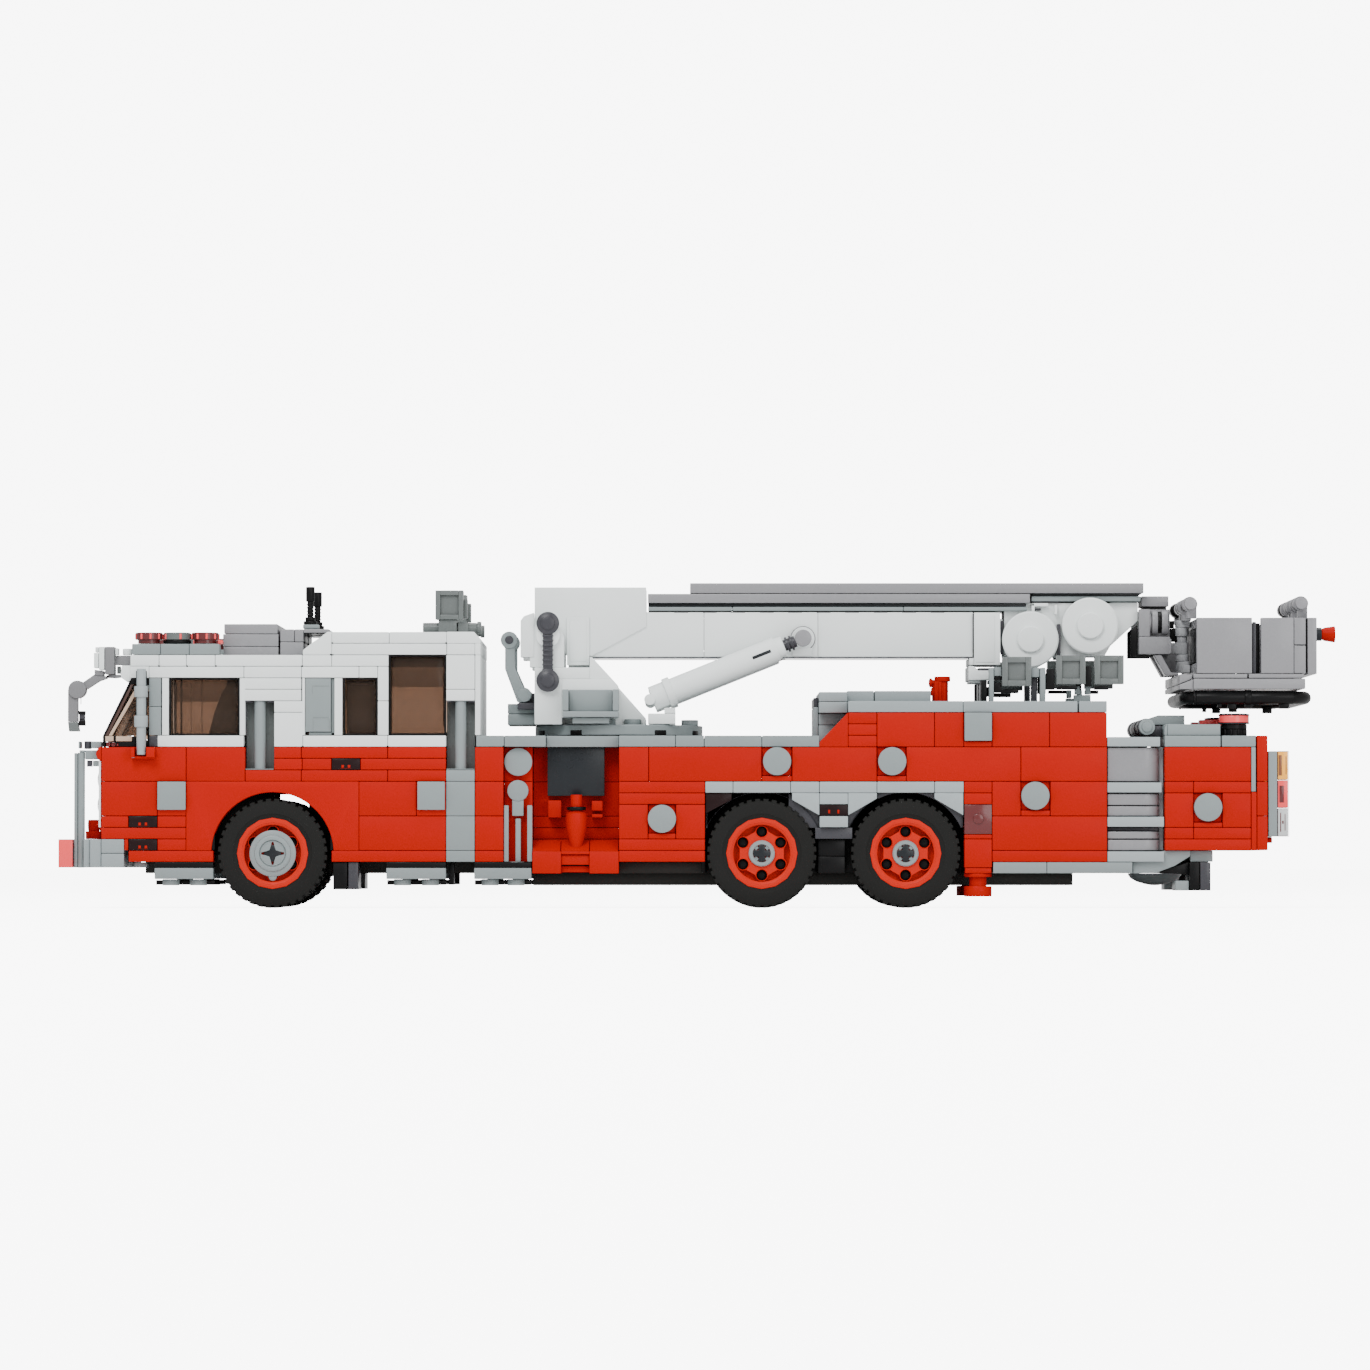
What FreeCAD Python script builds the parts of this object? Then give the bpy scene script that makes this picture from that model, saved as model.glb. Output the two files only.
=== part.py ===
import FreeCAD, Part
import math
import os

from FreeCAD import Rotation, Vector

# Brick-built model of an aerial tower-ladder fire engine.
# The front looks along -X, the rear along +X, +Z is up and the ground is z = 0.
# Places are given on the model's own building grid:
#   n  studs along X, counted from the front edge of the rear wheel arch
#   m  studs across, counted from the middle plane
#   k  plates above the body's underside

# Driving dimensions, in millimetres
stud_pitch = 8.0
plate_height = 3.2
underside_height = 12.8
stud_radius = 2.4
stud_height = 1.7
wall = 1.0            # thickness of a brick wall, in studs
half_width = 4.0      # of the whole body, in studs
running_gap = 0.3
shaft_gap = 0.05

tyre_radius = 15.2
tyre_width = 14.0
rim_radius = 10.0
rim_web_radius = 8.0
rim_web = 3.0
rim_recess = 1.8
rim_hub_radius = 3.6
rim_hole_radius = 1.45
rim_hole_ring = 5.9
rim_holes = 6
axle_radius = 2.4
wheel_face = 31.4     # outer face of a tyre, from the middle plane
arch_gap = 1.8
tyre_gap = 1.0        # between a rear tyre and the guard over it
jack_gap = 1.04       # between the last tyre and the corner jacks
arch_radius = tyre_radius + arch_gap

front_axle = -15.0    # the three axles, in studs
rear_axles = (2.0, 7.0)

bar_radius = 1.55     # every handrail and clip bar
lamp_radius = 3.85
pane = 1.2

slew_centre = -3.0
turntable_radius = 23.6
slew_pin_radius = 6.0

boom_pivot = (-5.5, 19.7)
boom_pin_radius = 2.4
boom_half = 12.0      # half width of the lower boom
boom_skin = 2.6
boom_bottom = 18.0
boom_top = 22.0
head_end = -2.0
sleeve_end = 9.5
slide_gap = 0.35
cheek_inner = 12.4    # turret side, from the middle plane
cheek_outer = 20.4
link_thick = 2.0

cylinder_foot = (-1.9, 14.2)
cylinder_eye = (3.47, 19.6)
cylinder_line = (cheek_inner + cheek_outer) / 2
barrel_radius = 3.3
barrel_collar = 3.8
barrel_eye_half = 2.2
foot_clear = 4.4      # from the foot pin to the tube, past the ears
rod_show = 5.8        # rod between the tube's end and its eye, boom down
rod_radius = 1.6
foot_pin_radius = 1.6
eye_half = 1.5
ear_gap = 0.3

level_pivot = (15.8, 21.0)
level_pin_radius = 1.6
level_boss_radius = 2.8
tip_half = 8.0
swivel_axis = 16.9
swivel_pin_radius = 1.2
basket_half = 32.0
basket_wall = 4.0
basket_floor = 15.0
basket_rim = 21.25
hose_radius = 2.05

# The box of the whole model stands on the origin.
front_end = -22.45
rear_end = 22.28
middle = (front_end + rear_end) / 2


def across(n):
    return (n - middle) * stud_pitch


def up(k):
    return underside_height + k * plate_height


def point(n, y, k):
    return Vector(across(n), y, up(k))


def box(n0, n1, y0, y1, k0, k1):
    """A box between two stud lines, two distances across and two plate lines."""
    size = (across(n1) - across(n0), y1 - y0, up(k1) - up(k0))
    return Part.makeBox(size[0], size[1], size[2], point(n0, y0, k0))


def grid_box(n0, n1, m0, m1, k0, k1):
    return box(n0, n1, m0 * stud_pitch, m1 * stud_pitch, k0, k1)


def mirrored(shape):
    return shape.mirror(Vector(0, 0, 0), Vector(0, 1, 0))


def pair(shape):
    """The same piece on the near (-Y) side and on the far side."""
    return [shape, mirrored(shape)]


def side_box(n0, n1, m0, m1, k0, k1):
    return pair(grid_box(n0, n1, -m1, -m0, k0, k1))


def fused(shapes):
    whole = shapes[0]
    if len(shapes) > 1:
        whole = shapes[0].multiFuse(shapes[1:]).removeSplitter()
    return whole


def rod_along_y(centre, radius, y0, y1):
    return Part.makeCylinder(radius, y1 - y0, point(centre[0], y0, centre[1]), Vector(0, 1, 0))


def rod_along_z(n, y, radius, k0, k1):
    return Part.makeCylinder(radius, up(k1) - up(k0), point(n, y, k0), Vector(0, 0, 1))


def rod_along_x(n0, n1, y, k, radius):
    return Part.makeCylinder(radius, across(n1) - across(n0), point(n0, y, k), Vector(1, 0, 0))


def side_plate(outline, y0, y1):
    """A flat outline of (n, k) corners, as thick as from y0 to y1."""
    corners = [point(n, y0, k) for n, k in outline]
    face = Part.Face(Part.makePolygon(corners + corners[:1]))
    return face.extrude(Vector(0, y1 - y0, 0))


def bent_rod(corners, radius):
    """A round bar through (n, y, k) corners, with a ball at each bend."""
    places = [point(*corner) for corner in corners]
    pieces = [Part.makeSphere(radius, place) for place in places[1:-1]]
    for start, end in zip(places, places[1:]):
        run = end - start
        pieces.append(Part.makeCylinder(radius, run.Length, start, run))
    return fused(pieces)


def studs(rows, direction):
    """Round studs on a face: rows of (n, m, k), standing up (1) or hanging (-1)."""
    axis = Vector(0, 0, direction)
    return [Part.makeCylinder(stud_radius, stud_height, point(n, m * stud_pitch, k), axis)
            for n, m, k in rows]


# Wheels: each axle, its two red rims and its two tyres turn together.

def wheel_band(n, radius, y0, y1):
    """A disc of one wheel pair, at the same distance on both sides."""
    centre = across(n)
    return pair(Part.makeCylinder(radius, y1 - y0, Vector(centre, -y1, tyre_radius), Vector(0, 1, 0)))


def make_tyres(n):
    inner = wheel_face - tyre_width
    outer = wheel_band(n, tyre_radius, inner, wheel_face)
    hole = wheel_band(n, rim_radius, inner, wheel_face)
    return [tyre.cut(hollow) for tyre, hollow in zip(outer, hole)]


def make_rims(n):
    inner = wheel_face - tyre_width
    web_face = wheel_face - rim_recess
    barrels = wheel_band(n, rim_radius, inner, wheel_face)
    hollows = wheel_band(n, rim_web_radius, inner, wheel_face)
    webs = wheel_band(n, rim_web_radius, web_face - rim_web, web_face)
    hubs = wheel_band(n, rim_hub_radius, inner, web_face)
    bores = wheel_band(n, axle_radius, inner, wheel_face)
    rims = []
    for barrel, hollow, web, hub, bore in zip(barrels, hollows, webs, hubs, bores):
        rim = fused([barrel.cut(hollow), web, hub]).cut(bore)
        for index in range(rim_holes):
            angle = math.radians(90 + index * 360 / rim_holes)
            middle_x = across(n) + rim_hole_ring * math.cos(angle)
            middle_z = tyre_radius + rim_hole_ring * math.sin(angle)
            start = Vector(middle_x, rim.BoundBox.YMin, middle_z)
            rim = rim.cut(Part.makeCylinder(rim_hole_radius, tyre_width, start, Vector(0, 1, 0)))
        rims.append(rim)
    return rims


def make_axle(n):
    reach = wheel_face - rim_recess
    return Part.makeCylinder(axle_radius, 2 * reach, Vector(across(n), -reach, tyre_radius), Vector(0, 1, 0))


def axle_bore(n, extra):
    radius = axle_radius + extra
    return Part.makeCylinder(radius, 200, Vector(across(n), -100, tyre_radius), Vector(0, 1, 0))


def arch_cut(n, y0, y1):
    return pair(Part.makeCylinder(arch_radius, y1 - y0, Vector(across(n), -y1, tyre_radius), Vector(0, 1, 0)))


# Chassis: one spine with the axle bearings and the floors between the wheel wells.

spine_half = 1.5
spine_rows = [  # n0, n1, half width in m, k0, k1
    (-19.6, 17.7, spine_half, -1.0, 2.6),
    (-6.0, 12.8, 2.0, -2.0, -1.0),
    (-20.0, -17.2, 3.0, 0.0, 1.0),
    (-12.8, -0.2, 3.0, 0.0, 1.0),
    (9.2, 17.7, 3.0, 0.0, 1.0),
]


def make_chassis():
    frame = fused([grid_box(n0, n1, -m, m, k0, k1) for n0, n1, m, k0, k1 in spine_rows])
    for n in (front_axle,) + rear_axles:
        frame = frame.cut(axle_bore(n, shaft_gap))
    return frame


# Cab: hollow, with a red lower half, a white upper half and a white roof.

cab_front = -20.95
cab_rear = -7.97
door_line = 10.0      # where red bricks end and white ones begin
roof_line = 17.0
raised_line = 18.0
cab_inside = (-20.0, -8.97)
handle_rows = [  # n0, n1 of the two grab handle recesses
    (-15.95, -14.95),
    (-8.97, cab_rear),
]
handle_low = 8.0
handle_high = 14.0
window_rows = [  # n0, n1, k0, k1
    (-18.6, -16.15, 11.0, 16.0),
    (-12.55, -11.35, 11.0, 16.0),
    (-10.97, -8.97, 11.0, 18.0),
]
locker = (-13.9, -12.8, 11.0, 16.0)
brow_front = -21.15   # rounded tiles along the front wall's top
brow_low = 9.0
back_panel = -7.77    # thin white panel behind the cab


def side_cut(shape, n0, n1, k0, k1):
    reach = (half_width + 1) * stud_pitch
    return shape.cut(box(n0, n1, -reach, reach, k0, k1))


def hollow_body(n0, n1, k0, k1, inside, floor):
    """Four brick walls between two plate lines, with an open middle."""
    body = grid_box(n0, n1, -half_width, half_width, k0, k1)
    inner = half_width - wall
    return body.cut(grid_box(inside[0], inside[1], -inner, inner, floor, k1))


def make_cab_lower():
    inner = half_width - wall
    body = hollow_body(cab_front, cab_rear, 1.0, door_line, cab_inside, 1.0)
    body = body.cut(grid_box(cab_front, bumper_end, -half_width, half_width, 1.0, bumper_band[1]))
    sills = side_box(cab_inside[0], -17.05, inner, half_width, 0.0, 1.0)
    sills += side_box(-12.95, -8.97, inner, half_width, 0.0, 1.0)
    body = fused([body] + sills)
    for hollow in arch_cut(front_axle, inner * stud_pitch, (half_width + 1) * stud_pitch):
        body = body.cut(hollow)
    for n0, n1 in handle_rows:
        body = body.cut(fused_pair(n0, n1, inner, half_width + 1, handle_low, door_line))
    body = body.cut(fused_pair(-8.97, cab_rear, inner, half_width + 1, 0.0, handle_low))
    body = body.cut(grid_box(-19.6, -7.0, -spine_half, spine_half, -1.0, 2.6))
    floor = grid_box(-17.1, -12.9, -inner, inner, 6.2, 7.0)
    brow = grid_box(brow_front, cab_front, -half_width, half_width, brow_low, door_line)
    return fused([body, floor, brow])


def fused_pair(n0, n1, m0, m1, k0, k1):
    return Part.makeCompound(side_box(n0, n1, m0, m1, k0, k1))


def make_cab_upper():
    inner = half_width - wall
    walls = side_box(-19.3, -12.95, inner, half_width, door_line, roof_line)
    walls += side_box(-12.95, cab_rear, inner, half_width, door_line, raised_line)
    walls.append(grid_box(cab_inside[1], cab_rear, -inner, inner, door_line, raised_line))
    walls.append(grid_box(cab_rear, back_panel, -half_width, half_width, deck_top, raised_line))
    body = fused(walls)
    for n0, n1, k0, k1 in window_rows + [locker]:
        body = side_cut(body, n0, n1, k0, k1) if k1 < raised_line else body.cut(
            fused_pair(n0, n1, inner, half_width + 1, k0, k1))
    for n0, n1 in handle_rows:
        body = body.cut(fused_pair(n0, n1, inner, half_width + 1, door_line, handle_high))
    return body


roof_front = -19.95
raised_front = -12.95
raised_top = 20.0


def make_cab_roof():
    reach = half_width * stud_pitch
    low = box(roof_front, raised_front, -reach, reach, roof_line, raised_line)
    outline = [(-13.95, raised_line), (-13.95, 18.4), (-13.1, raised_top), (-8.0, raised_top),
               (back_panel, 19.3), (back_panel, raised_line)]
    return fused([low, side_plate(outline, -reach, reach)])


screen_foot = -20.95
screen_sill = 10.9
screen_top = (-19.8, 16.0)
screen_rear = -19.3


def make_windscreen():
    """A sloping pane over the cab's full width, with its two side cheeks."""
    reach = half_width * stud_pitch
    outline = [(screen_foot, door_line), (screen_foot, screen_sill), screen_top,
               (screen_top[0], roof_line), (screen_rear, roof_line), (screen_rear, door_line)]
    skin = pane / stud_pitch
    inner = [(screen_foot + skin, door_line), (screen_foot + skin, screen_sill),
             (screen_top[0] + skin, screen_top[1]), (screen_top[0] + skin, roof_line),
             (screen_rear, roof_line), (screen_rear, door_line)]
    shell = side_plate(outline, -reach, reach)
    return shell.cut(side_plate(inner, -reach + pane, reach - pane))


def make_side_windows():
    depth = 0.3 * stud_pitch
    face = half_width * stud_pitch - depth
    panes = []
    for n0, n1, k0, k1 in window_rows:
        panes += pair(box(n0, n1, -face, -face + pane, k0, k1))
    return panes


def make_cab_seats():
    """Dashboard and two rows of seats, seen through the glass."""
    rows = [  # n0, n1, m, k0, k1 of each piece, m as half width
        (-20.0, -19.0, 3.0, 7.0, 9.5),
        (-17.0, -15.6, 2.6, 7.0, 9.0),
        (-15.6, -15.0, 2.6, 7.0, 13.0),
        (-12.0, -10.2, 2.6, 7.0, 9.0),
        (-10.2, -9.6, 2.6, 7.0, 13.0),
    ]
    seats = [grid_box(n0, n1, -m, m, k0, k1) for n0, n1, m, k0, k1 in rows]
    floor = grid_box(-20.0, -17.1, -3.0, 3.0, 6.2, 7.0)
    rear_floor = grid_box(-12.9, -8.97, -3.0, 3.0, 6.2, 7.0)
    front = fused([seats[0], floor])
    driver = fused(seats[1:3])
    crew = fused(seats[3:] + [rear_floor])
    return [front, driver, crew]


def make_grab_handles():
    inner = (half_width - wall) * stud_pitch
    outer = half_width * stud_pitch
    plate_back = 0.45 * stud_pitch
    lip = 0.35
    grip = outer - bar_radius - 0.6
    handles = []
    for n0, n1 in handle_rows:
        back = box(n0, n1, -inner - plate_back, -inner, handle_low, handle_high)
        foot = box(n0, n1, -outer, -inner, handle_low, handle_low + lip)
        head = box(n0, n1, -outer, -inner, handle_high - lip, handle_high)
        bar = rod_along_z((n0 + n1) / 2, -grip, bar_radius, handle_low, handle_high)
        pieces = [back, foot, head, bar]
        if n1 == cab_rear:
            pieces.append(box(n0, n1, -outer, -inner, 0.0, handle_low))
        handles += pair(fused(pieces))
    return handles


# Front: bumper, post, grille, couplings and the mirror arm.

bumper_front = -21.58
bumper_end = -20.15
bumper_band = (-0.5, 2.0)
post = (-21.93, -21.58)
post_line = 3.5       # front post and mirror, in m from the middle


def make_bumper():
    reach = half_width * stud_pitch
    bar = box(bumper_front, cab_front, -reach, reach, *bumper_band)
    block = box(cab_front, bumper_end, -reach, reach, *bumper_band)
    tongue = grid_box(bumper_end, -20.0, -spine_half, spine_half, -0.5, 1.0)
    return fused([bar, block, tongue])


def make_front_post():
    """The one upright bar ahead of the bumper, clipped to the cab on the left."""
    line = -post_line * stud_pitch
    upright = box(post[0], post[1], line - 1.45, line + 1.45, -0.5, 9.5)
    clip = box(post[1] - 0.01, cab_front, line - 1.45, line + 1.45, 8.3, 8.9)
    return fused([upright, clip])


def make_handrails():
    rails = []
    n = -19.55
    line = -(half_width * stud_pitch + bar_radius + 0.85)
    bar = rod_along_z(n, line, bar_radius - 0.1, 9.3, 16.8)
    rings = [rod_along_z(n, line, bar_radius + 0.7, k0, k1) for k0, k1 in ((14.3, 15.3), (11.8, 12.7))]
    foot = box(-19.9, -19.1, line - bar_radius, -half_width * stud_pitch, 9.0, 9.95)
    return pair(fused([bar, foot] + rings))


def make_grille():
    """White louvre plates and the badge-free panel on the front wall."""
    slats = 5
    pitch = 1.2
    pieces = []
    for index in range(slats):
        k0 = 3.0 + index * pitch
        pieces.append(grid_box(-21.06, cab_front, -1.5, 1.5, k0, k0 + 0.85))
    frame = side_box(-21.06, cab_front, 1.5, 1.9, 3.0, 9.0)
    return [fused(pieces + frame + [grid_box(-21.0, cab_front, -1.9, 1.9, 3.0, 9.0)])]


coupling_rows = [  # n, m, k of each front hose coupling's foot
    (-21.32, -2.55, 2.0),
    (-21.32, 2.55, 2.0),
]


def make_couplings():
    """Hose couplings on the bumper and the red valve on the deck."""
    pieces = []
    for n, m, k in coupling_rows:
        y = m * stud_pitch
        cap = rod_along_z(n, y, 2.3, k, k + 0.7)
        pieces.append(fused([cap, rod_along_z(n, y, 1.5, k + 0.7, k + 1.7)]))
    stem = rod_along_z(8.3, -8.0, 2.3, 14.0, 15.85)
    cap = rod_along_z(8.4, -8.0, 2.2, 15.85, 16.3)
    knob = rod_along_x(7.9, 8.1, -8.0, 15.5, 0.9)
    pieces.append(fused([stem, cap, knob]))
    return pieces


def make_mirror_arm():
    """The one mirror, on an arm that hangs ahead of the cab's left corner."""
    line = -post_line * stud_pitch
    head = box(-21.25, -20.4, line - 3.6, line + 3.6, 16.2, roof_line)
    top = box(-21.25, -19.97, line - 3.6, line + 3.6, roof_line, 18.6)
    elbow = bent_rod([(-20.95, line, 16.4), (-21.85, line, 15.2), (-21.97, line, 11.4)], 1.4)
    ball = Part.makeSphere(2.6, point(-21.87, line, 15.2))
    glass = box(-21.75, -21.55, line - 3.4, line + 3.4, 11.9, 13.2)
    web = box(-21.97, -21.7, line - 0.8, line + 0.8, 12.2, 12.9)
    return fused([head, top, elbow, ball, glass, web])


# Roof: light bars, the equipment unit, aerials and the searchlight.

light_bar = (-19.9, -16.85)
lamp_places = (-19.33, -18.35, -17.38)


def make_light_bars():
    return side_box(light_bar[0], light_bar[1], 3.0, half_width, raised_line, raised_line + 1.0)


def roof_lamp(n):
    line = -(half_width - wall / 2) * stud_pitch
    return pair(rod_along_z(n, line, lamp_radius - 0.1, raised_line + 1.0, raised_line + 1.95))


def make_roof_unit():
    tall = grid_box(-16.78, -14.8, -3.0, 3.0, raised_line, 20.85)
    low = grid_box(-14.8, -13.98, -3.0, 3.0, raised_line, 20.4)
    shelf = grid_box(-13.98, -13.15, -3.0, 3.0, raised_top, 20.4)
    bases = side_box(-14.02, -13.4, 2.2, 2.8, 20.4, 20.75)
    return fused([tall, low, shelf] + bases)


def make_aerials():
    line = -2.5 * stud_pitch
    n = -13.8
    rows = [(1.6, 20.75, 21.5), (0.8, 21.5, 22.8), (1.2, 22.8, 24.1)]  # radius, k0, k1
    return pair(fused([rod_along_z(n, line, radius, k0, k1) for radius, k0, k1 in rows]))


def make_searchlight():
    """A square lamp on a cross bar behind the cab's raised roof."""
    bar = rod_along_x(-9.85, -7.95, -2.0 * stud_pitch, 20.5, 1.5)
    clip = box(-9.3, -8.5, -2.5 * stud_pitch, -1.5 * stud_pitch, raised_top, 21.2)
    head = box(-9.4, -8.42, -2.5 * stud_pitch, -1.5 * stud_pitch, 21.2, 23.75)
    back = box(-8.42, -8.25, -2.3 * stud_pitch, -1.7 * stud_pitch, 21.3, 23.0)
    return pair(fused([bar, clip, head, back]))


# Trim on the sides.

tile_rows = [  # n0, n1, k0, k1 of the square tiles
    (-19.0, -18.0, 4.5, 7.0),
    (-9.97, -9.0, 4.5, 7.0),
    (9.03, 10.0, 10.5, 13.0),
]
round_rows = [  # n, k of the round tiles
    (-1.47, 3.75),
    (2.53, 8.75),
    (6.53, 8.75),
    (11.5, 5.75),
    (17.5, 4.75),
]
tile_depth = 1.2
marker_rows = [  # n0, n1, k0, k1 of the dark marker lamps
    (-20.0, -19.0, 1.1, 2.0),
    (-20.0, -19.0, 3.0, 4.0),
    (-12.95, -12.05, 8.0, 9.0),
]


def make_side_tiles():
    face = -half_width * stud_pitch
    pieces = []
    for n0, n1, k0, k1 in tile_rows:
        pieces += pair(box(n0, n1, face - tile_depth, face, k0, k1))
    for place in round_rows:
        pieces += pair(rod_along_y(place, lamp_radius, face - tile_depth, face))
    recess = 3.5 * stud_pitch
    pieces += pair(rod_along_y((-6.47, 8.7), lamp_radius - 0.1, -recess - tile_depth, -recess))
    return pieces


def make_lockers():
    n0, n1, k0, k1 = locker
    inner = (half_width - wall) * stud_pitch
    outer = half_width * stud_pitch
    frame = box(n0, n1, -outer, -inner, k0, k1)
    hollow = box(n0 + 0.14, n1 - 0.14, -outer - 1, -outer + 3.0, k0 + 0.5, k1 - 0.3)
    return pair(frame.cut(hollow))


def make_markers():
    face = -half_width * stud_pitch
    pieces = []
    for n0, n1, k0, k1 in marker_rows:
        pieces += pair(box(n0, n1, face - 0.5, face, k0, k1))
    return pieces


# Amidships: the red walls with the lever recess and the open outrigger bay.

bay = (-5.97, -2.97)
mid_rear = 0.0
deck_line = 10.0
deck_top = 11.0
recess_line = 3.5
bay_line = 2.5


def make_mid_walls():
    rows = [  # n0, n1, m0, m1, k0, k1
        (cab_rear, -6.97, 3.0, half_width, 0.0, deck_line),
        (-6.97, bay[0], 3.0, recess_line, 0.0, deck_line),
        (bay[0], bay[1], bay_line - 0.5, bay_line, 1.0, deck_line),
        (bay[0] - 0.5, bay[0], bay_line - 0.5, 3.0, 1.0, deck_line),
        (bay[1], bay[1] + 0.5, bay_line - 0.5, 3.0, 1.0, deck_line),
        (bay[1], mid_rear, 3.0, half_width, 0.0, deck_line),
        (bay[0], bay[1], bay_line, half_width, 1.0, 1.5),
    ]
    walls = []
    for side in (0, 1):
        pieces = [side_box(*row)[side] for row in rows]
        walls.append(fused(pieces))
    return walls


def make_levers():
    """Light-grey guide rails and the lever in the narrow recess."""
    face = -recess_line * stud_pitch
    lever = fused([
        rod_along_y((-6.47, 6.2), 2.9, face - 2.4, face),
        box(-6.68, -6.28, face - 2.4, face, 4.0, 5.8),
        box(-6.57, -6.37, face - 2.4, face, 0.0, 4.2),
    ])
    rails = [box(n0, n1, face - 3.4, face, 0.0, 4.95) for n0, n1 in ((-6.97, -6.8), (-6.15, bay[0]))]
    return pair(lever) + pair(rails[0]) + pair(rails[1])


def make_bay_panels():
    """The dark control panel at the top of the outrigger bay."""
    face = -bay_line * stud_pitch
    back = box(-5.47, -3.47, face - 2.6, face, 5.85, deck_line)
    lip = box(-5.47, -3.47, face - 3.6, face, 5.85, 6.2)
    return pair(fused([back, lip]))


outrigger_line = 3.5  # centre of each jack, in m
outrigger_n = -4.47


def make_outriggers():
    """Upright jacks in the bay, held by two clips and a sloping foot."""
    line = -outrigger_line * stud_pitch
    face = -bay_line * stud_pitch
    leg = rod_along_z(outrigger_n, line, 2.9, 1.5, 4.4)
    neck = rod_along_z(outrigger_n, line, 1.6, 4.4, 5.4)
    arm = box(-5.4, -3.53, line - 1.2, face, 4.6, 5.3)
    return pair(fused([leg, neck, arm]))


# Over the rear axles: the red row, the light-grey guards and the deck.

rack_start = 14.0
rack_end = 16.0
box_end = 19.0


def make_wheel_guards():
    """The light band over the rear wheels with its corner wedges."""
    inner = 3.0 * stud_pitch
    outer = half_width * stud_pitch
    shapes = [
        [(0.03, 6.0), (9.0, 6.0), (9.0, 7.0), (0.03, 7.0)],
        [(3.05, 6.0), (4.0, 6.0), (4.0, 4.05), (3.05, 5.4)],
        [(5.0, 4.05), (5.0, 6.0), (6.0, 6.0), (6.0, 5.5)],
        [(8.0, 6.0), (9.0, 6.0), (9.0, 4.05), (8.0, 5.5)],
        [(0.03, 6.0), (1.0, 6.0), (0.03, 4.0)],
        [(4.0, 3.0), (5.0, 3.0), (5.0, 6.0), (4.0, 6.0)],
    ]
    guard = fused([side_plate(outline, -outer, -inner) for outline in shapes])
    for n in rear_axles:
        guard = guard.cut(Part.makeCylinder(
            tyre_radius + tyre_gap, outer, Vector(across(n), -outer, tyre_radius), Vector(0, 1, 0)))
    roof = grid_box(0.03, 9.0, -3.0, 3.0, 6.3, 7.0)
    return [fused(pair(guard) + [roof])]


def make_body_deck():
    """Tiled deck amidships, with the bore that carries the turntable."""
    slab = grid_box(cab_rear, 4.0, -half_width, half_width, deck_line, deck_top)
    inner = grid_box(cab_rear, 4.0, -2.0, 2.0, deck_line - 1.0, deck_line)
    slab = fused([slab, inner])
    return slab.cut(rod_along_z(slew_centre, 0, slew_pin_radius + shaft_gap, 8.0, deck_top + 1))


upper = (4.0, 14.0)
upper_top = 13.0
deck_lid = 14.0


def make_rear_walls():
    rows = [  # n0, n1, m0, m1, k0, k1
        (mid_rear, 10.0, 3.0, half_width, 7.0, deck_line),
        (9.0, 10.0, 3.0, half_width, 5.0, 7.0),
        (10.0, rack_start, 3.0, half_width, 0.0, deck_line),
        (9.2, rack_start, 2.6, 3.0, 1.0, 7.0),
    ]
    return [fused([side_box(*row)[side] for row in rows]) for side in (0, 1)]


def make_upper_body():
    """Red sides with a sloping front, and the rear wall of the upper body."""
    reach = half_width * stud_pitch
    inner = 3.0 * stud_pitch
    outline = [(upper[0], 10.4), (5.0, upper_top), (upper[1], upper_top),
               (upper[1], deck_line), (upper[0], deck_line)]
    solid = side_plate(outline, -reach, reach)
    return solid.cut(box(upper[0] - 1, upper[1] - wall, -inner, inner, deck_line - 1, upper_top + 1))


def make_upper_deck():
    """The grey lid of the upper body, its front block and its middle hatch."""
    lid = grid_box(5.0, upper[1], -half_width, half_width, upper_top, deck_lid)
    hatch = grid_box(5.0, 7.95, -2.0, 2.0, deck_lid, 15.0)
    front = grid_box(upper[0], 5.0, -3.0, 3.0, deck_line, 14.8)
    foot = grid_box(3.85, upper[0], -2.0, 2.0, deck_top, 14.4)
    return fused([lid, hatch, front, foot])


deck_lamps = [  # n0, n1, k0, k1 of each square lamp head
    (10.37, 11.37, 14.3, 16.8),
    (12.23, 13.23, 14.3, 16.8),
    (13.57, 14.57, 14.3, 16.8),
]
lamp_line = 3.0       # centre of the lamp heads, in m
lamp_posts = [(9.93, 10.12), (11.7, 11.9)]
post_top = 16.7


def make_deck_lamps():
    """Square work lamps on clip posts along both edges of the deck."""
    line = -lamp_line * stud_pitch
    pieces = []
    for n0, n1, k0, k1 in deck_lamps:
        pieces.append(box(n0, n1, line - 3.0, line + 1.0, k0, k1))
        pieces.append(box(n0 + 0.3, n1 - 0.3, line - 2.0, line + 1.0, deck_lid, k0))
    for n0, n1 in lamp_posts:
        pieces.append(box(n0, n1, line - 1.5, line + 1.5, deck_lid, post_top))
        pieces.append(box(n1, n1 + 0.36, line - 1.0, line + 1.0, 16.1, post_top))
    return [shape for piece in [fused(pieces)] for shape in pair(piece)]


def make_boom_rest():
    """Cradle under the stowed boom."""
    legs = side_box(9.45, 9.65, 0.4, 1.4, deck_lid, 15.7)
    saddle = grid_box(9.2, 9.9, -1.6, 1.6, 15.7, 16.7)
    return fused(legs + [saddle])


# Behind the rear axles: the corner jacks, the equipment rack and the rear box.

jack_start = rear_axles[1] + (tyre_radius + jack_gap) / stud_pitch
jack_end = 10.0
jack_centre = (jack_start + jack_end) / 2
jack_radius = (jack_end - jack_start) / 2 * stud_pitch
jack_neck = 2.4


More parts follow.
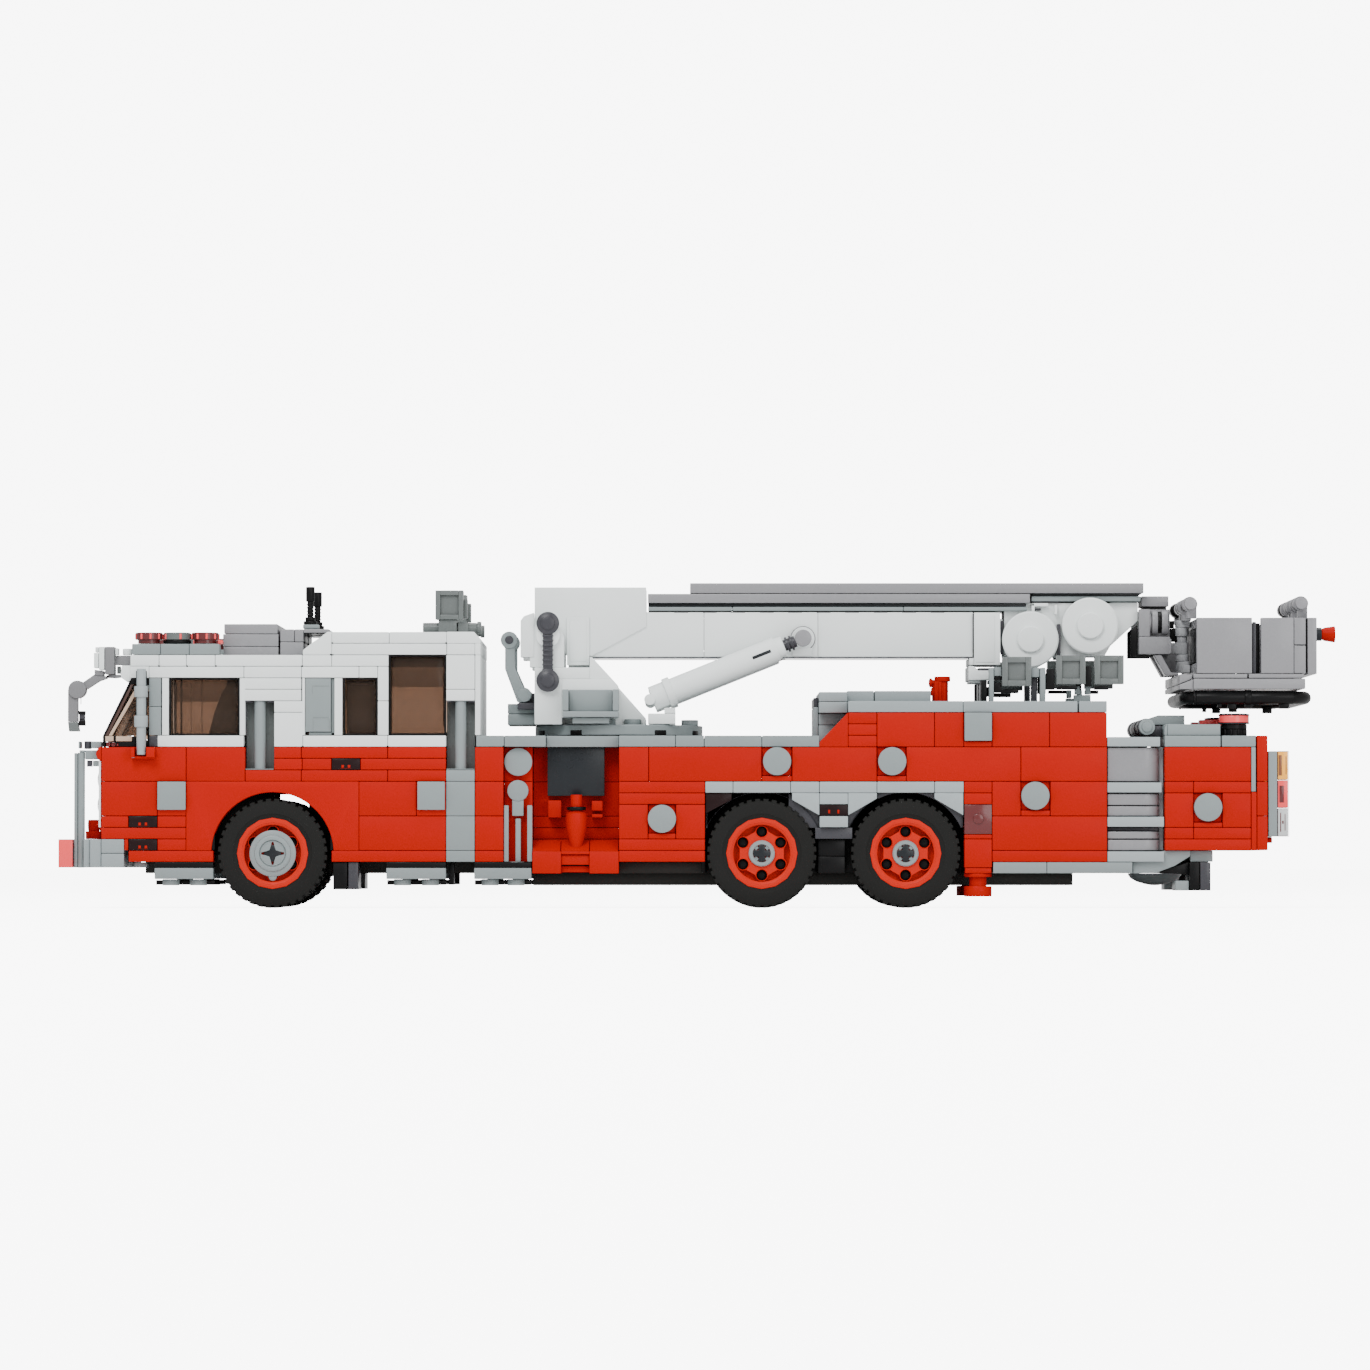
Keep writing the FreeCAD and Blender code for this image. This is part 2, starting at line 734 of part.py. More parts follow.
def make_rear_jacks():
    line = -3.5 * stud_pitch
    half = 0.5 * stud_pitch
    column = box(jack_start, jack_end, line - half, line + half, -1.0, 2.4)
    lamp_box = box(jack_start, jack_end, line - half + 1.0, line + half, 2.4, 5.0)
    flange = rod_along_z(jack_centre, line, jack_radius, -1.3, -1.0)
    neck = rod_along_z(jack_centre, line, jack_neck, -2.1, -1.3)
    foot = rod_along_z(jack_centre, line, jack_radius, -3.0, -2.1)
    return pair(fused([column, lamp_box, flange, neck, foot]))


def make_jack_lamps():
    face = -(half_width * stud_pitch - 1.0)
    return pair(box(jack_start, jack_end, face - tile_depth, face, 2.5, 4.95))


rack_rows = [  # n0, n1, m1, k0, k1 of each band of the rack
    (rack_start, rack_end, 3.55, 1.0, deck_line),
    (rack_start, rack_end, half_width, 0.0, 1.0),
    (rack_start, rack_end, half_width, 3.0, 4.0),
    (rack_start, 15.9, half_width, 6.0, 7.0),
    (rack_start, rack_end, half_width, deck_line, 10.9),
]


def make_rack():
    bands = [grid_box(n0, n1, -m1, m1, k0, k1) for n0, n1, m1, k0, k1 in rack_rows]
    whole = fused(bands)
    hollow = grid_box(rack_start - 1, rack_end + 1, -2.8, 2.8, 0.9, deck_line)
    spine = grid_box(rack_start - 1, rack_end + 1, -spine_half, spine_half, -1.0, 2.6)
    floor = grid_box(rack_start - 1, rack_end + 1, -3.0, 3.0, -0.1, 1.0)
    return whole.cut(hollow).cut(spine).cut(floor)


def make_rear_box():
    inner = 3.0
    body = grid_box(rack_end, box_end, -half_width, half_width, 1.0, deck_line)
    body = body.cut(grid_box(rack_end + wall, box_end - wall, -inner, inner, 0.0, deck_line + 1))
    return body.cut(grid_box(rack_end - 1, box_end + 1, -spine_half, spine_half, 0.0, 2.6))


def make_rear_deck():
    """Grey tiles and the step on top of the rear box, with their clip bars."""
    tiles = grid_box(rack_end, 19.17, -half_width, half_width, deck_line, deck_top)
    step = grid_box(rack_end, 17.95, -3.9, 3.9, deck_top, 12.0)
    block = side_plate([(15.4, 12.0), (15.4, 12.3), (15.9, 12.85), (16.83, 12.85), (16.83, 12.0)], -16, 16)
    bar = rod_along_y((15.6, 11.6), bar_radius, -24, 24)
    lugs = side_box(15.5, rack_end, 1.0, 1.6, 11.2, 11.9)
    return fused([tiles, step, block, bar] + lugs)


def make_rear_wall():
    strip = grid_box(box_end, 19.17, -half_width, half_width, 6.1, deck_line)
    plate_back = grid_box(19.17, 19.6, -half_width, half_width, 1.0, deck_top)
    filler = grid_box(box_end, 19.17, -half_width, half_width, 1.0, 6.1)
    backing = side_box(19.6, 19.9, 2.9, half_width, 2.25, 9.6)
    stud = side_box(19.6, 19.75, 1.6, 2.2, 1.7, 2.2)
    return fused([strip, plate_back, filler] + backing + stud)


tail_line = 3.45


def tail_lamp(k0, k1):
    half = 0.45 * stud_pitch
    line = -tail_line * stud_pitch
    return pair(box(19.9, 20.3, line - half, line + half, k0, k1))


def make_beacons():
    line = -3.3 * stud_pitch
    return pair(rod_along_z(18.47, line, lamp_radius, 12.0, 12.95))


def make_beacon_bases():
    line = -3.3 * stud_pitch
    return pair(rod_along_z(18.47, line, 3.3, deck_top, 12.0))


# Under the body: steps, flaps, skirts and the tank.

step_rows = [  # n0, n1 of each step box
    (-19.1, -17.1),
    (-11.05, -8.97),
    (-8.0, -6.0),
]
step_inner = 3.02


def make_steps():
    steps = []
    for n0, n1 in step_rows:
        tread = grid_box(n0, n1, -half_width, -step_inner, -1.5, 0.0)
        middle_n = (n0 + n1) / 2
        feet = studs([(middle_n - 0.5, -3.5, -1.5), (middle_n + 0.5, -3.5, -1.5)], -1)
        steps += pair(fused([tread] + feet))
    return steps


flap_rows = [  # n0, n1, k0 of each flap, hanging from k = 0
    (-12.9, -12.4, -2.4),
    (-12.35, -12.05, -2.4),
    (16.35, 16.8, -2.4),
    (16.88, 17.1, -2.5),
    (17.22, 17.6, -2.5),
]


def make_flaps():
    flaps = []
    for n0, n1, k0 in flap_rows:
        flaps += pair(grid_box(n0, n1, -3.9, -1.6, k0, 0.0))
    return flaps


def make_keel_strips():
    """Plates along the bottom edge, ahead of the rack."""
    return side_box(10.0, 14.9, spine_half, half_width, -1.0, 0.0)


def make_tank():
    """Shallow dish and its wedge under the rack."""
    wedge = side_plate([(14.9, 0.0), (14.9, -1.0), (15.75, -0.8), (16.3, 0.0)], -30, -13)
    dish = side_plate([(14.7, -1.3), (15.0, -1.95), (16.1, -1.95), (16.3, -1.3), (16.3, -1.0),
                       (14.7, -1.0)], -26, -13)
    return pair(fused([wedge, dish]))


# Turret: turns on the deck and carries the boom's hinge and the lift cylinders.

turret_floor = 12.0


def make_turntable():
    """Round plate with its slew pin, four middle studs and the front platform."""
    lift = running_gap / plate_height
    disc = rod_along_z(slew_centre, 0, turntable_radius, deck_top + lift, turret_floor)
    pin = rod_along_z(slew_centre, 0, slew_pin_radius, deck_line - 0.8, deck_top + lift)
    knobs = studs([(slew_centre + a, b, turret_floor) for a in (-0.5, 0.5) for b in (-0.5, 0.5)], 1)
    return fused([disc, pin] + knobs)


def make_platform():
    """Light-grey step ahead of the turret, with its bent arms."""
    step = box(-6.9, -5.95, -12.0, 12.0, turret_floor, 13.9)
    foot = box(-5.95, -5.0, -12.0, 12.0, turret_floor, 12.9)
    brackets = side_box(-6.45, -5.95, 0.6, 1.2, 13.9, 14.85)
    body = fused([step, foot] + brackets)
    outline = [(-6.55, 14.0), (-6.25, 14.0), (-6.25, 14.9), (-6.62, 17.0), (-6.62, 19.4), (-6.98, 19.4),
               (-6.98, 16.9)]
    arm = side_plate(outline, -15.0, -12.0)
    head = rod_along_y((-6.75, 19.4), 2.4, -15.0, -12.0)
    root = box(-6.55, -5.95, -15.0, -11.0, 13.3, 14.0)
    return fused([body] + pair(fused([arm, head, root])))


def foot_ears(y0, y1):
    n, k = cylinder_foot
    ear = box(n - 0.42, n + 0.42, y0, y1, turret_floor, k)
    return fused([ear, rod_along_y((n, k), 0.42 * stud_pitch, y0, y1)])


def make_turret_sides():
    """White cheeks with the boom's bearings, and the cylinders' foot pins."""
    inner = -cheek_inner
    outer = -cheek_outer
    low = side_plate([(-5.93, turret_floor), (-5.93, 17.0), (-3.55, 17.0), (-3.0, 15.3), (-2.6, 13.9),
                      (-2.6, turret_floor)], outer, inner)
    ear = box(boom_pivot[0] - 0.6, boom_pivot[0] + 0.6, outer, inner, 16.9, boom_pivot[1])
    crown = rod_along_y(boom_pivot, 0.6 * stud_pitch, outer, inner)
    counter = box(-6.4, -5.93, outer, inner, 17.8, 21.2)
    base = box(-2.6, -1.2, outer, inner, turret_floor, 12.6)
    side = fused([low, ear, crown, counter, base])
    side = side.cut(rod_along_y(boom_pivot, boom_pin_radius, outer - 1, inner + 1))
    reach = barrel_eye_half + ear_gap
    ears = [foot_ears(outer, -cylinder_line - reach), foot_ears(-cylinder_line + reach, inner)]
    pin = rod_along_y(cylinder_foot, foot_pin_radius, outer, inner)
    return pair(fused([side] + ears + [pin]))


def make_pivot_links():
    """Dark links outside the cheeks and the hinge pin that runs through the boom."""
    n = -5.46
    outer = -cheek_outer - link_thick
    links = []
    for side in pair(fused([
            rod_along_y((n, 15.8), 3.2, outer, -cheek_outer),
            rod_along_y((n, 20.85), 3.2, outer, -cheek_outer),
            box(n - 0.19, n + 0.19, outer, -cheek_outer, 15.8, 20.85)])):
        links.append(side)
    pin = rod_along_y(boom_pivot, boom_pin_radius, outer, -outer)
    return fused(links + [pin])


def make_operator_seats():
    """Light-grey control seats beside the cheeks."""
    inner = -cheek_outer
    outer = -cheek_outer - 7.2
    seat = box(-4.95, -2.97, outer, inner, 12.6, 15.05)
    recess = box(-4.75, -3.15, outer - 1, outer + 4.0, 13.15, 15.2)
    foot = box(-4.6, -3.3, outer + 1.2, inner, turret_floor, 12.6)
    return pair(fused([seat.cut(recess), foot]))


# Boom: the hinged lower boom with its fixed rail.

sleeve_inner = boom_half - boom_skin
sleeve_low = 18.65
sleeve_high = 21.5
rail_half = 12.0
rail_joint = 23.4


def make_boom_head():
    outline = [(-5.93, 20.9), (-5.93, 23.9), (head_end, 23.9), (head_end, boom_bottom), (-3.9, boom_bottom),
               (-4.6, boom_bottom), (-5.1, 18.3)]
    head = side_plate(outline, -boom_half, boom_half)
    boss = rod_along_y(boom_pivot, 0.6 * stud_pitch, -boom_half, boom_half)
    boxes = side_box(-4.95, -4.05, boom_half / stud_pitch - 0.01, boom_half / stud_pitch + 0.04, 18.2, 21.3)
    head = fused([head, boss] + boxes)
    return head.cut(rod_along_y(boom_pivot, boom_pin_radius + shaft_gap, -40, 40))


def make_lower_boom():
    """White sleeve with its collar and the bosses for the cylinders' eyes."""
    sleeve = box(head_end, sleeve_end, -boom_half, boom_half, boom_bottom, boom_top)
    collar = box(9.35, 10.3, -boom_half - 1.0, boom_half + 1.0, 17.3, 21.7)
    boss_reach = cylinder_line - eye_half - ear_gap
    bosses = pair(rod_along_y(cylinder_eye, 3.4, -boss_reach, -boom_half))
    brackets = pair(box(3.15, 3.75, -boss_reach, -boom_half, boom_bottom, 18.7))
    body = fused([sleeve, collar] + bosses + brackets)
    channel = box(head_end + 0.3, 11.0, -sleeve_inner, sleeve_inner, sleeve_low, sleeve_high)
    return body.cut(channel)


def make_fixed_rail():
    """Grey rail and its light strip on top of the lower boom."""
    strip = box(head_end, 9.35, -rail_half, rail_half, boom_top, 22.35)
    core = box(head_end, 11.4, -rail_half + 3.0, rail_half - 3.0, 22.35, 22.6)
    rail = box(head_end, 11.5, -rail_half, rail_half, 22.6, rail_joint)
    whole = fused([strip, core, rail])
    return whole.cut(box(head_end + 0.5, 12.0, -rail_half + 5.0, rail_half - 5.0, 22.6, rail_joint + 1))


# Extension: the inner beam with its reels, top rail and tip.

beam_start = -1.4
beam_end = 14.2
moving_rail = (-0.5, 15.4)


def make_inner_beam():
    half = sleeve_inner - slide_gap
    gap = slide_gap / plate_height
    beam = box(beam_start, beam_end, -half, half, sleeve_low + gap, sleeve_high - gap)
    return beam.cut(box(beam_start - 1, 13.0, -half + 2.5, half - 2.5, sleeve_low + 1.0, sleeve_high - 1.0))


reel_rows = [  # n, k of each reel
    (11.4, 19.6),
    (13.37, 20.6),
]
reel_radius = 7.6


def make_reels():
    half = sleeve_inner - slide_gap
    reels = []
    for place in reel_rows:
        drum = rod_along_y(place, 4.0, -half - 3.0, -half)
        disc = rod_along_y(place, reel_radius, -half - 4.4, -half - 2.4)
        cap = rod_along_y(place, 3.9, -half - 5.6, -half - 4.4)
        reels += pair(fused([drum, disc, cap]))
    return reels


def make_top_rail():
    rail = box(moving_rail[0], moving_rail[1], -rail_half, rail_half, 23.5, 24.5)
    strip = box(11.6, 15.3, -rail_half + 2.0, rail_half - 2.0, 23.05, 23.5)
    slot = box(moving_rail[0] + 0.5, 14.0, -rail_half + 4.0, rail_half - 4.0, 23.0, 25.0)
    return fused([rail, strip]).cut(slot)


def make_boom_tip():
    """White tapered tip with the tongue that carries the basket's level hinge."""
    outline = [(beam_end, 18.55), (15.05, 20.6), (15.05, 23.05), (beam_end, 23.05)]
    taper = side_plate(outline, -tip_half, tip_half)
    tongue = box(15.05, level_pivot[0], -4.0, 4.0, 20.6, 22.0)
    knuckle = rod_along_y(level_pivot, level_boss_radius, -4.0, 4.0)
    tip = fused([taper, tongue, knuckle])
    return tip.cut(rod_along_y(level_pivot, level_pin_radius + shaft_gap, -20, 20))


# Lift cylinders: the barrels hinge on the turret and the rods end beside the boom.

def along_cylinder(radius, start, end, y):
    foot = point(cylinder_foot[0], y, cylinder_foot[1])
    eye = point(cylinder_eye[0], y, cylinder_eye[1])
    line = eye - foot
    line.normalize()
    return Part.makeCylinder(radius, end - start, foot + line * start, line)


def cylinder_reach():
    """The distance from the foot pin to the rod's eye, boom down."""
    return (point(cylinder_eye[0], 0, cylinder_eye[1]) - point(cylinder_foot[0], 0, cylinder_foot[1])).Length


def make_barrels():
    y = -cylinder_line
    tube_end = cylinder_reach() - rod_show
    tube = along_cylinder(barrel_radius, foot_clear, tube_end, y)
    collar = along_cylinder(barrel_collar, foot_clear, 9.5, y)
    neck = along_cylinder(barrel_eye_half, 0.0, foot_clear + 1.0, y)
    eye = rod_along_y(cylinder_foot, 3.2, y - barrel_eye_half, y + barrel_eye_half)
    barrel = fused([tube, collar, neck, eye])
    barrel = barrel.cut(rod_along_y(cylinder_foot, foot_pin_radius + shaft_gap, y - 9, y + 9))
    return pair(barrel.cut(along_cylinder(rod_radius + shaft_gap, 5.0, tube_end + 1, y)))


def make_rods():
    y = -cylinder_line
    rod = along_cylinder(rod_radius, 5.4, cylinder_reach(), y)
    eye = rod_along_y(cylinder_eye, 2.3, y - eye_half, y + eye_half)
    return pair(fused([rod, eye]))


# Basket: a bracket that keeps it level and an upright hinge that lets it turn.

beam_start_n = 16.3    # the bracket's cross beam, along the model
beam_end_n = 16.44
knuckle_radius = 1.9
rail_rows = [          # n, k of the two clip rails on the basket's rim
    (16.92, 22.45),
    (20.78, 22.6),
]
rail_radius = 1.7
ring_radius = 2.6
ring_lines = (26.0, 20.0)


def make_basket_bracket():
    """Grey cheeks on the level hinge and the knuckles of the upright hinge."""
    inner = tip_half + running_gap
    outer = inner + 3.6
    outline = [(15.5, 18.3), (15.26, 19.2), (15.26, 22.2), (beam_start_n, 22.2), (beam_start_n, 18.3)]
    cheeks = [fused([side_plate(outline, -outer, -inner), rod_along_y(level_pivot, 3.5, -outer, -inner)])]
    cheeks.append(mirrored(cheeks[0]))
    beam = box(beam_start_n, beam_end_n, -outer, outer, 18.0, 21.2)
    cap = box(15.4, 16.35, -tip_half, tip_half, 22.43, 23.34)
    cap_foot = box(beam_start_n, beam_end_n, -tip_half, tip_half, 21.2, 22.43)
    pin = rod_along_y(level_pivot, level_pin_radius, -outer, outer)
    knuckles = []
    for k0, k1 in ((16.4, 17.6), (18.9, 20.0)):
        knuckles.append(rod_along_z(swivel_axis, 0, knuckle_radius, k0, k1))
        knuckles.append(box(beam_start_n, swivel_axis, -knuckle_radius, knuckle_radius, k0, k1))
    spine = box(beam_start_n, beam_end_n, -3.0, 3.0, 16.4, 18.1)
    shaft = rod_along_z(swivel_axis, 0, swivel_pin_radius, 16.4, 21.2)
    return fused(cheeks + [beam, cap, cap_foot, pin, spine, shaft] + knuckles)


def make_basket():
    """Open cage: floor, slotted sides and two end walls, with its hinge knuckles."""
    outer = basket_half
    inner = basket_half - basket_wall
    floor = box(17.0, 20.95, -outer, outer, basket_floor, 16.35)
    sides = [box(17.15, 19.05, -outer, -inner, 16.35, basket_rim),
             box(19.33, 20.97, -outer, -inner, 16.35, basket_rim),
             box(19.05, 19.33, -outer + 1.2, -inner, 16.35, basket_rim - 1.0)]
    ends = [box(17.2, 17.5, -outer + 1.0, outer - 1.0, 16.35, basket_rim),
            box(20.97, 21.3, -outer, outer, 16.3, basket_rim),
            box(20.85, 20.97, -outer, outer, basket_floor, 16.35)]
    cage = fused([floor] + [part for side in sides for part in pair(side)] + ends)
    knuckles = []
    for k0, k1 in ((17.7, 18.8), (20.1, 21.1)):
        knuckles.append(rod_along_z(swivel_axis, 0, knuckle_radius, k0, k1))
        knuckles.append(box(swivel_axis, 17.25, -knuckle_radius, knuckle_radius, k0, k1))
    bore = rod_along_z(swivel_axis, 0, swivel_pin_radius + shaft_gap, 10.0, 21.6)
    rails = []
    for n, k in rail_rows:
        rails.append(rod_along_y((n, k), rail_radius, -outer + 1.0, outer - 1.0))
        for line in ring_lines:
            rails += pair(rod_along_y((n, k), ring_radius, -line - 1.2, -line + 1.2))
            rails += pair(box(n - 0.1, n + 0.4, -line - 1.2, -line + 1.2, basket_rim - 0.2, k))
    return fused([cage] + knuckles + rails).cut(bore)


def make_basket_hose():
    """Black bumper hose that loops round below the basket's floor."""
    k = basket_floor - hose_radius / plate_height
    n0, n1 = 17.0, 20.8
    y = basket_half - hose_radius
    corners = [(n0, -y, k), (n1, -y, k), (n1, y, k), (n0, y, k)]
    places = [point(*corner) for corner in corners]
    pieces = [Part.makeSphere(hose_radius, place) for place in places]
    for start, end in zip(places, places[1:] + places[:1]):
        run = end - start
        pieces.append(Part.makeCylinder(hose_radius, run.Length, start, run))
    return fused(pieces)


nozzle_foot = (21.82, 20.1)


def make_nozzle():
    n, k = nozzle_foot
    mount = rod_along_x(21.3, n, 0, k, 1.8)
    cone = Part.makeCone(1.6, 2.3, across(rear_end) - across(n), point(n, 0, k), Vector(1, 0, 0))
    return fused([mount, cone])


# Lamps in coloured clear plastic.

def make_red_lamps():
    """Outer lamps of the light bars, rear beacons, tail and bumper lamps."""
    lamps = roof_lamp(lamp_places[0]) + roof_lamp(lamp_places[2])
    lamps += make_beacons()
    lamps += tail_lamp(4.8, 7.15)
    lamps += make_jack_lamps()
    lamps += side_box(front_end, post[0], 3.1, 3.9, -0.5, 2.0)
    return lamps


def make_clear_lamps():
    """Middle roof lamps, headlamps and the lowest tail lamps."""
    headlamps = []
    for k in (5.0, 7.2):
        centre = point(-21.2, -2.45 * stud_pitch, k)
        headlamps += pair(Part.makeCylinder(3.0, across(cab_front) - centre.x, centre, Vector(1, 0, 0)))
    return roof_lamp(lamp_places[1]) + headlamps + tail_lamp(2.25, 4.75)


def make_amber_lamps():
    return tail_lamp(7.2, 9.6)


# Every node of the model, by name, with the functions that make its pieces.

nodes = {
    "chassis_frame": [make_chassis],
    "cab_lower_walls": [make_cab_lower],
    "cab_upper_walls": [make_cab_upper],
    "cab_roof": [make_cab_roof],
    "windscreen": [make_windscreen],
    "cab_side_windows": [make_side_windows],
    "cab_seats": [make_cab_seats],
    "cab_side_fittings": [make_grab_handles, make_lockers],
    "front_bumper": [make_bumper],
    "front_rails": [make_front_post, make_handrails],
    "grille": [make_grille],
    "hose_couplings": [make_couplings],
    "mirror_arm": [make_mirror_arm],
    "roof_equipment": [make_roof_unit, make_light_bars],
    "aerials_and_searchlights": [make_aerials, make_searchlight],
    "side_tiles": [make_side_tiles, make_levers],
    "marker_lamps": [make_markers],
    "body_side_walls": [make_mid_walls, make_rear_walls],
    "bay_panels": [make_bay_panels],
    "outriggers": [make_outriggers],
    "wheel_guards": [make_wheel_guards],
    "body_deck": [make_body_deck],
    "upper_body": [make_upper_body],
    "upper_deck": [make_upper_deck, make_boom_rest],
    "deck_lamps": [make_deck_lamps],
    "rear_jacks": [make_rear_jacks],
    "equipment_rack": [make_rack],
    "rear_box": [make_rear_box, make_rear_wall],
    "rear_deck": [make_rear_deck, make_beacon_bases],
    "underbody_fittings": [make_steps, make_keel_strips, make_tank],
    "mudflaps": [make_flaps],
    "red_lamps": [make_red_lamps],
    "clear_lamps": [make_clear_lamps],
    "amber_lamps": [make_amber_lamps],
    "turntable": [make_turntable],
    "turret_fittings": [make_platform, make_operator_seats],
    "turret_sides": [make_turret_sides],
    "pivot_links": [make_pivot_links],
    "lower_boom": [make_boom_head, make_lower_boom],
    "fixed_rail": [make_fixed_rail],
    "inner_beam": [make_inner_beam, make_boom_tip],
    "hose_reels": [make_reels],
    "top_rail": [make_top_rail],
    "lift_barrels": [make_barrels],
    "lift_rods": [make_rods],
    "basket_bracket": [make_basket_bracket],
    "basket": [make_basket, make_nozzle],
    "basket_hose": [make_basket_hose],
}
axles = {"front": front_axle, "rear_first": rear_axles[0], "rear_second": rear_axles[1]}


def listed(made):
    return made if isinstance(made, list) else [made]


def export(name, pieces):
    """One STEP file for a node: pieces that touch are fused into one solid."""
    solids = fused(pieces).Solids
    shape = solids[0] if len(solids) == 1 else Part.makeCompound(solids)
    shape.exportStep("parts/" + name + ".step")


os.makedirs("parts", exist_ok=True)
for name, makers in nodes.items():
    export(name, [piece for make in makers for piece in listed(make())])
for name, n in axles.items():
    export(name + "_axle", [make_axle(n)])
    export(name + "_rims", make_rims(n))
    export(name + "_tyres", make_tyres(n))
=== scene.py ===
import math
import random

import bmesh
import bpy
from mathutils import Matrix, Vector


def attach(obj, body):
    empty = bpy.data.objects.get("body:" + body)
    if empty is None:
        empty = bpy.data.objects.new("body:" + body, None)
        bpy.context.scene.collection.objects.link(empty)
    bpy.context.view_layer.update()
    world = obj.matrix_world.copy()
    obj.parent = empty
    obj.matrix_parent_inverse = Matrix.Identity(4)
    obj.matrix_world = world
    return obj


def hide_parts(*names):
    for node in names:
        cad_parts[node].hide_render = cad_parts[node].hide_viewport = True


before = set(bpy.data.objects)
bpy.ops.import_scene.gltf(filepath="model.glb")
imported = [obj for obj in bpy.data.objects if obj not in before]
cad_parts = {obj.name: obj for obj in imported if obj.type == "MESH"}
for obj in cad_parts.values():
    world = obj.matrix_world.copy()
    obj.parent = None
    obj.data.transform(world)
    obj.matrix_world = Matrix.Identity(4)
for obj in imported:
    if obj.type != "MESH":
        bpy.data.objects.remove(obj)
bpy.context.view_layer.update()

# The building grid: n studs along X, m studs across, k plates above the body's underside.
studPitch = 0.008
plateHeight = 0.0032
undersideHeight = 0.0128
gridMiddle = -0.085
studRadius = 0.0024
studRise = 0.0017
joint = 0.00006       # half of the gap that shows between two bricks
millimetre = 0.001

# Rounding of moulded edges, from the broadest to that of thin lines.
broadEdge = 0.0003
fullEdge = 0.00025
softEdge = 0.0002
smallEdge = 0.00015
slimEdge = 0.00012
fineEdge = 0.0001
crispEdge = 0.00008
hairEdge = 0.00005
lineEdge = 0.00004
printEdge = 0.00003


def across(n):
    return (n - gridMiddle) * studPitch


def up(k):
    return undersideHeight + k * plateHeight


def spot(n, m, k):
    return Vector((across(n), m * studPitch, up(k)))


# Materials.

def linear(hexCode):
    # sRGB hex to a linear colour
    values = [int(hexCode[i:i + 2], 16) / 255 for i in (1, 3, 5)]
    return [v / 12.92 if v <= 0.04045 else ((v + 0.055) / 1.055) ** 2.4 for v in values] + [1.0]


def addNode(tree, kind, links=None, **settings):
    node = tree.nodes.new(kind)
    for name, value in settings.items():
        if name.startswith("in_"):
            node.inputs[name[3:].replace("_", " ")].default_value = value
        else:
            setattr(node, name, value)
    for socket, source in (links or {}).items():
        tree.links.new(source, node.inputs[socket])
    return node


def newMaterial(name):
    material = bpy.data.materials.new(name)
    material.use_nodes = True
    tree = material.node_tree
    tree.nodes.clear()
    shader = addNode(tree, "ShaderNodeBsdfPrincipled")
    addNode(tree, "ShaderNodeOutputMaterial", {"Surface": shader.outputs[0]})
    return material, tree, shader


def mouldedPlastic(name, hexCode, roughness=0.3, shine=0.25, waviness=0.05):
    material, tree, shader = newMaterial(name)
    coords = addNode(tree, "ShaderNodeTexCoord").outputs["Object"]
    # each brick is a touch lighter or darker than the next
    tone = addNode(tree, "ShaderNodeAttribute", attribute_name="tone").outputs["Fac"]
    cloud = addNode(tree, "ShaderNodeTexNoise", {"Vector": coords}, in_Scale=60.0, in_Detail=2.0)
    both = addNode(tree, "ShaderNodeMath", {0: tone, 1: cloud.outputs["Fac"]}, operation="ADD")
    shade = addNode(tree, "ShaderNodeMapRange", {"Value": both.outputs[0]}, in_From_Min=0.3, in_From_Max=1.7,
                    in_To_Min=0.96, in_To_Max=1.04)
    tint = addNode(tree, "ShaderNodeHueSaturation", {"Value": shade.outputs[0]}, in_Color=linear(hexCode))
    tree.links.new(tint.outputs[0], shader.inputs["Base Color"])
    # faint handling marks break up the gloss
    marks = addNode(tree, "ShaderNodeTexNoise", {"Vector": coords}, in_Scale=350.0, in_Detail=4.0)
    gloss = addNode(tree, "ShaderNodeMapRange", {"Value": marks.outputs["Fac"]}, in_From_Min=0.3,
                    in_From_Max=0.7,
                    in_To_Min=roughness - 0.05, in_To_Max=roughness + 0.06)
    tree.links.new(gloss.outputs[0], shader.inputs["Roughness"])
    # the skin of a moulding is never quite flat
    ripple = addNode(tree, "ShaderNodeTexNoise", {"Vector": coords}, in_Scale=180.0, in_Detail=1.0)
    bump = addNode(tree, "ShaderNodeBump", {"Height": ripple.outputs["Fac"]}, in_Strength=waviness,
                   in_Distance=0.0004)
    tree.links.new(bump.outputs[0], shader.inputs["Normal"])
    shader.inputs["Specular IOR Level"].default_value = shine
    shader.inputs["IOR"].default_value = 1.5
    return material


def clearPlastic(name, hexCode, roughness=0.06, transmission=0.92, ior=1.5):
    material, tree, shader = newMaterial(name)
    coords = addNode(tree, "ShaderNodeTexCoord").outputs["Object"]
    # flow lines of the clear moulding bend the light a little
    ripple = addNode(tree, "ShaderNodeTexNoise", {"Vector": coords}, in_Scale=240.0, in_Detail=2.0)
    bump = addNode(tree, "ShaderNodeBump", {"Height": ripple.outputs["Fac"]}, in_Strength=0.06,
                   in_Distance=0.0005)
    tree.links.new(bump.outputs[0], shader.inputs["Normal"])
    gloss = addNode(tree, "ShaderNodeMapRange", {"Value": ripple.outputs["Fac"]}, in_From_Min=0.3,
                    in_From_Max=0.7, in_To_Min=roughness, in_To_Max=roughness + 0.05)
    tree.links.new(gloss.outputs[0], shader.inputs["Roughness"])
    shader.inputs["Base Color"].default_value = linear(hexCode)
    shader.inputs["Transmission Weight"].default_value = transmission
    shader.inputs["IOR"].default_value = ior
    return material


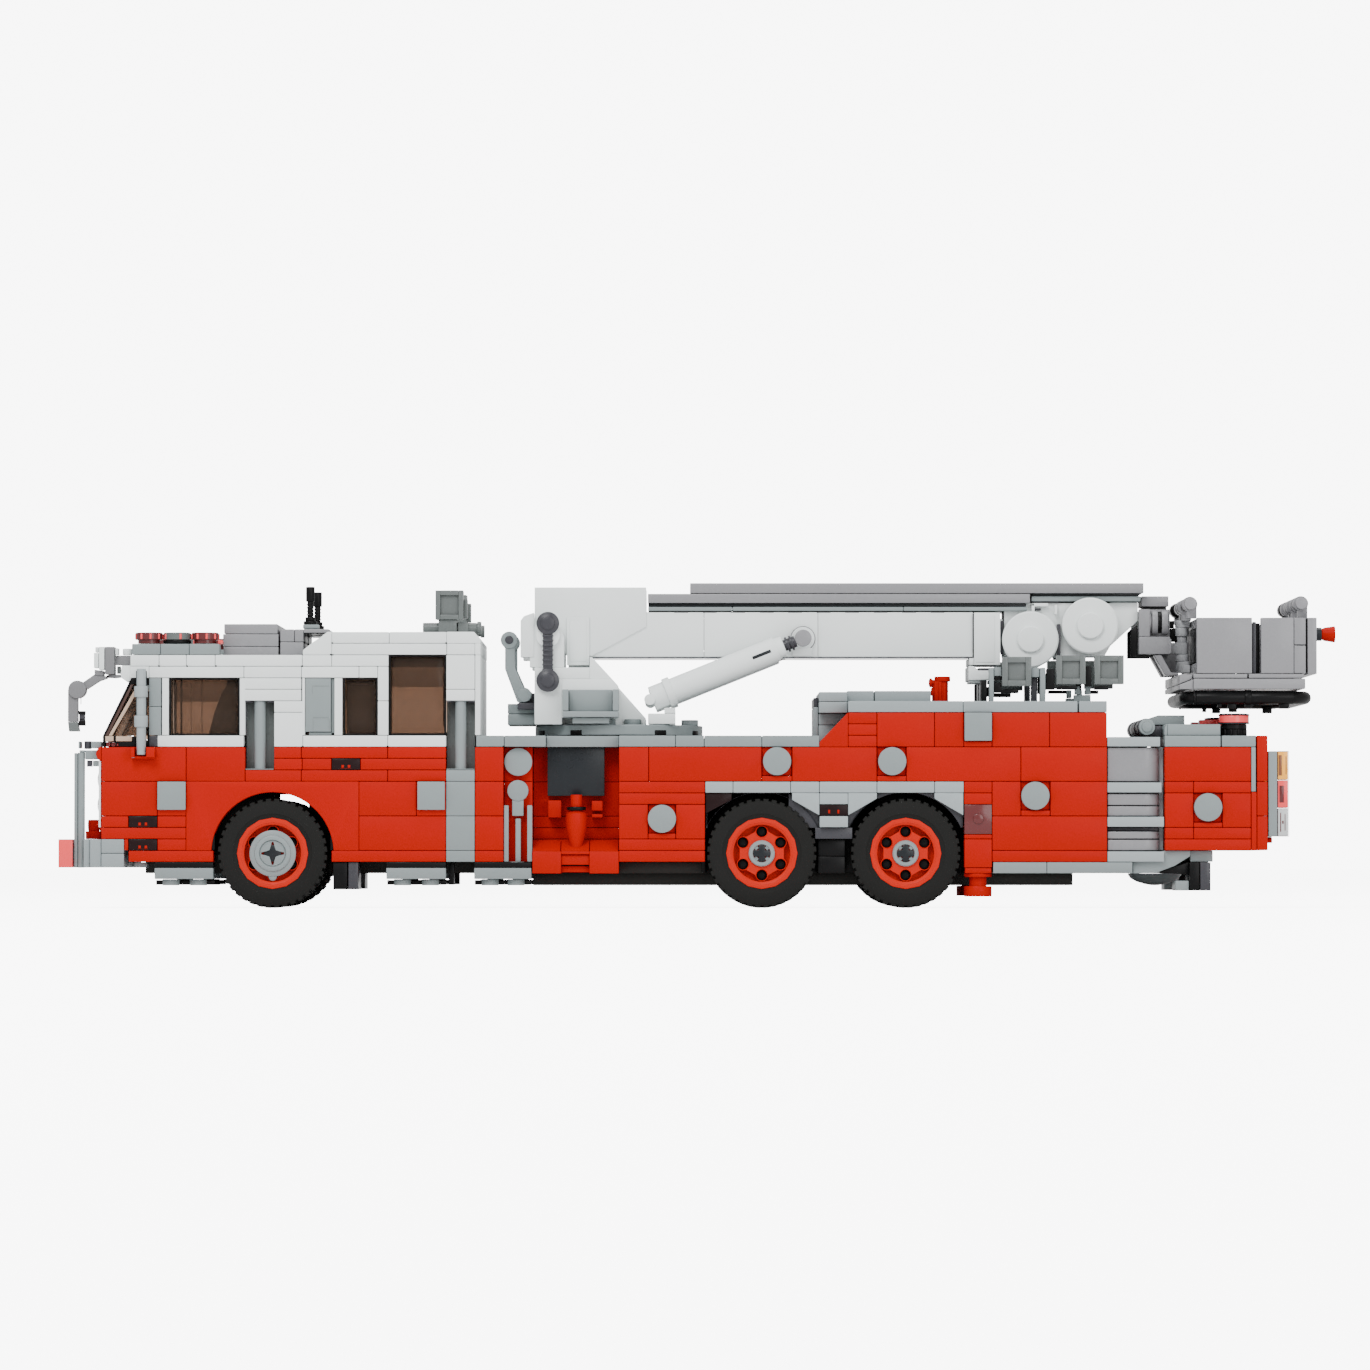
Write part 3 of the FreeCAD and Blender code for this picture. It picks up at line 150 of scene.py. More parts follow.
def tyreRubber(name):
    material, tree, shader = newMaterial(name)
    coords = addNode(tree, "ShaderNodeTexCoord").outputs["Object"]
    # mould bloom greys the rubber in soft patches
    bloom = addNode(tree, "ShaderNodeTexNoise", {"Vector": coords}, in_Scale=90.0, in_Detail=4.0)
    ramp = addNode(tree, "ShaderNodeValToRGB", {"Fac": bloom.outputs["Fac"]})
    ramp.color_ramp.elements[0].color = linear("#161615")
    ramp.color_ramp.elements[1].color = linear("#1F1F1E")
    shader.inputs["Specular IOR Level"].default_value = 0.12
    tree.links.new(ramp.outputs[0], shader.inputs["Base Color"])
    grain = addNode(tree, "ShaderNodeTexNoise", {"Vector": coords}, in_Scale=2600.0, in_Detail=2.0)
    bump = addNode(tree, "ShaderNodeBump", {"Height": grain.outputs["Fac"]}, in_Strength=0.25,
                   in_Distance=0.00015)
    tree.links.new(bump.outputs[0], shader.inputs["Normal"])
    gloss = addNode(tree, "ShaderNodeMapRange", {"Value": bloom.outputs["Fac"]}, in_To_Min=0.6,
                    in_To_Max=0.8)
    tree.links.new(gloss.outputs[0], shader.inputs["Roughness"])
    return material


red = mouldedPlastic("red moulded ABS", "#AB1207", roughness=0.4, shine=0.05)
white = mouldedPlastic("white moulded ABS", "#E8EDEC", roughness=0.4, shine=0.15)
lightGrey = mouldedPlastic("light grey moulded ABS", "#828B8C", roughness=0.36, shine=0.2)
midGrey = mouldedPlastic("silver grey moulded ABS", "#858588", roughness=0.26)
darkGrey = mouldedPlastic("dark grey moulded ABS", "#3A3A3F")
lampGrey = mouldedPlastic("lamp grey moulded ABS", "#616665", roughness=0.26)
slate = mouldedPlastic("slate moulded ABS", "#191D21")
black = mouldedPlastic("black moulded ABS", "#0D0D0E", roughness=0.34, shine=0.12)
lampBlack = mouldedPlastic("dark lamp moulded ABS", "#1E0F10", roughness=0.3, shine=0.12)
smokedStrip = mouldedPlastic("smoked strip polycarbonate", "#4A3732", roughness=0.3, shine=0.2)
# opaque cream for the windscreen's sill blocks, and for a strip that paints the refraction highlight along
# the glass
creamAndGlassHighlight = mouldedPlastic("tinted clear polycarbonate and painted glass highlight", "#BEA48F", roughness=0.35, shine=0.2)
smoke = clearPlastic("smoked clear polycarbonate", "#8F7A6B", roughness=0.03, ior=1.15)
rimRed = mouldedPlastic("bright red wheel ABS", "#BF200C", roughness=0.4, shine=0.1)
paleGrey = mouldedPlastic("pale grey moulded ABS", "#98A1A3", roughness=0.36, shine=0.2)
deckGrey = mouldedPlastic("deck grey moulded ABS", "#8D9698", roughness=0.36, shine=0.2)
armGrey = mouldedPlastic("steel grey moulded ABS", "#767678", roughness=0.3, shine=0.2)
chassisBrown = mouldedPlastic("charcoal moulded ABS", "#2E2D2B", roughness=0.4, shine=0.1)
# the hinges are light grey; this copy is painted lighter to cancel the shade that falls on them
paintedLightHingeGrey = mouldedPlastic("light grey ABS painted lighter against shade", "#BDBFC2", roughness=0.36, shine=0.2)
lampRed = mouldedPlastic("red lamp polycarbonate", "#F2484A", roughness=0.2, shine=0.4)
lampMaroon = mouldedPlastic("maroon lamp polycarbonate", "#5A2223", roughness=0.2, shine=0.4)
lampAmber = mouldedPlastic("amber lamp polycarbonate", "#FFB03C", roughness=0.2, shine=0.4)
lampBrown = mouldedPlastic("brown lamp polycarbonate", "#7A4A2C", roughness=0.2, shine=0.4)
lampPale = mouldedPlastic("pale lamp polycarbonate", "#C3C6C6", roughness=0.2, shine=0.4)
clearRed = clearPlastic("red clear polycarbonate", "#C8141A")
clear = clearPlastic("clear polycarbonate", "#EDF0F0")
rubber = tyreRubber("tyre rubber")


# Making pieces. A work holds crisp mouldings, whose edges get a small rounding, and turned ones.

def newWork():
    return {"crisp": bmesh.new(), "turned": bmesh.new()}


def addBlock(work, n0, n1, m0, m1, k0, k1, gap=joint):
    # One brick between stud and plate lines, a hair smaller than its cell
    low, high = spot(n0, m0, k0), spot(n1, m1, k1)
    size = high - low - Vector((2 * gap,) * 3)
    move = Matrix.Translation((low + high) / 2) @ Matrix.Diagonal((*size, 1.0))
    bmesh.ops.create_cube(work["crisp"], size=1.0, matrix=move)


def innerLine(m0, gap):
    return m0 if m0 else -gap / studPitch   # two halves touch on the middle plane


def addBothSides(work, n0, n1, m0, m1, k0, k1, gap=joint):
    inner = innerLine(m0, gap)
    addBlock(work, n0, n1, -m1, -inner, k0, k1, gap)
    addBlock(work, n0, n1, inner, m1, k0, k1, gap)


def addPlate(work, outline, m0, m1, gap=joint):
    # A flat outline of (n, k) corners, given thickness across the model
    mesh = work["crisp"]
    rim = [mesh.verts.new(spot(n, m0, k) + Vector((0, gap, 0))) for n, k in outline]
    face = mesh.faces.new(rim)
    grown = bmesh.ops.extrude_face_region(mesh, geom=[face])["geom"]
    corners = [item for item in grown if isinstance(item, bmesh.types.BMVert)]
    bmesh.ops.translate(mesh, verts=corners, vec=(0, (m1 - m0) * studPitch - 2 * gap, 0))


def addPlatePair(work, outline, m0, m1, gap=joint):
    inner = innerLine(m0, gap)
    addPlate(work, outline, -m1, -inner, gap)
    addPlate(work, outline, inner, m1, gap)


def addTurned(work, centre, axis, profile, steps=40):
    # A profile of (distance along the axis, radius) points, spun about the axis
    mesh = work["turned"]
    axis = Vector(axis).normalized()
    side = axis.orthogonal().normalized()
    points = [mesh.verts.new(centre + axis * along + side * radius) for along, radius in profile]
    edges = [mesh.edges.new(pair) for pair in zip(points, points[1:])]
    bmesh.ops.spin(mesh, geom=points + edges, cent=centre, axis=axis, angle=math.tau, steps=steps,
                   use_merge=True)


def rounded(length, radius, edge=softEdge, start=0.0):
    # The profile of a closed round bar with softened rims
    turn = [(1 - math.cos(math.radians(a)), 1 - math.sin(math.radians(a))) for a in (0, 45, 90)]
    first = [(start + edge * back, radius - edge * inset) for back, inset in turn]
    last = [(start + length - edge * back, radius - edge * inset) for back, inset in reversed(turn)]
    return [(start, 0.0)] + first + last + [(start + length, 0.0)]


def inMetres(profile):
    # a turned profile listed in mm
    return [(along * millimetre, radius * millimetre) for along, radius in profile]


def fromPlates(profile):
    # a turned profile of heights in plates and radii in mm
    return [(k * plateHeight, radius * millimetre) for k, radius in profile]


def addTurnedPair(work, n, m, k, profile, steps):
    # an upright turned form on each side of the model
    for side in (-1, 1):
        addTurned(work, spot(n, side * m, k), (0, 0, 1), profile, steps)


def addTurnedBlock(work, middle, turn, axis, offset, size):
    # a block turned about a middle point and moved out from it, offset and size in mm
    place = (Matrix.Translation(middle) @ Matrix.Rotation(turn, 4, axis)
             @ Matrix.Translation([v * millimetre for v in offset])
             @ Matrix.Diagonal([v * millimetre for v in size] + [1.0]))
    bmesh.ops.create_cube(work["crisp"], size=1.0, matrix=place)


def addBar(work, start, end, radius, edge=softEdge, steps=24):
    run = end - start
    addTurned(work, start, run, rounded(run.length, radius, edge), steps)


def addStud(work, n, m, k, direction=1):
    addTurned(work, spot(n, m, k), (0, 0, direction), rounded(studRise, studRadius), 24)


def addDiscY(work, n, k, radius, y0, y1, edge=softEdge, steps=40):
    # A disc that faces sideways, on both sides of the model
    for side in (-1, 1):
        start = Vector((across(n), side * y0, up(k)))
        addTurned(work, start, (0, side, 0), rounded(y1 - y0, radius, edge), steps)


def markTones(mesh, seed):
    # A random tone for each separate moulding, read by the plastic materials
    owner = list(range(len(mesh.vertices)))

    def root(index):
        while owner[index] != index:
            owner[index] = owner[owner[index]]
            index = owner[index]
        return index

    for edge in mesh.edges:
        a, b = root(edge.vertices[0]), root(edge.vertices[1])
        if a != b:
            owner[a] = b
    rng = random.Random(seed)
    tones = {}
    layer = mesh.attributes.new("tone", "FLOAT", "FACE")
    for polygon in mesh.polygons:
        piece = root(polygon.vertices[0])
        if piece not in tones:
            tones[piece] = rng.random()
        layer.data[polygon.index].value = tones[piece]


def finishWork(work, name, body, material, nodes=(), edge=softEdge, segments=2):
    crisp, turned = work["crisp"], work["turned"]
    if crisp.faces:
        bmesh.ops.bevel(crisp, geom=list(crisp.edges), offset=edge, segments=segments, profile=0.5,
                        affect="EDGES", clamp_overlap=True, material=-1)
    bmesh.ops.remove_doubles(turned, verts=list(turned.verts), dist=1e-7)
    for face in turned.faces:
        face.smooth = True
    spare = bpy.data.meshes.new("spare")
    turned.to_mesh(spare)
    crisp.from_mesh(spare)
    bpy.data.meshes.remove(spare)
    bmesh.ops.recalc_face_normals(crisp, faces=list(crisp.faces))
    mesh = bpy.data.meshes.new(name)
    crisp.to_mesh(mesh)
    crisp.free()
    turned.free()
    mesh.set_sharp_from_angle(angle=math.radians(34))
    markTones(mesh, len(mesh.vertices))
    mesh.materials.append(material)
    piece = bpy.data.objects.new(name, mesh)
    bpy.context.scene.collection.objects.link(piece)
    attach(piece, body)
    if nodes:
        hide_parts(*nodes)
    return piece


def addPoints(work, points, depth):
    # A flat loop of points in space, given thickness along depth
    mesh = work["crisp"]
    face = mesh.faces.new([mesh.verts.new(point) for point in points])
    grown = bmesh.ops.extrude_face_region(mesh, geom=[face])["geom"]
    corners = [item for item in grown if isinstance(item, bmesh.types.BMVert)]
    bmesh.ops.translate(mesh, verts=corners, vec=depth)


def addPierced(work, rims, depth):
    # A flat outline with holes: loops of points, the outer one first, given thickness
    mesh = work["turned"]
    edges = []
    for rim in rims:
        corners = [mesh.verts.new(point) for point in rim]
        edges += [mesh.edges.new(pair) for pair in zip(corners, corners[1:] + corners[:1])]
    filled = bmesh.ops.triangle_fill(mesh, edges=edges, use_beauty=True)["geom"]
    faces = [item for item in filled if isinstance(item, bmesh.types.BMFace)]
    grown = bmesh.ops.extrude_face_region(mesh, geom=faces)["geom"]
    corners = [item for item in grown if isinstance(item, bmesh.types.BMVert)]
    bmesh.ops.translate(mesh, verts=corners, vec=depth)


def circle(centre, radius, steps=24):
    # Points round a centre in the XZ plane
    return [centre + Vector((radius * math.cos(a), 0, radius * math.sin(a)))
            for a in (math.tau * i / steps for i in range(steps))]


def build(name, body, material, slot, nodes=(), edge=softEdge, **rows):
    # One piece from its tables of bricks, plates, discs, bars and studs
    work = newWork()
    for row in rows.get("sides", ()):        # n0, n1, m0, m1, k0, k1 on both sides
        addBothSides(work, *row)
    for row in rows.get("blocks", ()):       # n0, n1, m0, m1, k0, k1
        addBlock(work, *row)
    for outline, m0, m1 in rows.get("plates", ()):
        addPlatePair(work, outline, m0, m1)
    for outline, m0, m1 in rows.get("slabs", ()):
        addPlate(work, outline, m0, m1)
    for n, k, radius, y0, y1 in rows.get("discs", ()):   # radius, y0 and y1 in mm
        addDiscY(work, n, k, radius * millimetre, y0 * millimetre, y1 * millimetre)
    for n, m, k in rows.get("studs", ()):
        addStud(work, n, m, k)
    for n, m, k in rows.get("hungStuds", ()):
        addStud(work, n, m, k, -1)
    for start, end, radius in rows.get("bars", ()):      # both sides, radius in mm
        for side in (-1, 1):
            addBar(work, spot(start[0], side * start[1], start[2]), spot(end[0], side * end[1], end[2]),
                   radius * millimetre)
    for start, end, radius in rows.get("middleBars", ()):
        addBar(work, spot(*start), spot(*end), radius * millimetre)
    for extra in rows.get("extras", ()):
        extra(work)
    return finishWork(work, name, body, material, nodes, edge)


def archCourse(n0, n1, k0, k1, centre, radius=17.0):
    # The outline of a course of bricks that the wheel arch bites into
    axle = (15.2 - undersideHeight * 1000) / (plateHeight * 1000)

    def bite(k):
        rise = (k - axle) * plateHeight * 1000
        return math.sqrt(max(radius ** 2 - rise ** 2, 0.0)) / (studPitch * 1000)

    steps = [k0 + (k1 - k0) * i / 10 for i in range(11)]
    if n1 <= centre:
        return [(n0, k0)] + [(min(n1, centre - bite(k)), k) for k in steps] + [(n0, k1)]
    if n0 >= centre:
        return [(n1, k1)] + [(max(n0, centre + bite(k)), k) for k in reversed(steps)] + [(n1, k0)]
    crown = axle + radius / (plateHeight * 1000)
    fall = [k0 + (min(k1, crown) - k0) * math.sin(math.radians(a)) for a in range(0, 91, 6)]
    left = [(centre - bite(k), k) for k in fall]
    right = [(centre + bite(k), k) for k in reversed(fall[:-1])]
    return [(n0, k1), (n0, k0)] + left + right + [(n1, k0), (n1, k1)]


# Wheels. Sizes in mm; both wheels of an axle turn together.

wheel = {
    "radius": 15.2, "side": 14.45, "root": 14.7, "inner": 17.4, "outer": 31.4,
    "lugs": 40, "lugLength": 1.5, "lugWidth": 6.3,
    "rim": 9.95, "lip": 7.9, "lipFall": 0.35, "facets": 16, "webFace": 29.5, "floor": 27.2,
    "web": 6.15, "bossRing": 6.05, "boss": 1.75, "hole": 1.5, "holes": 6,
    "bead": 0.65, "wallDrop": 0.5, "wallStep": 0.15, "shoulder": 0.8,
    "beadRing": [(0, 1.1), (-0.25, 0.75), (-0.3, -0.65)],              # from the outer face and the rim
    "rimBack": 9.0, "rimEdge": [(-0.3, 0), (-0.06, -0.08), (-0.02, -0.3), (-0.02, -1.2)],
    "shell": 1.2, "facetBack": 9.2, "facetDrop": 1.0, "bore": 2.4,
    "holeLip": [(-0.2, 1.5), (0.0, 1.5), (0.12, 1.56), (0.12, 1.68), (0.0, 1.74), (-0.2, 1.74), (-0.2, 1.5)],
    "holeShadeDepth": 0.3, "axles": (("front_wheels", "front", -15.0), ("rear_wheels_first", "rear_first", 2.0),
                               ("rear_wheels_second", "rear_second", 7.0)),
}
hub = {
    "front": [(29.4, 3.2), (30.95, 3.2), (31.0, 3.4), (30.7, 3.5), (30.7, 3.6), (31.25, 3.8), (31.3, 4.5),
              (31.1, 4.95), (30.7, 5.1), (30.65, 5.3), (30.6, 6.1), (30.4, 6.45), (29.4, 6.45), (29.4, 3.2)],
    "rear": [(27.6, 2.45), (30.3, 2.45), (30.45, 2.6), (30.45, 3.35), (30.25, 3.6), (29.6, 3.7), (27.6, 3.7),
             (27.6, 2.45)],
    "plate": {"y": 30.5, "radius": 3.35, "depth": 0.4},                # with the cross opening in it
    "spikes": ((1.9, -0.55), (3.25, -0.25), (3.25, 0.25), (1.9, 0.55), (0.9, 0.9)),
    "dowel": {"y": 29.4, "below": 6.5, "length": 0.9, "radius": 1.15},
    "teeth": {"y": 29.0, "offset": (0, 0, 2.15), "size": (1.1, 2.2, 1.0)},
    "axle": {"reach": 30.6, "radius": 2.35, "half": 0.88},
}


def wheelWork(make):
    work = newWork()
    for side in (-1, 1):
        make(work, side)
    return work


def axlePoint(n, side, y):
    return Vector((across(n), side * y * millimetre, wheel["radius"] * millimetre))


def spun(work, n, side, profile, steps=72):
    # A profile of (distance from the middle plane, radius) points in mm
    addTurned(work, axlePoint(n, side, 0), (0, side, 0), inMetres(profile), steps)


def tyreWork(n):
    low, high = wheel["inner"], wheel["outer"]
    root, side, rim = wheel["root"], wheel["side"], wheel["rim"]
    bead, drop, step, shoulder = wheel["bead"], wheel["wallDrop"], wheel["wallStep"], wheel["shoulder"]
    height = wheel["radius"] - side + drop
    lugRows = ((low + step, low + step + wheel["lugWidth"]), (high - step - wheel["lugWidth"], high - step))

    def make(work, hand):
        spun(work, n, hand,
             [(low, rim - bead), (low, side - drop), (low + step, side), (low + shoulder, root),
              (high - shoulder, root), (high - step, side), (high, side - drop)]
             + [(high + y, rim + r) for y, r in wheel["beadRing"]] + [(low, rim - bead)], 80)
        for row, (y0, y1) in enumerate(lugRows):
            for index in range(wheel["lugs"]):
                angle = math.tau * (index + 0.5 * row) / wheel["lugs"]
                addTurnedBlock(work, axlePoint(n, hand, (y0 + y1) / 2), angle, "Y",
                               (0, 0, wheel["radius"] - height / 2), (wheel["lugLength"], y1 - y0, height))
    return wheelWork(make)


def rimWork(n):
    def webReach(angle):   # straight sides between the round bosses
        sector = math.tau / wheel["holes"]
        reach = wheel["web"] / math.cos((angle - math.tau / 4) % sector - sector / 2)
        for index in range(wheel["holes"]):
            turn = angle - math.tau * (index / wheel["holes"] + 0.25)
            off = wheel["bossRing"] * math.sin(turn)
            if math.cos(turn) > 0 and abs(off) < wheel["boss"]:
                reach = max(reach, wheel["bossRing"] * math.cos(turn)
                            + math.sqrt(wheel["boss"] ** 2 - off ** 2))
        return min(reach, wheel["lip"]) * millimetre

    def make(work, hand):
        rim, lip, face, floor = wheel["rim"], wheel["lip"], wheel["webFace"], wheel["floor"]
        top = wheel["outer"]
        back, fall, bore = wheel["inner"], wheel["lipFall"], wheel["bore"]
        spun(work, n, hand, [(back, wheel["rimBack"]), (back + 0.4, rim)]
             + [(top + y, rim + r) for y, r in wheel["rimEdge"]]
             + [(floor, rim - wheel["shell"]), (back, wheel["rimBack"])], wheel["facets"])
        spun(work, n, hand, [(back, wheel["facetBack"]), (top, wheel["facetBack"]),
                             (top, rim - wheel["facetDrop"]), (top - fall, lip + 0.2),
                             (top - fall - 0.2, lip), (floor, lip), (floor, bore), (back, bore),
                             (back, wheel["facetBack"])])
        centre = axlePoint(n, hand, floor)
        turns = [math.tau * i / 144 for i in range(144)]
        star = [centre + Vector((math.cos(a), 0, math.sin(a))) * webReach(a) for a in turns]
        holes = [circle(centre + Vector((math.cos(a), 0, math.sin(a))) * wheel["bossRing"] * millimetre,
                        wheel["hole"] * millimetre)
                 for a in (math.tau * (i / wheel["holes"] + 0.25) for i in range(wheel["holes"]))]
        depth = Vector((0, hand * (face - floor) * millimetre, 0))
        addPierced(work, [star] + holes, depth)
        for hole in holes:
            middle = sum(hole, Vector()) / len(hole)
            addTurned(work, middle + depth, (0, hand, 0), inMetres(wheel["holeLip"]), 28)
    return wheelWork(make)


# black discs set inside the rim's holes paint the shade seen through them
def rimHoleShadeWork(n):
    def make(work, hand):
        for turn in (math.tau * (i / wheel["holes"] + 0.25) for i in range(wheel["holes"])):
            start = axlePoint(n, hand, wheel["floor"] + 0.1)
            start += Vector((math.cos(turn), 0, math.sin(turn))) * wheel["bossRing"] * millimetre
            fill = rounded(wheel["holeShadeDepth"] * millimetre, (wheel["hole"] - 0.01) * millimetre)
            addTurned(work, start, (0, hand, 0), fill, 28)
    return wheelWork(make)


def crossOutline(centre, radius, half):
    # The outline of a cross axle's end, clockwise from its right arm
    points = []
    reach = math.asin(half / radius)
    for quarter in range(4):
        turn = math.tau * quarter / 4
        for a in (-reach, -reach / 2, 0, reach / 2, reach):
            points.append(Vector((radius * math.cos(turn + a), 0, radius * math.sin(turn + a))))
        notch = turn + math.tau / 8
        inner = half * math.sqrt(2)
        points.append(Vector((inner * math.cos(notch), 0, inner * math.sin(notch))))
    return [centre + point for point in points]


def spikedOutline(centre):
    # The cross opening in a front hub, whose arms narrow at their tips
    points = []
    for quarter in range(4):
        turn = math.tau * quarter / 4
        for along, off in hub["spikes"]:
            points.append(Vector((along * math.cos(turn) - off * math.sin(turn), 0,
                                  along * math.sin(turn) + off * math.cos(turn))) * millimetre)
    return [centre + point for point in points]


def axleWork(n):
    work = newWork()
    axle = hub["axle"]
    outline = crossOutline(axlePoint(n, -1, axle["reach"]), axle["radius"] * millimetre,
                           axle["half"] * millimetre)
    addPoints(work, outline, Vector((0, 2 * axle["reach"] * millimetre, 0)))
    return work


def hubWork(n, front):
    plate, dowel, teeth = hub["plate"], hub["dowel"], hub["teeth"]

    def make(work, hand):
        if front:
            spun(work, n, hand, hub["front"], 56)
            middle = axlePoint(n, hand, plate["y"])
            addPierced(work, [circle(middle, plate["radius"] * millimetre, 40), spikedOutline(middle)],
                       Vector((0, hand * plate["depth"] * millimetre, 0)))
            foot = axlePoint(n, hand, dowel["y"]) - Vector((0, 0, dowel["below"] * millimetre))
            addTurned(work, foot, (0, hand, 0),
                      rounded(dowel["length"] * millimetre, dowel["radius"] * millimetre), 28)
        else:
            spun(work, n, hand, hub["rear"], 56)
            for quarter in range(4):
                addTurnedBlock(work, axlePoint(n, hand, teeth["y"]), math.tau * (quarter + 0.5) / 4, "Y",
                               teeth["offset"], teeth["size"])
    return wheelWork(make)


def makeWheels():
    for body, prefix, n in wheel["axles"]:
        front = prefix == "front"
        finishWork(tyreWork(n), prefix + "_tyre_mouldings", body, rubber, [prefix + "_tyres"],
                   slimEdge, 1)
        finishWork(rimWork(n), prefix + "_rim_mouldings", body, rimRed, [prefix + "_rims"])
        finishWork(rimHoleShadeWork(n), prefix + "_rim_holes_painted_shade", body, black)
        finishWork(axleWork(n), prefix + "_cross_axle", body, slate, [prefix + "_axle"],
                   slimEdge)
        finishWork(hubWork(n, front), prefix + "_hub_caps", body, lightGrey, (), fineEdge)
    print("wheels done")


makeWheels()


# Cab: a red lower half with the front wheel arch, a white upper half, glass and roof.

cabRed = {
    "sides": [  # n0, n1, m0, m1, k0, k1
        (-20, -17.05, 3, 4, 0, 1), (-19, -18, 3, 4, 1, 2), (-20.15, -20, 3, 4, 1, 2),
        (-20.95, -18, 3, 4, 2, 3), (-20.95, -20, 3, 4, 3, 4), (-19, -18, 3, 4, 3, 4),
        (-20.95, -19, 3, 4, 4, 7), (-19, -18, 3, 4, 4, 7), (-20.95, -18, 3, 4, 7, 10),
        (-18, -15.95, 3, 4, 7, 10), (-15.95, -14, 3, 4, 7, 8), (-14, -11, 3, 4, 7, 8),
        (-14.95, -13.97, 3, 4, 8, 9), (-13.97, -12.95, 3, 4, 8, 9), (-11.95, -8.97, 3, 4, 8, 9),
        (-14.95, -14, 3, 4, 9, 10), (-14, -11, 3, 4, 9, 10), (-11, -8.97, 3, 4, 9, 10),
        (-11, -8.97, 3, 4, 7, 8), (-12.95, -8.97, 3, 4, 0, 1), (-12, -8.97, 3, 4, 1, 4),
        (-12, -10, 3, 4, 4, 7), (-10, -8.97, 3, 4, 4, 7),
        (-20.95, -20, 1, 3, 2, 4), (-20.95, -20, 0, 1, 2, 4), (-20.95, -20, 1.5, 3, 4, 7),
        (-20.95, -20, 0, 1.5, 4, 7), (-20.95, -20, 1, 3, 7, 10), (-20.95, -20, 0, 1, 7, 10),
        (-8.97, -7.97, 0, 3, 1, 4), (-8.97, -7.97, 0, 3, 4, 7), (-8.97, -7.97, 0, 3, 7, 10),
        (-17.1, -12.9, 1.5, 3, 6.2, 7), (-17.1, -12.9, 0, 1.5, 6.2, 7),
    ],
    "plates": [(archCourse(-18, -12, 1, 7, -15.0), 3, 4)]
              + [([(-20.95, 8.77), (-21.04, 8.84), (-21.1, 9.05), (-21.14, 9.4), (-21.1, 9.75),
                   (-21.04, 9.96), (-20.95, 10.02)],
                  m0, m1) for m0, m1 in ((0, 2), (2, 4))],
}
archBacks = {   # dark walls behind the front wheels and the two rear pairs
    "sides": [(-18, -15.05, 1.85, 2.05, 1, 7.1), (-0.1, 0.07, 1.85, 2.95, -0.98, 7),
              (-13.84, -12, 1.85, 2.05, 1, 7.1), (0.05, 4, 1.85, 2.05, -0.98, 6.35),
              (4, 9.0, 1.85, 2.05, -0.98, 6.35), (-17.3, -17.0, 1.9, 3.9, 1.02, 6.2),
              (-13.0, -12.85, 1.9, 3.9, 1.02, 6.2)],
}
cabWhite = {
    "sides": [
        (-19.0, -16.0, 3, 4, 10, 11), (-18.85, -18.6, 3, 4, 11, 16), (-16.15, -15.95, 3, 4, 11, 16),
        (-19.3, -16.0, 3, 4, 16, 17), (-16, -14, 3, 4, 14, 15), (-16, -14, 3, 4, 15, 16),
        (-16, -14, 3, 4, 16, 17), (-14.95, -13.95, 3, 4, 10, 13), (-14.95, -13.95, 3, 4, 13, 14),
        (-13.95, -11, 3, 4, 10, 11), (-14, -12, 3, 4, 16, 17), (-12, -11.35, 3, 4, 16, 17),
        (-13.98, -13.87, 3, 4, 11, 16), (-12.86, -12.57, 3, 4, 11, 16), (-11.35, -10.97, 3, 4, 11, 14),
        (-11.35, -10.97, 3, 4, 14, 17), (-12.95, -10.97, 3, 4, 17, 18), (-11, -8.97, 3, 4, 10, 11),
        (-8.97, -7.97, 3, 4, 14, 15), (-8.97, -7.97, 3, 4, 15, 18), (-8.97, -7.97, 0, 3, 10, 13),
        (-8.97, -7.97, 0, 3, 13, 16), (-8.97, -7.97, 0, 3, 16, 18), (-7.97, -7.77, 2, 4, 11, 18),
        (-7.97, -7.77, 0, 2, 11, 18),
    ],
}
cabRoof = {
    "sides": [
        (-19.95, -18.95, 2, 4, 17, 18), (-18.95, -18, 2, 4, 17, 18), (-18, -17, 2, 4, 17, 18),
        (-17, -13.97, 2, 4, 17, 18), (-13.97, -12.95, 2, 4, 17, 18),
        (-19.95, -17, 0, 2, 17, 18), (-17, -12.95, 0, 2, 17, 18),
        (-12.95, -8.95, 2, 4, 18, 19), (-8.95, -7.97, 2, 4, 18, 19), (-12.95, -7.97, 0, 2, 18, 19),
        (-12.95, -10.95, 2, 4, 19, 20), (-10.95, -8.95, 2, 4, 19, 20), (-12.95, -10.95, 0, 2, 19, 20),
        (-10.95, -8.95, 0, 2, 19, 20),
    ],
    "plates": [(outline, m0, m1) for outline in (
        [(-13.95, 18), (-12.95, 18), (-12.95, 20), (-13.1, 20), (-13.3, 19.6), (-13.6, 19.1), (-13.95, 18.4)],
        [(-8.95, 19), (-7.77, 19), (-7.77, 19.3), (-8.0, 20), (-8.95, 20)],
    ) for m0, m1 in ((2, 4), (0, 2))] + [([(-7.97, 18), (-7.77, 18), (-7.77, 19), (-7.97, 19)], 0, 4)],
    "studs": [(n, m, 18) for n in (-19.45, -18.45, -17.45) for m in (-2.5, -1.5, 1.5, 2.5)],
}
windowFrames = {  # n0, n1, k0, k1 of each opening, and how thick its black frame is, in studs
    "openings": [(-18.6, -16.15, 11, 16), (-12.55, -11.35, 11, 16), (-10.97, -8.97, 11, 18)],
    "bar": 0.07, "face": 3.93, "back": 3.55, "inset": 0.05, "pane": (3.62, 3.72),
}


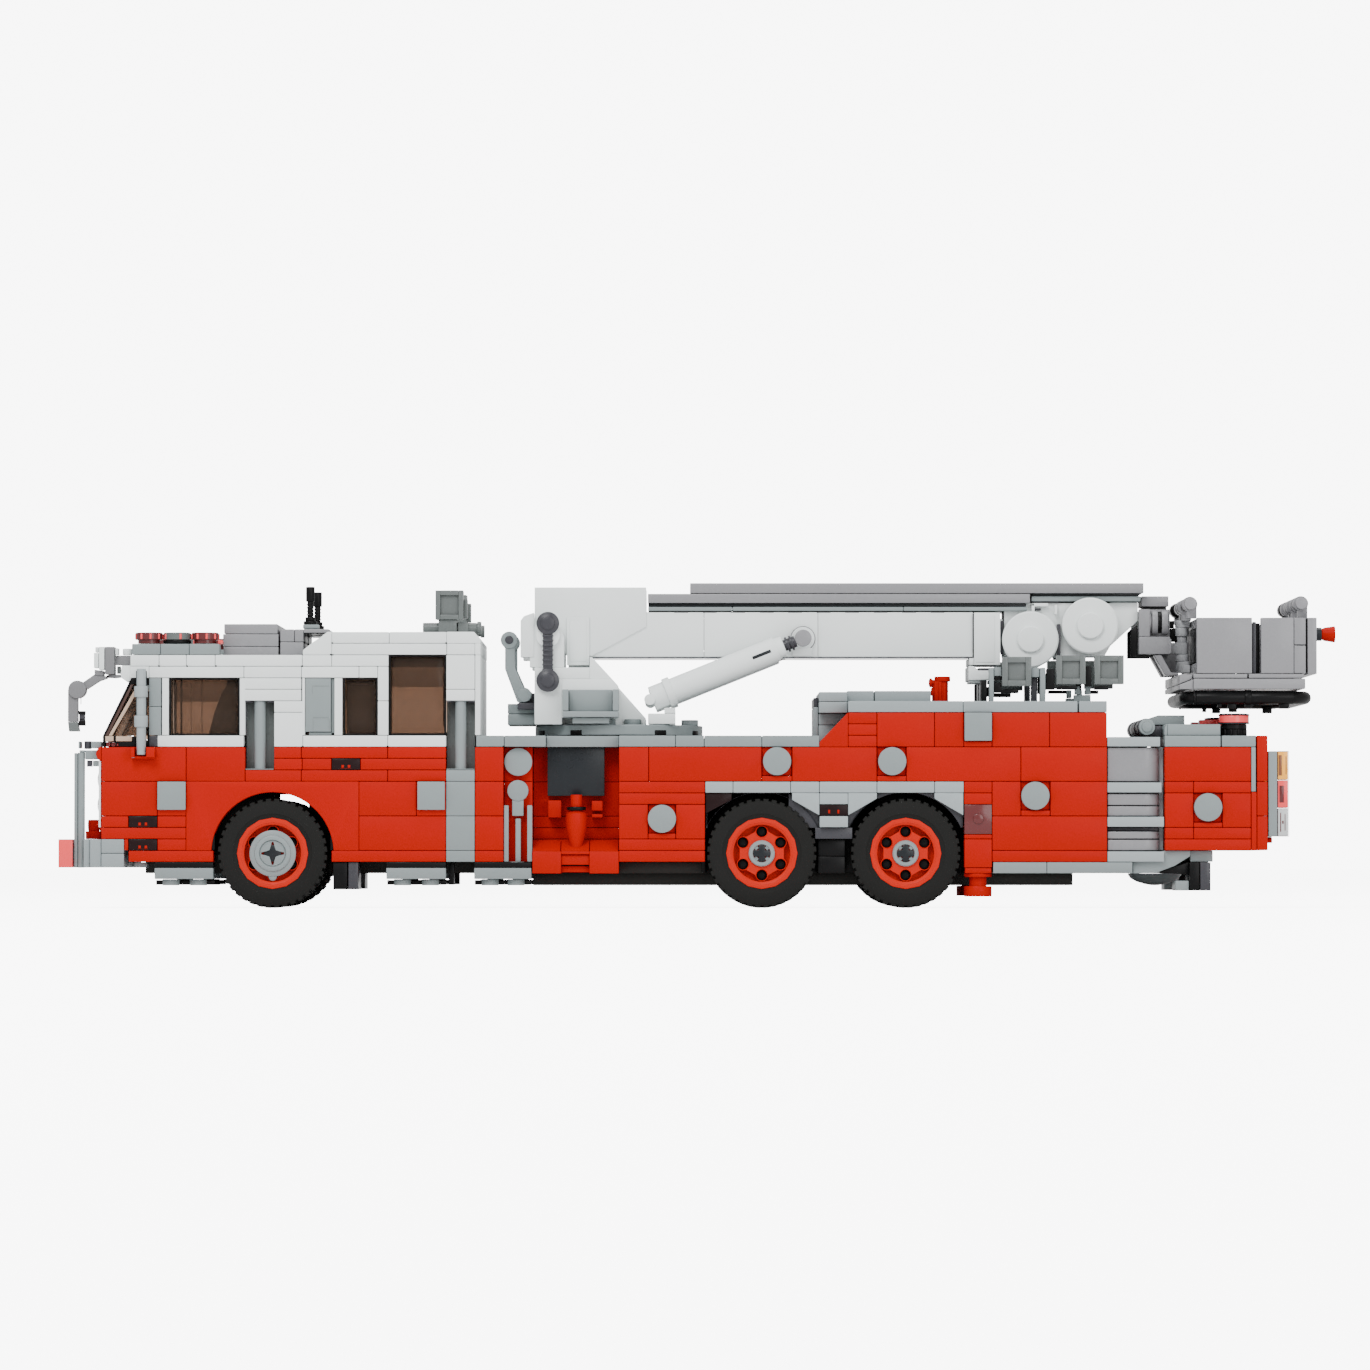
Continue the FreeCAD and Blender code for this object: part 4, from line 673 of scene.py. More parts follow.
def frameRows(spec):
    rows = []
    for n0, n1, k0, k1 in spec["openings"]:
        bar, low, high = spec["bar"], spec["back"], spec["face"]
        sill = bar * studPitch / plateHeight
        rows += [(n0, n0 + bar, low, high, k0, k1), (n1 - bar, n1, low, high, k0, k1),
                 (n0 + bar, n1 - bar, low, high, k0, k0 + sill),
                 (n0 + bar, n1 - bar, low, high, k1 - sill, k1)]
    return rows


def makeCab():
    build("cab_red_bricks", "truck", red, "red", ["cab_lower_walls"], **cabRed)
    build("cab_white_bricks", "truck", white, "white", ["cab_upper_walls"], **cabWhite)
    build("cab_roof_plates", "truck", white, "white", ["cab_roof"], **cabRoof)
    build("wheel_arch_backs", "truck", black, "black", (), **archBacks)
    build("window_frames", "truck", black, "black", (), fineEdge, sides=frameRows(windowFrames))
    build("side_panes", "truck", smoke, "smoked_glass", ["cab_side_windows"], fineEdge,
          sides=[(n0 + windowFrames["inset"], n1 - windowFrames["inset"], *windowFrames["pane"], k0, k1)
                 for n0, n1, k0, k1 in windowFrames["openings"]])
    print("cab done")


makeCab()

# The windscreen leans back over a low sill and wraps round both corners.

screen = {
    "glass": [([(-20.82, 10.95), (-19.95, 15.5), (-19.72, 15.5), (-20.55, 10.95)], 0, 3.7),
              ([(-20.5, 10.97), (-19.72, 14.85), (-19.3, 14.85), (-19.3, 10.97)], 3.86, 3.95)],
    "edges": [([(-20.9, 10.95), (-19.97, 15.75), (-19.9, 15.75), (-20.83, 10.95)], 3.3, 4.0),
              ([(-20.0, 15.45), (-19.92, 15.98), (-19.72, 15.98), (-19.78, 15.45)], 3.3, 4.0),
              ([(-20.9, 10.0), (-20.9, 10.97), (-20.83, 10.97), (-20.83, 10.0)], 3.3, 4.0),
              ([(-20.51, 10.45), (-20.51, 10.97), (-20.46, 10.97), (-20.46, 10.45)], 3.3, 3.97),
              ([(-19.87, 10.02), (-19.87, 10.93), (-19.75, 10.93), (-19.75, 10.02)], 3.3, 3.97)],
    "strip": [([(-20.83, 10.97), (-19.9, 15.6), (-19.8, 15.6), (-20.72, 10.97)], 3.3, 3.97)],
    # a cream strip inside the screen's edge: painted refraction highlight
    "creamAndGlassHighlight": [([(-20.7, 10.97), (-19.77, 15.1), (-19.72, 14.7), (-20.58, 10.97)], 3.3, 3.98)],
    "lintel": [([(-19.95, 16.0), (-19.3, 16.0), (-19.3, 17), (-19.95, 17)], 3.2, 4.0),
               ([(-19.72, 15.0), (-19.72, 16.0), (-19.3, 16.0), (-19.3, 15.0)], 3.2, 3.8)],
    "sill": [(-20.82, -20.52, 3.2, 3.99, 10.47, 10.95), (-20.45, -19.88, 3.2, 3.99, 10.47, 10.93),
             (-20.9, -19.9, 0, 3.2, 10.5, 10.95)],
    "base": [(-20.82, -20.4, 0, 3.9, 10.02, 10.44), (-20.4, -19.3, 0, 3.94, 10.02, 10.44)],
    "studs": [(-20.78, -20.64, 3.9, 4.0, 10.04, 10.42), (-20.6, -20.46, 3.9, 4.0, 10.04, 10.42),
              (-20.42, -20.36, 3.94, 3.98, 10.04, 10.3)],
}


def makeScreen():
    build("windscreen_glass", "truck", smoke, "smoked_glass", ["windscreen"], fineEdge,
          plates=screen["glass"])
    build("windscreen_lintel", "truck", white, "white", (), plates=screen["lintel"])
    build("windscreen_edges", "truck", black, "black", (), crispEdge, plates=screen["edges"],
          sides=screen["base"])
    build("windscreen_strips", "truck", smokedStrip, "dark_grey", (), fineEdge, plates=screen["strip"])
    build("windscreen_sill_and_painted_highlight", "truck", creamAndGlassHighlight, "white", (), fineEdge, plates=screen["creamAndGlassHighlight"],
          sides=screen["sill"])
    build("windscreen_corner_lamps", "truck", clearRed, "clear_red", (), fineEdge, sides=screen["studs"])
    print("windscreen done")


makeScreen()

# Grey and dark fittings on the cab's sides.

cabGrey = {
    "sides": [
        (-19.3, -18.87, 3, 4, 11, 13.5), (-19.3, -18.87, 3, 4, 13.5, 16),     # corner posts
        (-8.97, -7.97, 3, 4, 0, 1), (-8.97, -7.97, 3, 4, 1, 4), (-8.97, -7.97, 3, 4, 4, 7),
        (-8.97, -7.97, 3, 4, 7, 8),
        (-13.87, -12.97, 3, 4, 11.3, 15.98), (-12.97, -12.86, 3, 3.85, 11.2, 15.98),      # locker lid
        (-13.75, -12.95, 3, 3.9, 11.02, 11.28),
        (-15.95, -14.95, 3.35, 3.97, 8, 8.12), (-8.97, -7.97, 3.35, 3.97, 8, 8.12),       # handle recesses
    ],
    "bars": [((-15.45, 3.72, 8), (-15.45, 3.72, 14), 1.55), ((-8.47, 3.72, 8), (-8.47, 3.72, 14), 1.55)],
}
# the backs of the handle recesses: light grey bricks drawn in a darker grey as painted shade
recessShade = {
    "sides": [(-15.95, -14.95, 3, 3.35, 8, 14), (-8.97, -7.97, 3, 3.35, 8, 14)],
}
lockerLines = {
    "sides": [(-13.63, -13.02, 4.0, 4.012, 15.25, 15.31), (-13.63, -13.61, 4.0, 4.012, 14.6, 15.25),
              (-13.6, -13.04, 4.0, 4.012, 12.5, 12.56), (-13.6, -13.58, 4.0, 4.012, 11.4, 12.5),
              (-13.04, -13.02, 4.0, 4.012, 11.4, 12.5)],
}
# a dark brick under the corner post, and thin dark strips that paint the shadow under the top of each handle
# recess
cabDarkAndShade = {
    "sides": [(-19.3, -18.97, 3, 3.99, 10.02, 10.98), (-15.95, -15.72, 3.35, 3.99, 13.86, 13.98),
              (-15.2, -14.95, 3.35, 3.99, 13.86, 13.98), (-8.97, -8.74, 3.35, 3.99, 13.86, 13.98),
              (-8.22, -7.97, 3.35, 3.99, 13.86, 13.98)],
}
cabBlack = {
    "sides": [(-19.36, -19.3, 3.2, 3.95, 10, 11.7), (-19.38, -19.3, 3.2, 3.95, 15.35, 16.0),
              (-12.95, -12.88, 4.0, 4.01, 17.94, 18.06)]
             + [(n - 0.035, n + 0.035, 4.0, 4.012, k - 0.08, k + 0.08) for n, k in (
                 (-18.95, 17.02), (-17.97, 17.02), (-16.97, 17.02), (-13.97, 17.02), (-12.98, 18.02),
                 (-12.93, 19.02), (-8.97, 19.02), (-13.95, 10.03), (-11.0, 10.03), (-15.97, 10.03),
                 (-7.97, 10.03), (-6.97, 10.03))],
}
seats = {
    "sides": [(-20, -19, 0, 3, 7, 9.5), (-20, -17.1, 0, 3, 6.2, 7), (-12.9, -8.97, 0, 3, 6.2, 7),
              (-17, -15.6, 0.3, 2.6, 7, 9), (-12.42, -11.5, 1.5, 3.0, 7, 15.45),
              (-11, -8.97, 2, 3, 16.9, 17.95), (-11, -8.97, 2, 3, 7, 11.35),
              (-11, -10.85, 2, 3.2, 11.35, 16.9), (-9.15, -9.11, 2.8, 3.0, 11.9, 16.4),
              (-18.42, -18.36, 2.9, 3.1, 11.4, 15.5), (-17.9, -17.87, 2.9, 3.0, 11.4, 15.6)],
    "plates": [([(-17.33, 7), (-17.33, 11.0), (-17.1, 13.2), (-16.85, 14.8), (-16.7, 15.3), (-16.7, 15.8),
                 (-16, 15.98), (-16, 7)],
                2.2, 2.8)],
    "middleBars": [((-19.0, -1.5, 9.5), (-18.2, -1.5, 10.6), 0.8),
                   ((-18.25, -1.5, 10.5), (-18.1, -1.5, 10.8), 3.6)],
}
markers = {
    "sides": [(-20, -19, 3, 4.02, 1, 2), (-20, -19, 3, 4.02, 3, 4), (-12.95, -11.95, 3, 4.02, 8, 9)],
    "glints": [(n + a, n + b, 4.02, 4.03, k + c, k + d) for n, k in ((-20, 1), (-20, 3), (-12.95, 8))
               for a, b, c, d in ((0.34, 0.44, 0.16, 0.44), (0.56, 0.66, 0.16, 0.44), (0.3, 0.7, 0.1, 0.15))]
              + [(4 + a, 4 + b, 3.95, 3.962, 4.2, 4.55) for a, b in ((0.3, 0.38), (0.62, 0.7))],
}


def makeCabFittings():
    build("cab_grey_fittings", "truck", lightGrey, "light_grey", ["cab_side_fittings"], **cabGrey)
    build("handle_recess_walls", "truck", lampGrey, "dark_grey", (), **recessShade)
    build("locker_lines", "truck", lampGrey, "dark_grey", (), printEdge, **lockerLines)
    build("cab_dark_bricks_and_painted_shadows", "truck", darkGrey, "dark_grey", (), fineEdge, **cabDarkAndShade)
    build("brick_joint_shadows", "truck", black, "black", (), printEdge, **cabBlack)
    build("cab_seat_bricks", "truck", slate, "dark_grey", ["cab_seats"], **seats)
    build("marker_lamp_plates", "truck", lampBlack, "dark_grey", ["marker_lamps"], sides=markers["sides"])
    build("marker_lamp_glints", "truck", red, "red", (), printEdge, sides=markers["glints"])
    print("cab fittings done")


makeCabFittings()

# Front end: bumper, post, handrails, grille, couplings, valve, headlamps and mirror.

bumper = {
    "sides": [(-21.58, -21.35, 0, 2, -0.5, 2), (-21.58, -21.35, 2, 3.85, -0.5, 2),
              (-21.35, -20.95, 0, 2, -0.5, 2), (-21.35, -20.95, 2, 3.95, -0.5, 2),
              (-20.95, -20.15, 3, 4, -0.5, 0.75), (-20.95, -20.15, 3, 4, 0.75, 2),
              (-20.95, -20.15, 0, 3, -0.5, 2), (-19.85, -19.4, 2.2, 3.2, -0.5, 0),
              (-21.96, -21.56, 2.95, 3.34, -0.45, 1.95)],
}
frontRails = {
    "sides": [(-19.88, -19.75, 4.0, 4.4, 9.0, 9.95)],
    "blocks": [   # the post stands on the left only
        (-21.93, -21.8, -3.62, -3.38, -0.5, 9.5), (-22.14, -21.93, -3.64, -3.36, 0.2, 1.18),
        (-21.59, -21.47, -3.64, -3.36, 0.2, 1.18), (-21.77, -21.69, -3.8, -3.2, 9.85, 10.5),
        (-21.33, -20.95, -3.8, -3.2, 9.87, 10.5), (-21.75, -21.53, -3.62, -3.38, 9.5, 9.75),
        (-21.54, -21.0, -3.7, -3.3, 8.9, 9.74), (-21.28, -20.97, -3.65, -3.35, 8.3, 8.84),
    ],
    "middleBars": [((-21.68, -3.5, -0.5), (-21.68, -3.5, 9.52), 1.05)],
}
railEdges = [(n0, n1, 4.2, 4.3, k0, k1) for n0, n1 in ((-19.735, -19.69), (-19.39, -19.345))
             for k0, k1 in ((15.27, 16.6), (12.72, 14.28))]
handrails = [((-19.54, 4.3, 9.3), (-19.54, 4.3, 16.75), 1.3),
             ((-19.55, 4.3, 14.3), (-19.55, 4.3, 15.25), 1.9),
             ((-19.55, 4.3, 11.7), (-19.55, 4.3, 12.7), 1.9)]
railClips = {
    "sides": [(-19.9, -19.05, 4.0, 4.12, 9, 10), (-19.9, -19.75, 4.12, 4.5, 9.05, 9.97),
              (-19.36, -19.05, 4.12, 4.5, 9.05, 9.97), (-19.9, -19.05, 4.12, 4.3, 8.95, 9.2)],
}
postClips = {
    "blocks": [(-21.49, -21.29, -3.6, -3.4, 8.27, 8.86), (-21.69, -21.66, -3.75, -3.25, 9.87, 10.48),
               (-21.95, -21.93, -3.66, -3.34, 0.15, 1.22), (-21.61, -21.59, -3.66, -3.34, 0.15, 1.22)],
    "middleBars": [((-21.45, -3.5, 9.82), (-21.45, -3.5, 10.52), 1.05)],
}
grille = {
    "sides": [(-21.0, -20.95, 0, 1.9, 3, 9), (-21.06, -21.0, 1.5, 1.9, 3, 9),
              (-21.05, -20.96, 3.0, 3.95, 3, 8.8)]
             + [(-21.06, -21.0, 0, 1.5, 3 + 1.2 * i, 3.85 + 1.2 * i) for i in range(5)],
}
couplings = {
    "bars": [((-21.32, 2.55, 2), (-21.32, 2.55, 2.7), 2.3), ((-21.32, 2.55, 2.7), (-21.32, 2.55, 3.7), 1.6),
             ((-21.52, 2.55, 3.2), (-21.12, 2.55, 3.2), 1.5)],
}
valve = {
    "middleBars": [((8.3, -1, 14), (8.3, -1, 15.9), 1.9), ((8.38, -1, 15.85), (8.38, -1, 16.3), 2.25),
                   ((7.9, -1, 15.75), (8.2, -1, 15.75), 0.9), ((7.92, -1, 15.75), (8.02, -1, 15.75), 1.3),
                   ((8.1, -1, 14.6), (8.1, -1, 15.3), 1.0)]
                  + [((8.3 + 0.22 * math.cos(a), -1 + 0.22 * math.sin(a), 14),
                      (8.3 + 0.22 * math.cos(a), -1 + 0.22 * math.sin(a), 15.85), 0.55)
                     for a in (math.tau * i / 8 for i in range(8))],
}
mirrors = {   # one mirror, on the left: slabs of (n, k) corners and blocks
    "slabs": [
        ([(-22.14, 12.2), (-22.14, 15.0), (-21.79, 15.0), (-21.79, 12.2)], -3.7, -3.3),
        ([(-21.66, 15.54), (-21.22, 16.31), (-20.84, 16.17), (-20.77, 15.96), (-21.04, 15.72),
          (-21.47, 15.02)], -3.75, -3.25),
        ([(-21.21, 16.25), (-21.21, 16.72), (-20.89, 16.62), (-20.89, 16.2)], -3.8, -3.2),
        ([(-20.78, 16.02), (-20.74, 16.3), (-20.28, 16.3), (-20.28, 16.05), (-20.5, 15.98)], -3.7, -3.3),
    ],
    "blocks": [(-20.84, -20.5, -3.95, -3.05, 16.3, 18.72), (-20.48, -19.95, -3.7, -3.3, 17.1, 17.98)],
    "middleBars": [((-21.81, -3.82, 15.0), (-21.81, -3.18, 15.0), 2.5)],
}
mirrorPale = {
    "blocks": [(-21.23, -21.06, -3.9, -3.1, 16.85, 18.2), (-21.05, -20.85, -3.95, -3.05, 16.68, 18.72),
               (-21.19, -21.06, -3.8, -3.2, 18.22, 18.7), (-20.49, -20.38, -3.85, -3.15, 18.0, 18.6)],
    "middleBars": [((-20.08, -3.5, 18.0), (-20.08, -3.5, 18.56), 1.35)],
    "slabs": [([(-20.25, 17.08), (-20.29, 16.3), (-20.27, 16.0), (-20.05, 15.62), (-19.92, 15.6),
                (-19.9, 17.08)], -3.9, -3.1)],
}
mirrorDark = {
    "slabs": [([(-22.14, 12.18), (-22.1, 11.35), (-21.73, 11.35), (-21.79, 12.18)], -3.7, -3.3)],
    "blocks": [(-20.45, -20.3, -3.6, -3.4, 16.35, 17.05)],
}
mirrorBlack = {
    "blocks": [(-21.765, -21.54, -3.75, -3.25, 12.82, 13.15), (-21.76, -21.55, -3.7, -3.3, 12.36, 12.48),
               (-21.765, -21.54, -3.75, -3.25, 11.84, 12.3), (-21.72, -21.68, -3.55, -3.45, 13.7, 14.4)],
    "slabs": [([(-21.68, 15.5), (-21.64, 15.52), (-21.46, 15.08), (-21.5, 15.0)], -3.72, -3.28)],
    "middleBars": [((-20.76, -3.78, 16.12), (-20.76, -3.22, 16.12), 0.35)],
}
mirrorStem = {"blocks": [(-21.755, -21.55, -3.68, -3.32, 11.9, 13.1)]}


headlamp = {
    "n": -20.95, "m": 2.45, "heights": (5.0, 7.2),
    "profile": [(0, 0), (0, 3.0), (0.9, 3.0), (1.25, 2.8), (1.7, 1.9), (1.95, 0.9), (2.0, 0)],
}


def headlamps(work):
    for side in (-1, 1):
        for k in headlamp["heights"]:
            start = spot(headlamp["n"], side * headlamp["m"], k)
            addTurned(work, start, (-1, 0, 0), inMetres(headlamp["profile"]), 36)


def makeFront():
    build("bumper_bricks", "truck", deckGrey, "light_grey", ["front_bumper"], **bumper)
    build("front_rail_parts", "truck", lightGrey, "light_grey", ["front_rails"], **frontRails)
    build("handrail_shadows", "truck", slate, "dark_grey", (), hairEdge, sides=railEdges)
    build("cab_handrails", "truck", paleGrey, "light_grey", (), bars=handrails)
    build("rail_clips", "truck", red, "red", (), fineEdge, **railClips)
    build("post_clips", "truck", darkGrey, "dark_grey", (), fineEdge, **postClips)
    build("grille_louvres", "truck", white, "white", ["grille"], fineEdge, **grille)
    build("coupling_parts", "truck", red, "red", ["hose_couplings"], fineEdge, bars=couplings["bars"],
          middleBars=valve["middleBars"])
    build("mirror_arm_parts", "truck", armGrey, "light_grey", ["mirror_arm"], slimEdge, **mirrors)
    build("mirror_pale_parts", "truck", white, "white", (), slimEdge, **mirrorPale)
    build("mirror_dark_parts", "truck", lampGrey, "dark_grey", (), slimEdge, **mirrorDark)
    build("mirror_clip_rings", "truck", black, "black", (), crispEdge, **mirrorBlack)
    build("mirror_clip_stem", "truck", darkGrey, "dark_grey", (), crispEdge, **mirrorStem)
    build("headlamp_lenses", "truck", clear, "clear", (), fineEdge, extras=[headlamps])
    print("front done")


makeFront()

# Roof: lamp bars, the equipment unit, aerials and search lamps.

roofUnit = {
    "sides": [
        (-19.9, -18.9, 3, 4, 18, 18.97), (-18.9, -17.9, 3, 4, 18, 18.97), (-17.9, -16.85, 3, 4, 18, 18.97),
        (-14.02, -13.45, 2.2, 2.8, 20.35, 20.75),
    ],
}
roofBox = {
    "sides": [
        (-16.78, -14.85, 1.5, 3, 18, 18.8), (-16.78, -14.85, 0, 1.5, 18, 18.8),
        (-16.8, -14.85, 0, 3, 18.8, 19.9), (-16.76, -14.88, 0, 3, 19.9, 20.78),
        (-14.8, -13.98, 0, 3, 18, 19.2), (-14.8, -14.3, 0, 3, 19.2, 20.32),
        (-14.3, -13.98, 0, 3, 19.2, 20.32),
    ],
    "plates": [([(-13.98, 20), (-12.97, 20), (-13.1, 20.32), (-13.98, 20.32)], 0, 3)],
}
aerials = {
    "bars": [((-13.77, 2.5, 20.75), (-13.77, 2.5, 21.05), 1.9),
             ((-13.77, 2.5, 21.05), (-13.77, 2.5, 21.4), 1.4),
             ((-13.77, 2.5, 21.4), (-13.77, 2.5, 22.8), 0.85),
             ((-13.77, 2.5, 22.75), (-13.77, 2.5, 24.05), 1.25)]
            + [((-13.77, 2.5, 21.55 + 0.3 * i), (-13.77, 2.5, 21.68 + 0.3 * i), 1.05) for i in range(4)],
}
searchBars = {
    "bars": [((-9.85, 2, 20.5), (-7.95, 2, 20.5), 1.45), ((-7.95, 2, 20.5), (-7.8, 2, 20.5), 1.75)],
    "sides": [(-9.3, -8.65, 1.6, 2.4, 20.0, 21.2)],
}
searchHeads = {
    "frames": [(-9.4, -8.42, 1.5, 2.5, 21.2, 23.75)],
    "sides": [(-8.62, -8.25, 1.7, 2.3, 20.02, 21.0), (-8.42, -8.27, 1.75, 2.25, 21.3, 23.0)],
}


def lampHeads(work, rows, inset=0.17, depth=0.12):
    # Square lamp bodies whose faces, out to the sides, are sunk inside a rim
    for n0, n1, m0, m1, k0, k1 in rows:
        rise = inset * studPitch / plateHeight
        addBothSides(work, n0, n1, m0, m1 - depth, k0, k1)
        for row in ((n0, n0 + inset, k0, k1), (n1 - inset, n1, k0, k1),
                    (n0 + inset, n1 - inset, k0, k0 + rise), (n0 + inset, n1 - inset, k1 - rise, k1)):
            addBothSides(work, row[0], row[1], m1 - depth, m1, row[2], row[3], 0)


roofLamp = {
    "red": [(-19.33, 3.5, 19), (-17.38, 3.5, 19)], "clear": [(-18.35, 3.5, 19)],
    "end": [(-16.92, -16.75, 3.2, 3.8, 18.97, 19.3)],
    "profile": [(0.02, 0), (0.02, 3.1), (1.0, 3.1), (1.05, 3.68), (1.2, 3.8), (2.85, 3.8), (3.03, 3.65),
                (3.06, 3.4), (3.06, 0)],
    "ribRing": 3.72, "ribFoot": 1.2, "ribLength": 1.5, "ribRadius": 0.34, "band": (0.95, 3.95),
}


def roofLamps(work, rows):
    # round clear plates with a grooved foot
    for row in rows:
        addTurnedPair(work, *row, inMetres(roofLamp["profile"]), 48)


# thin bars in the bright lamp red round each lamp: painted highlights on the maroon lamps' facets, and
# painted red glints on the clear lamp
def paintedHighlightRibs(work, rows, count):
    rib = rounded(roofLamp["ribLength"] * millimetre, roofLamp["ribRadius"] * millimetre, crispEdge)
    ring = roofLamp["ribRing"]
    for n, m, k in rows:
        for side in (-1, 1):
            for index in range(count):
                turn = math.tau * index / count
                out = Vector((ring * math.cos(turn), ring * math.sin(turn), roofLamp["ribFoot"])) * millimetre
                addTurned(work, spot(n, side * m, k) + out, (0, 0, 1), rib, 10)


def lampBands(work, rows):
    height, radius = roofLamp["band"]
    for row in rows:
        addTurnedPair(work, *row, rounded(height * millimetre, radius * millimetre), 40)


def makeRoof():
    build("roof_lamp_bars", "truck", lightGrey, "light_grey", ["roof_equipment"], **roofUnit)
    build("roof_unit_bricks", "truck", midGrey, "light_grey", (), **roofBox)
    build("aerial_parts", "truck", black, "black", ["aerials_and_searchlights"], fineEdge, **aerials)
    build("search_lamp_bars", "truck", lampGrey, "dark_grey", (), fineEdge, **searchBars)
    build("search_lamp_heads", "truck", lampGrey, "dark_grey", (), smallEdge, sides=searchHeads["sides"],
          extras=[lambda work: lampHeads(work, searchHeads["frames"])])
    build("roof_lamps_red", "truck", lampMaroon, "clear_red", (), fineEdge,
          extras=[lambda work: roofLamps(work, roofLamp["red"])])
    build("roof_lamp_end_and_painted_highlight_ribs", "truck", lampRed, "clear_red", (), fineEdge,
          sides=roofLamp["end"], extras=[lambda work: paintedHighlightRibs(work, roofLamp["red"], 9),
                                         lambda work: paintedHighlightRibs(work, roofLamp["clear"], 5)])
    build("roof_lamp_bands", "truck", black, "black", (), fineEdge,
          extras=[lambda work: lampBands(work, roofLamp["clear"])])
    build("roof_lamps_clear", "truck", lampGrey, "clear", (), fineEdge,
          extras=[lambda work: roofLamps(work, roofLamp["clear"])])
    print("roof done")


makeRoof()

# Amidships: red walls, the lever recess, the outrigger bay and the tiled deck.

midRed = {
    "sides": [
        (-7.97, -6.97, 3, 4, 0, 1), (-7.97, -6.97, 3, 4, 1, 4), (-7.97, -6.97, 3, 4, 4, 7),
        (-7.97, -6.97, 3, 4, 7, 10), (-2.97, 0.03, 3, 4, 0, 1), (-2.97, 0.03, 3, 4, 1, 2),
        (-2.97, -1.95, 3, 4, 2, 5), (-0.99, 0.03, 3, 4, 2, 5), (-1.95, -0.99, 3, 4, 2, 2.5),
        (-1.95, -0.99, 3, 3.85, 2.5, 5), (-2.97, 0.03, 3, 4, 5, 6), (-2.97, 0.03, 3, 4, 6, 7),
        (-2.97, -1.93, 3, 4, 7, 10), (-1.93, 2.0, 3, 4, 7, 10), (2.0, 3.05, 3, 4, 7, 7.5),
        (2.0, 3.05, 3, 3.85, 7.5, 10), (3.05, 6.0, 3, 4, 7, 10), (6.0, 7.02, 3, 4, 7, 7.5),
        (6.0, 7.02, 3, 3.85, 7.5, 10), (7.02, 11.0, 3, 4, 7, 10), (11.0, 14.0, 3, 4, 7, 10),
        (9.02, 10, 3, 4, 6, 7), (9.02, 10, 3, 4, 5, 6), (10, 11, 3, 4, 4, 7), (11, 12.02, 3, 4, 4, 4.5),
        (11, 12.02, 3, 3.85, 4.5, 7), (12.02, 14, 3, 4, 4, 7), (10, 14, 3, 4, 1, 4),
        (10, 14, 3, 4, 0, 1), (9.2, 14, 2.6, 3, 1, 7), (-2.9, 0, 2.6, 3.0, 0.02, 7),
    ],
}
bayRed = {
    "sides": [
        (-6.97, -5.97, 3, 3.5, 0, 7), (-6.97, -5.97, 3, 3.5, 7, 10), (-5.97, -2.97, 2, 2.5, 0, 2),
        (-5.97, -2.97, 2, 2.5, 2, 3), (-5.97, -2.97, 2, 2.5, 3, 4), (-5.97, -2.97, 2, 2.5, 4, 7),
        (-5.97, -2.97, 2, 2.5, 7, 10), (-6.47, -5.97, 2, 3, 0, 10), (-2.97, -2.47, 2, 3, 0, 10),
        (-5.45, -4.97, 2.5, 3.1, 3.85, 5.4), (-3.93, -3.53, 2.5, 3.1, 3.85, 4.2),
        (-3.93, -3.53, 2.5, 3.15, 4.45, 5.35),
    ],
    "plates": [
        ([(-5.97, -1), (-4.97, -1), (-4.97, 0.95), (-5.97, 0.95)], 2.2, 4),
        ([(-3.99, -1), (-2.97, -1), (-2.97, 0.95), (-3.99, 0.95)], 2.2, 4),
        ([(-4.97, -0.25), (-3.99, -0.25), (-3.99, 0.6), (-4.97, 0.6)], 2.2, 3.9),
        ([(-4.97, -0.9), (-3.99, -0.9), (-3.99, -0.35), (-4.97, -0.35)], 2.2, 3.7),
        ([(-4.97, 0.65), (-3.99, 0.65), (-3.99, 0.95), (-4.97, 0.95)], 2.2, 4),
    ],
}
outriggers = {  # turned profile of each jack, (height in plates, radius in mm)
    "n": -4.45, "m": 3.5,
    "profile": [(1.0, 0), (1.0, 1.3), (1.1, 1.6), (1.5, 1.75), (2.2, 2.3), (3.0, 2.85), (3.8, 2.95),
                (4.2, 2.75), (4.45, 2.0), (4.5, 1.6), (5.85, 1.6), (5.85, 0)],
    "band": [(4.5, 1.2), (4.5, 2.6), (4.56, 2.7), (4.74, 2.7), (4.8, 2.6), (4.8, 1.2)],
}
bayFoot = {   # k, m of the sloping step, and the n of its three bricks
    "slope": [(0.95, 4.0), (1.9, 3.1), (1.9, 2.5), (0.95, 2.5)],
    "spans": ((-5.97, -4.98), (-4.98, -3.98), (-3.98, -2.97)),
}
panels = {
    "sides": [(-5.47, -3.47, 2.5, 2.95, 5.75, 10.72), (-5.47, -3.47, 2.95, 3.05, 5.75, 10.72)],
}
levers = {
    "sides": [(-6.97, -6.79, 3.5, 3.93, 0, 4.95), (-6.16, -5.97, 3.5, 3.93, 0, 4.95),
              (-6.57, -6.37, 3.55, 3.8, 0, 3.8)],
    "plates": [([(-6.68, 4.0), (-6.28, 4.0), (-6.28, 5.4), (-6.68, 5.4)], 3.52, 3.8)],
    "discs": [(-6.48, 6.2, 2.95, 28, 30.6), (-6.47, 8.7, 3.9, 28.6, 29.9)],
}
sideTiles = {
    "discs": [(-1.47, 3.75, 3.93, 30.8, 33.15), (2.53, 8.75, 3.93, 30.8, 33.15),
              (6.53, 8.75, 3.93, 30.8, 33.15), (11.5, 5.75, 3.93, 30.8, 33.15),
              (17.5, 4.75, 3.93, 30.8, 33.15)],
    "sides": [(-19, -18, 4.0, 4.15, 4.5, 7), (-9.97, -9.0, 4.0, 4.15, 4.5, 7),
              (9.03, 10, 4.0, 4.15, 10.5, 13)],
}
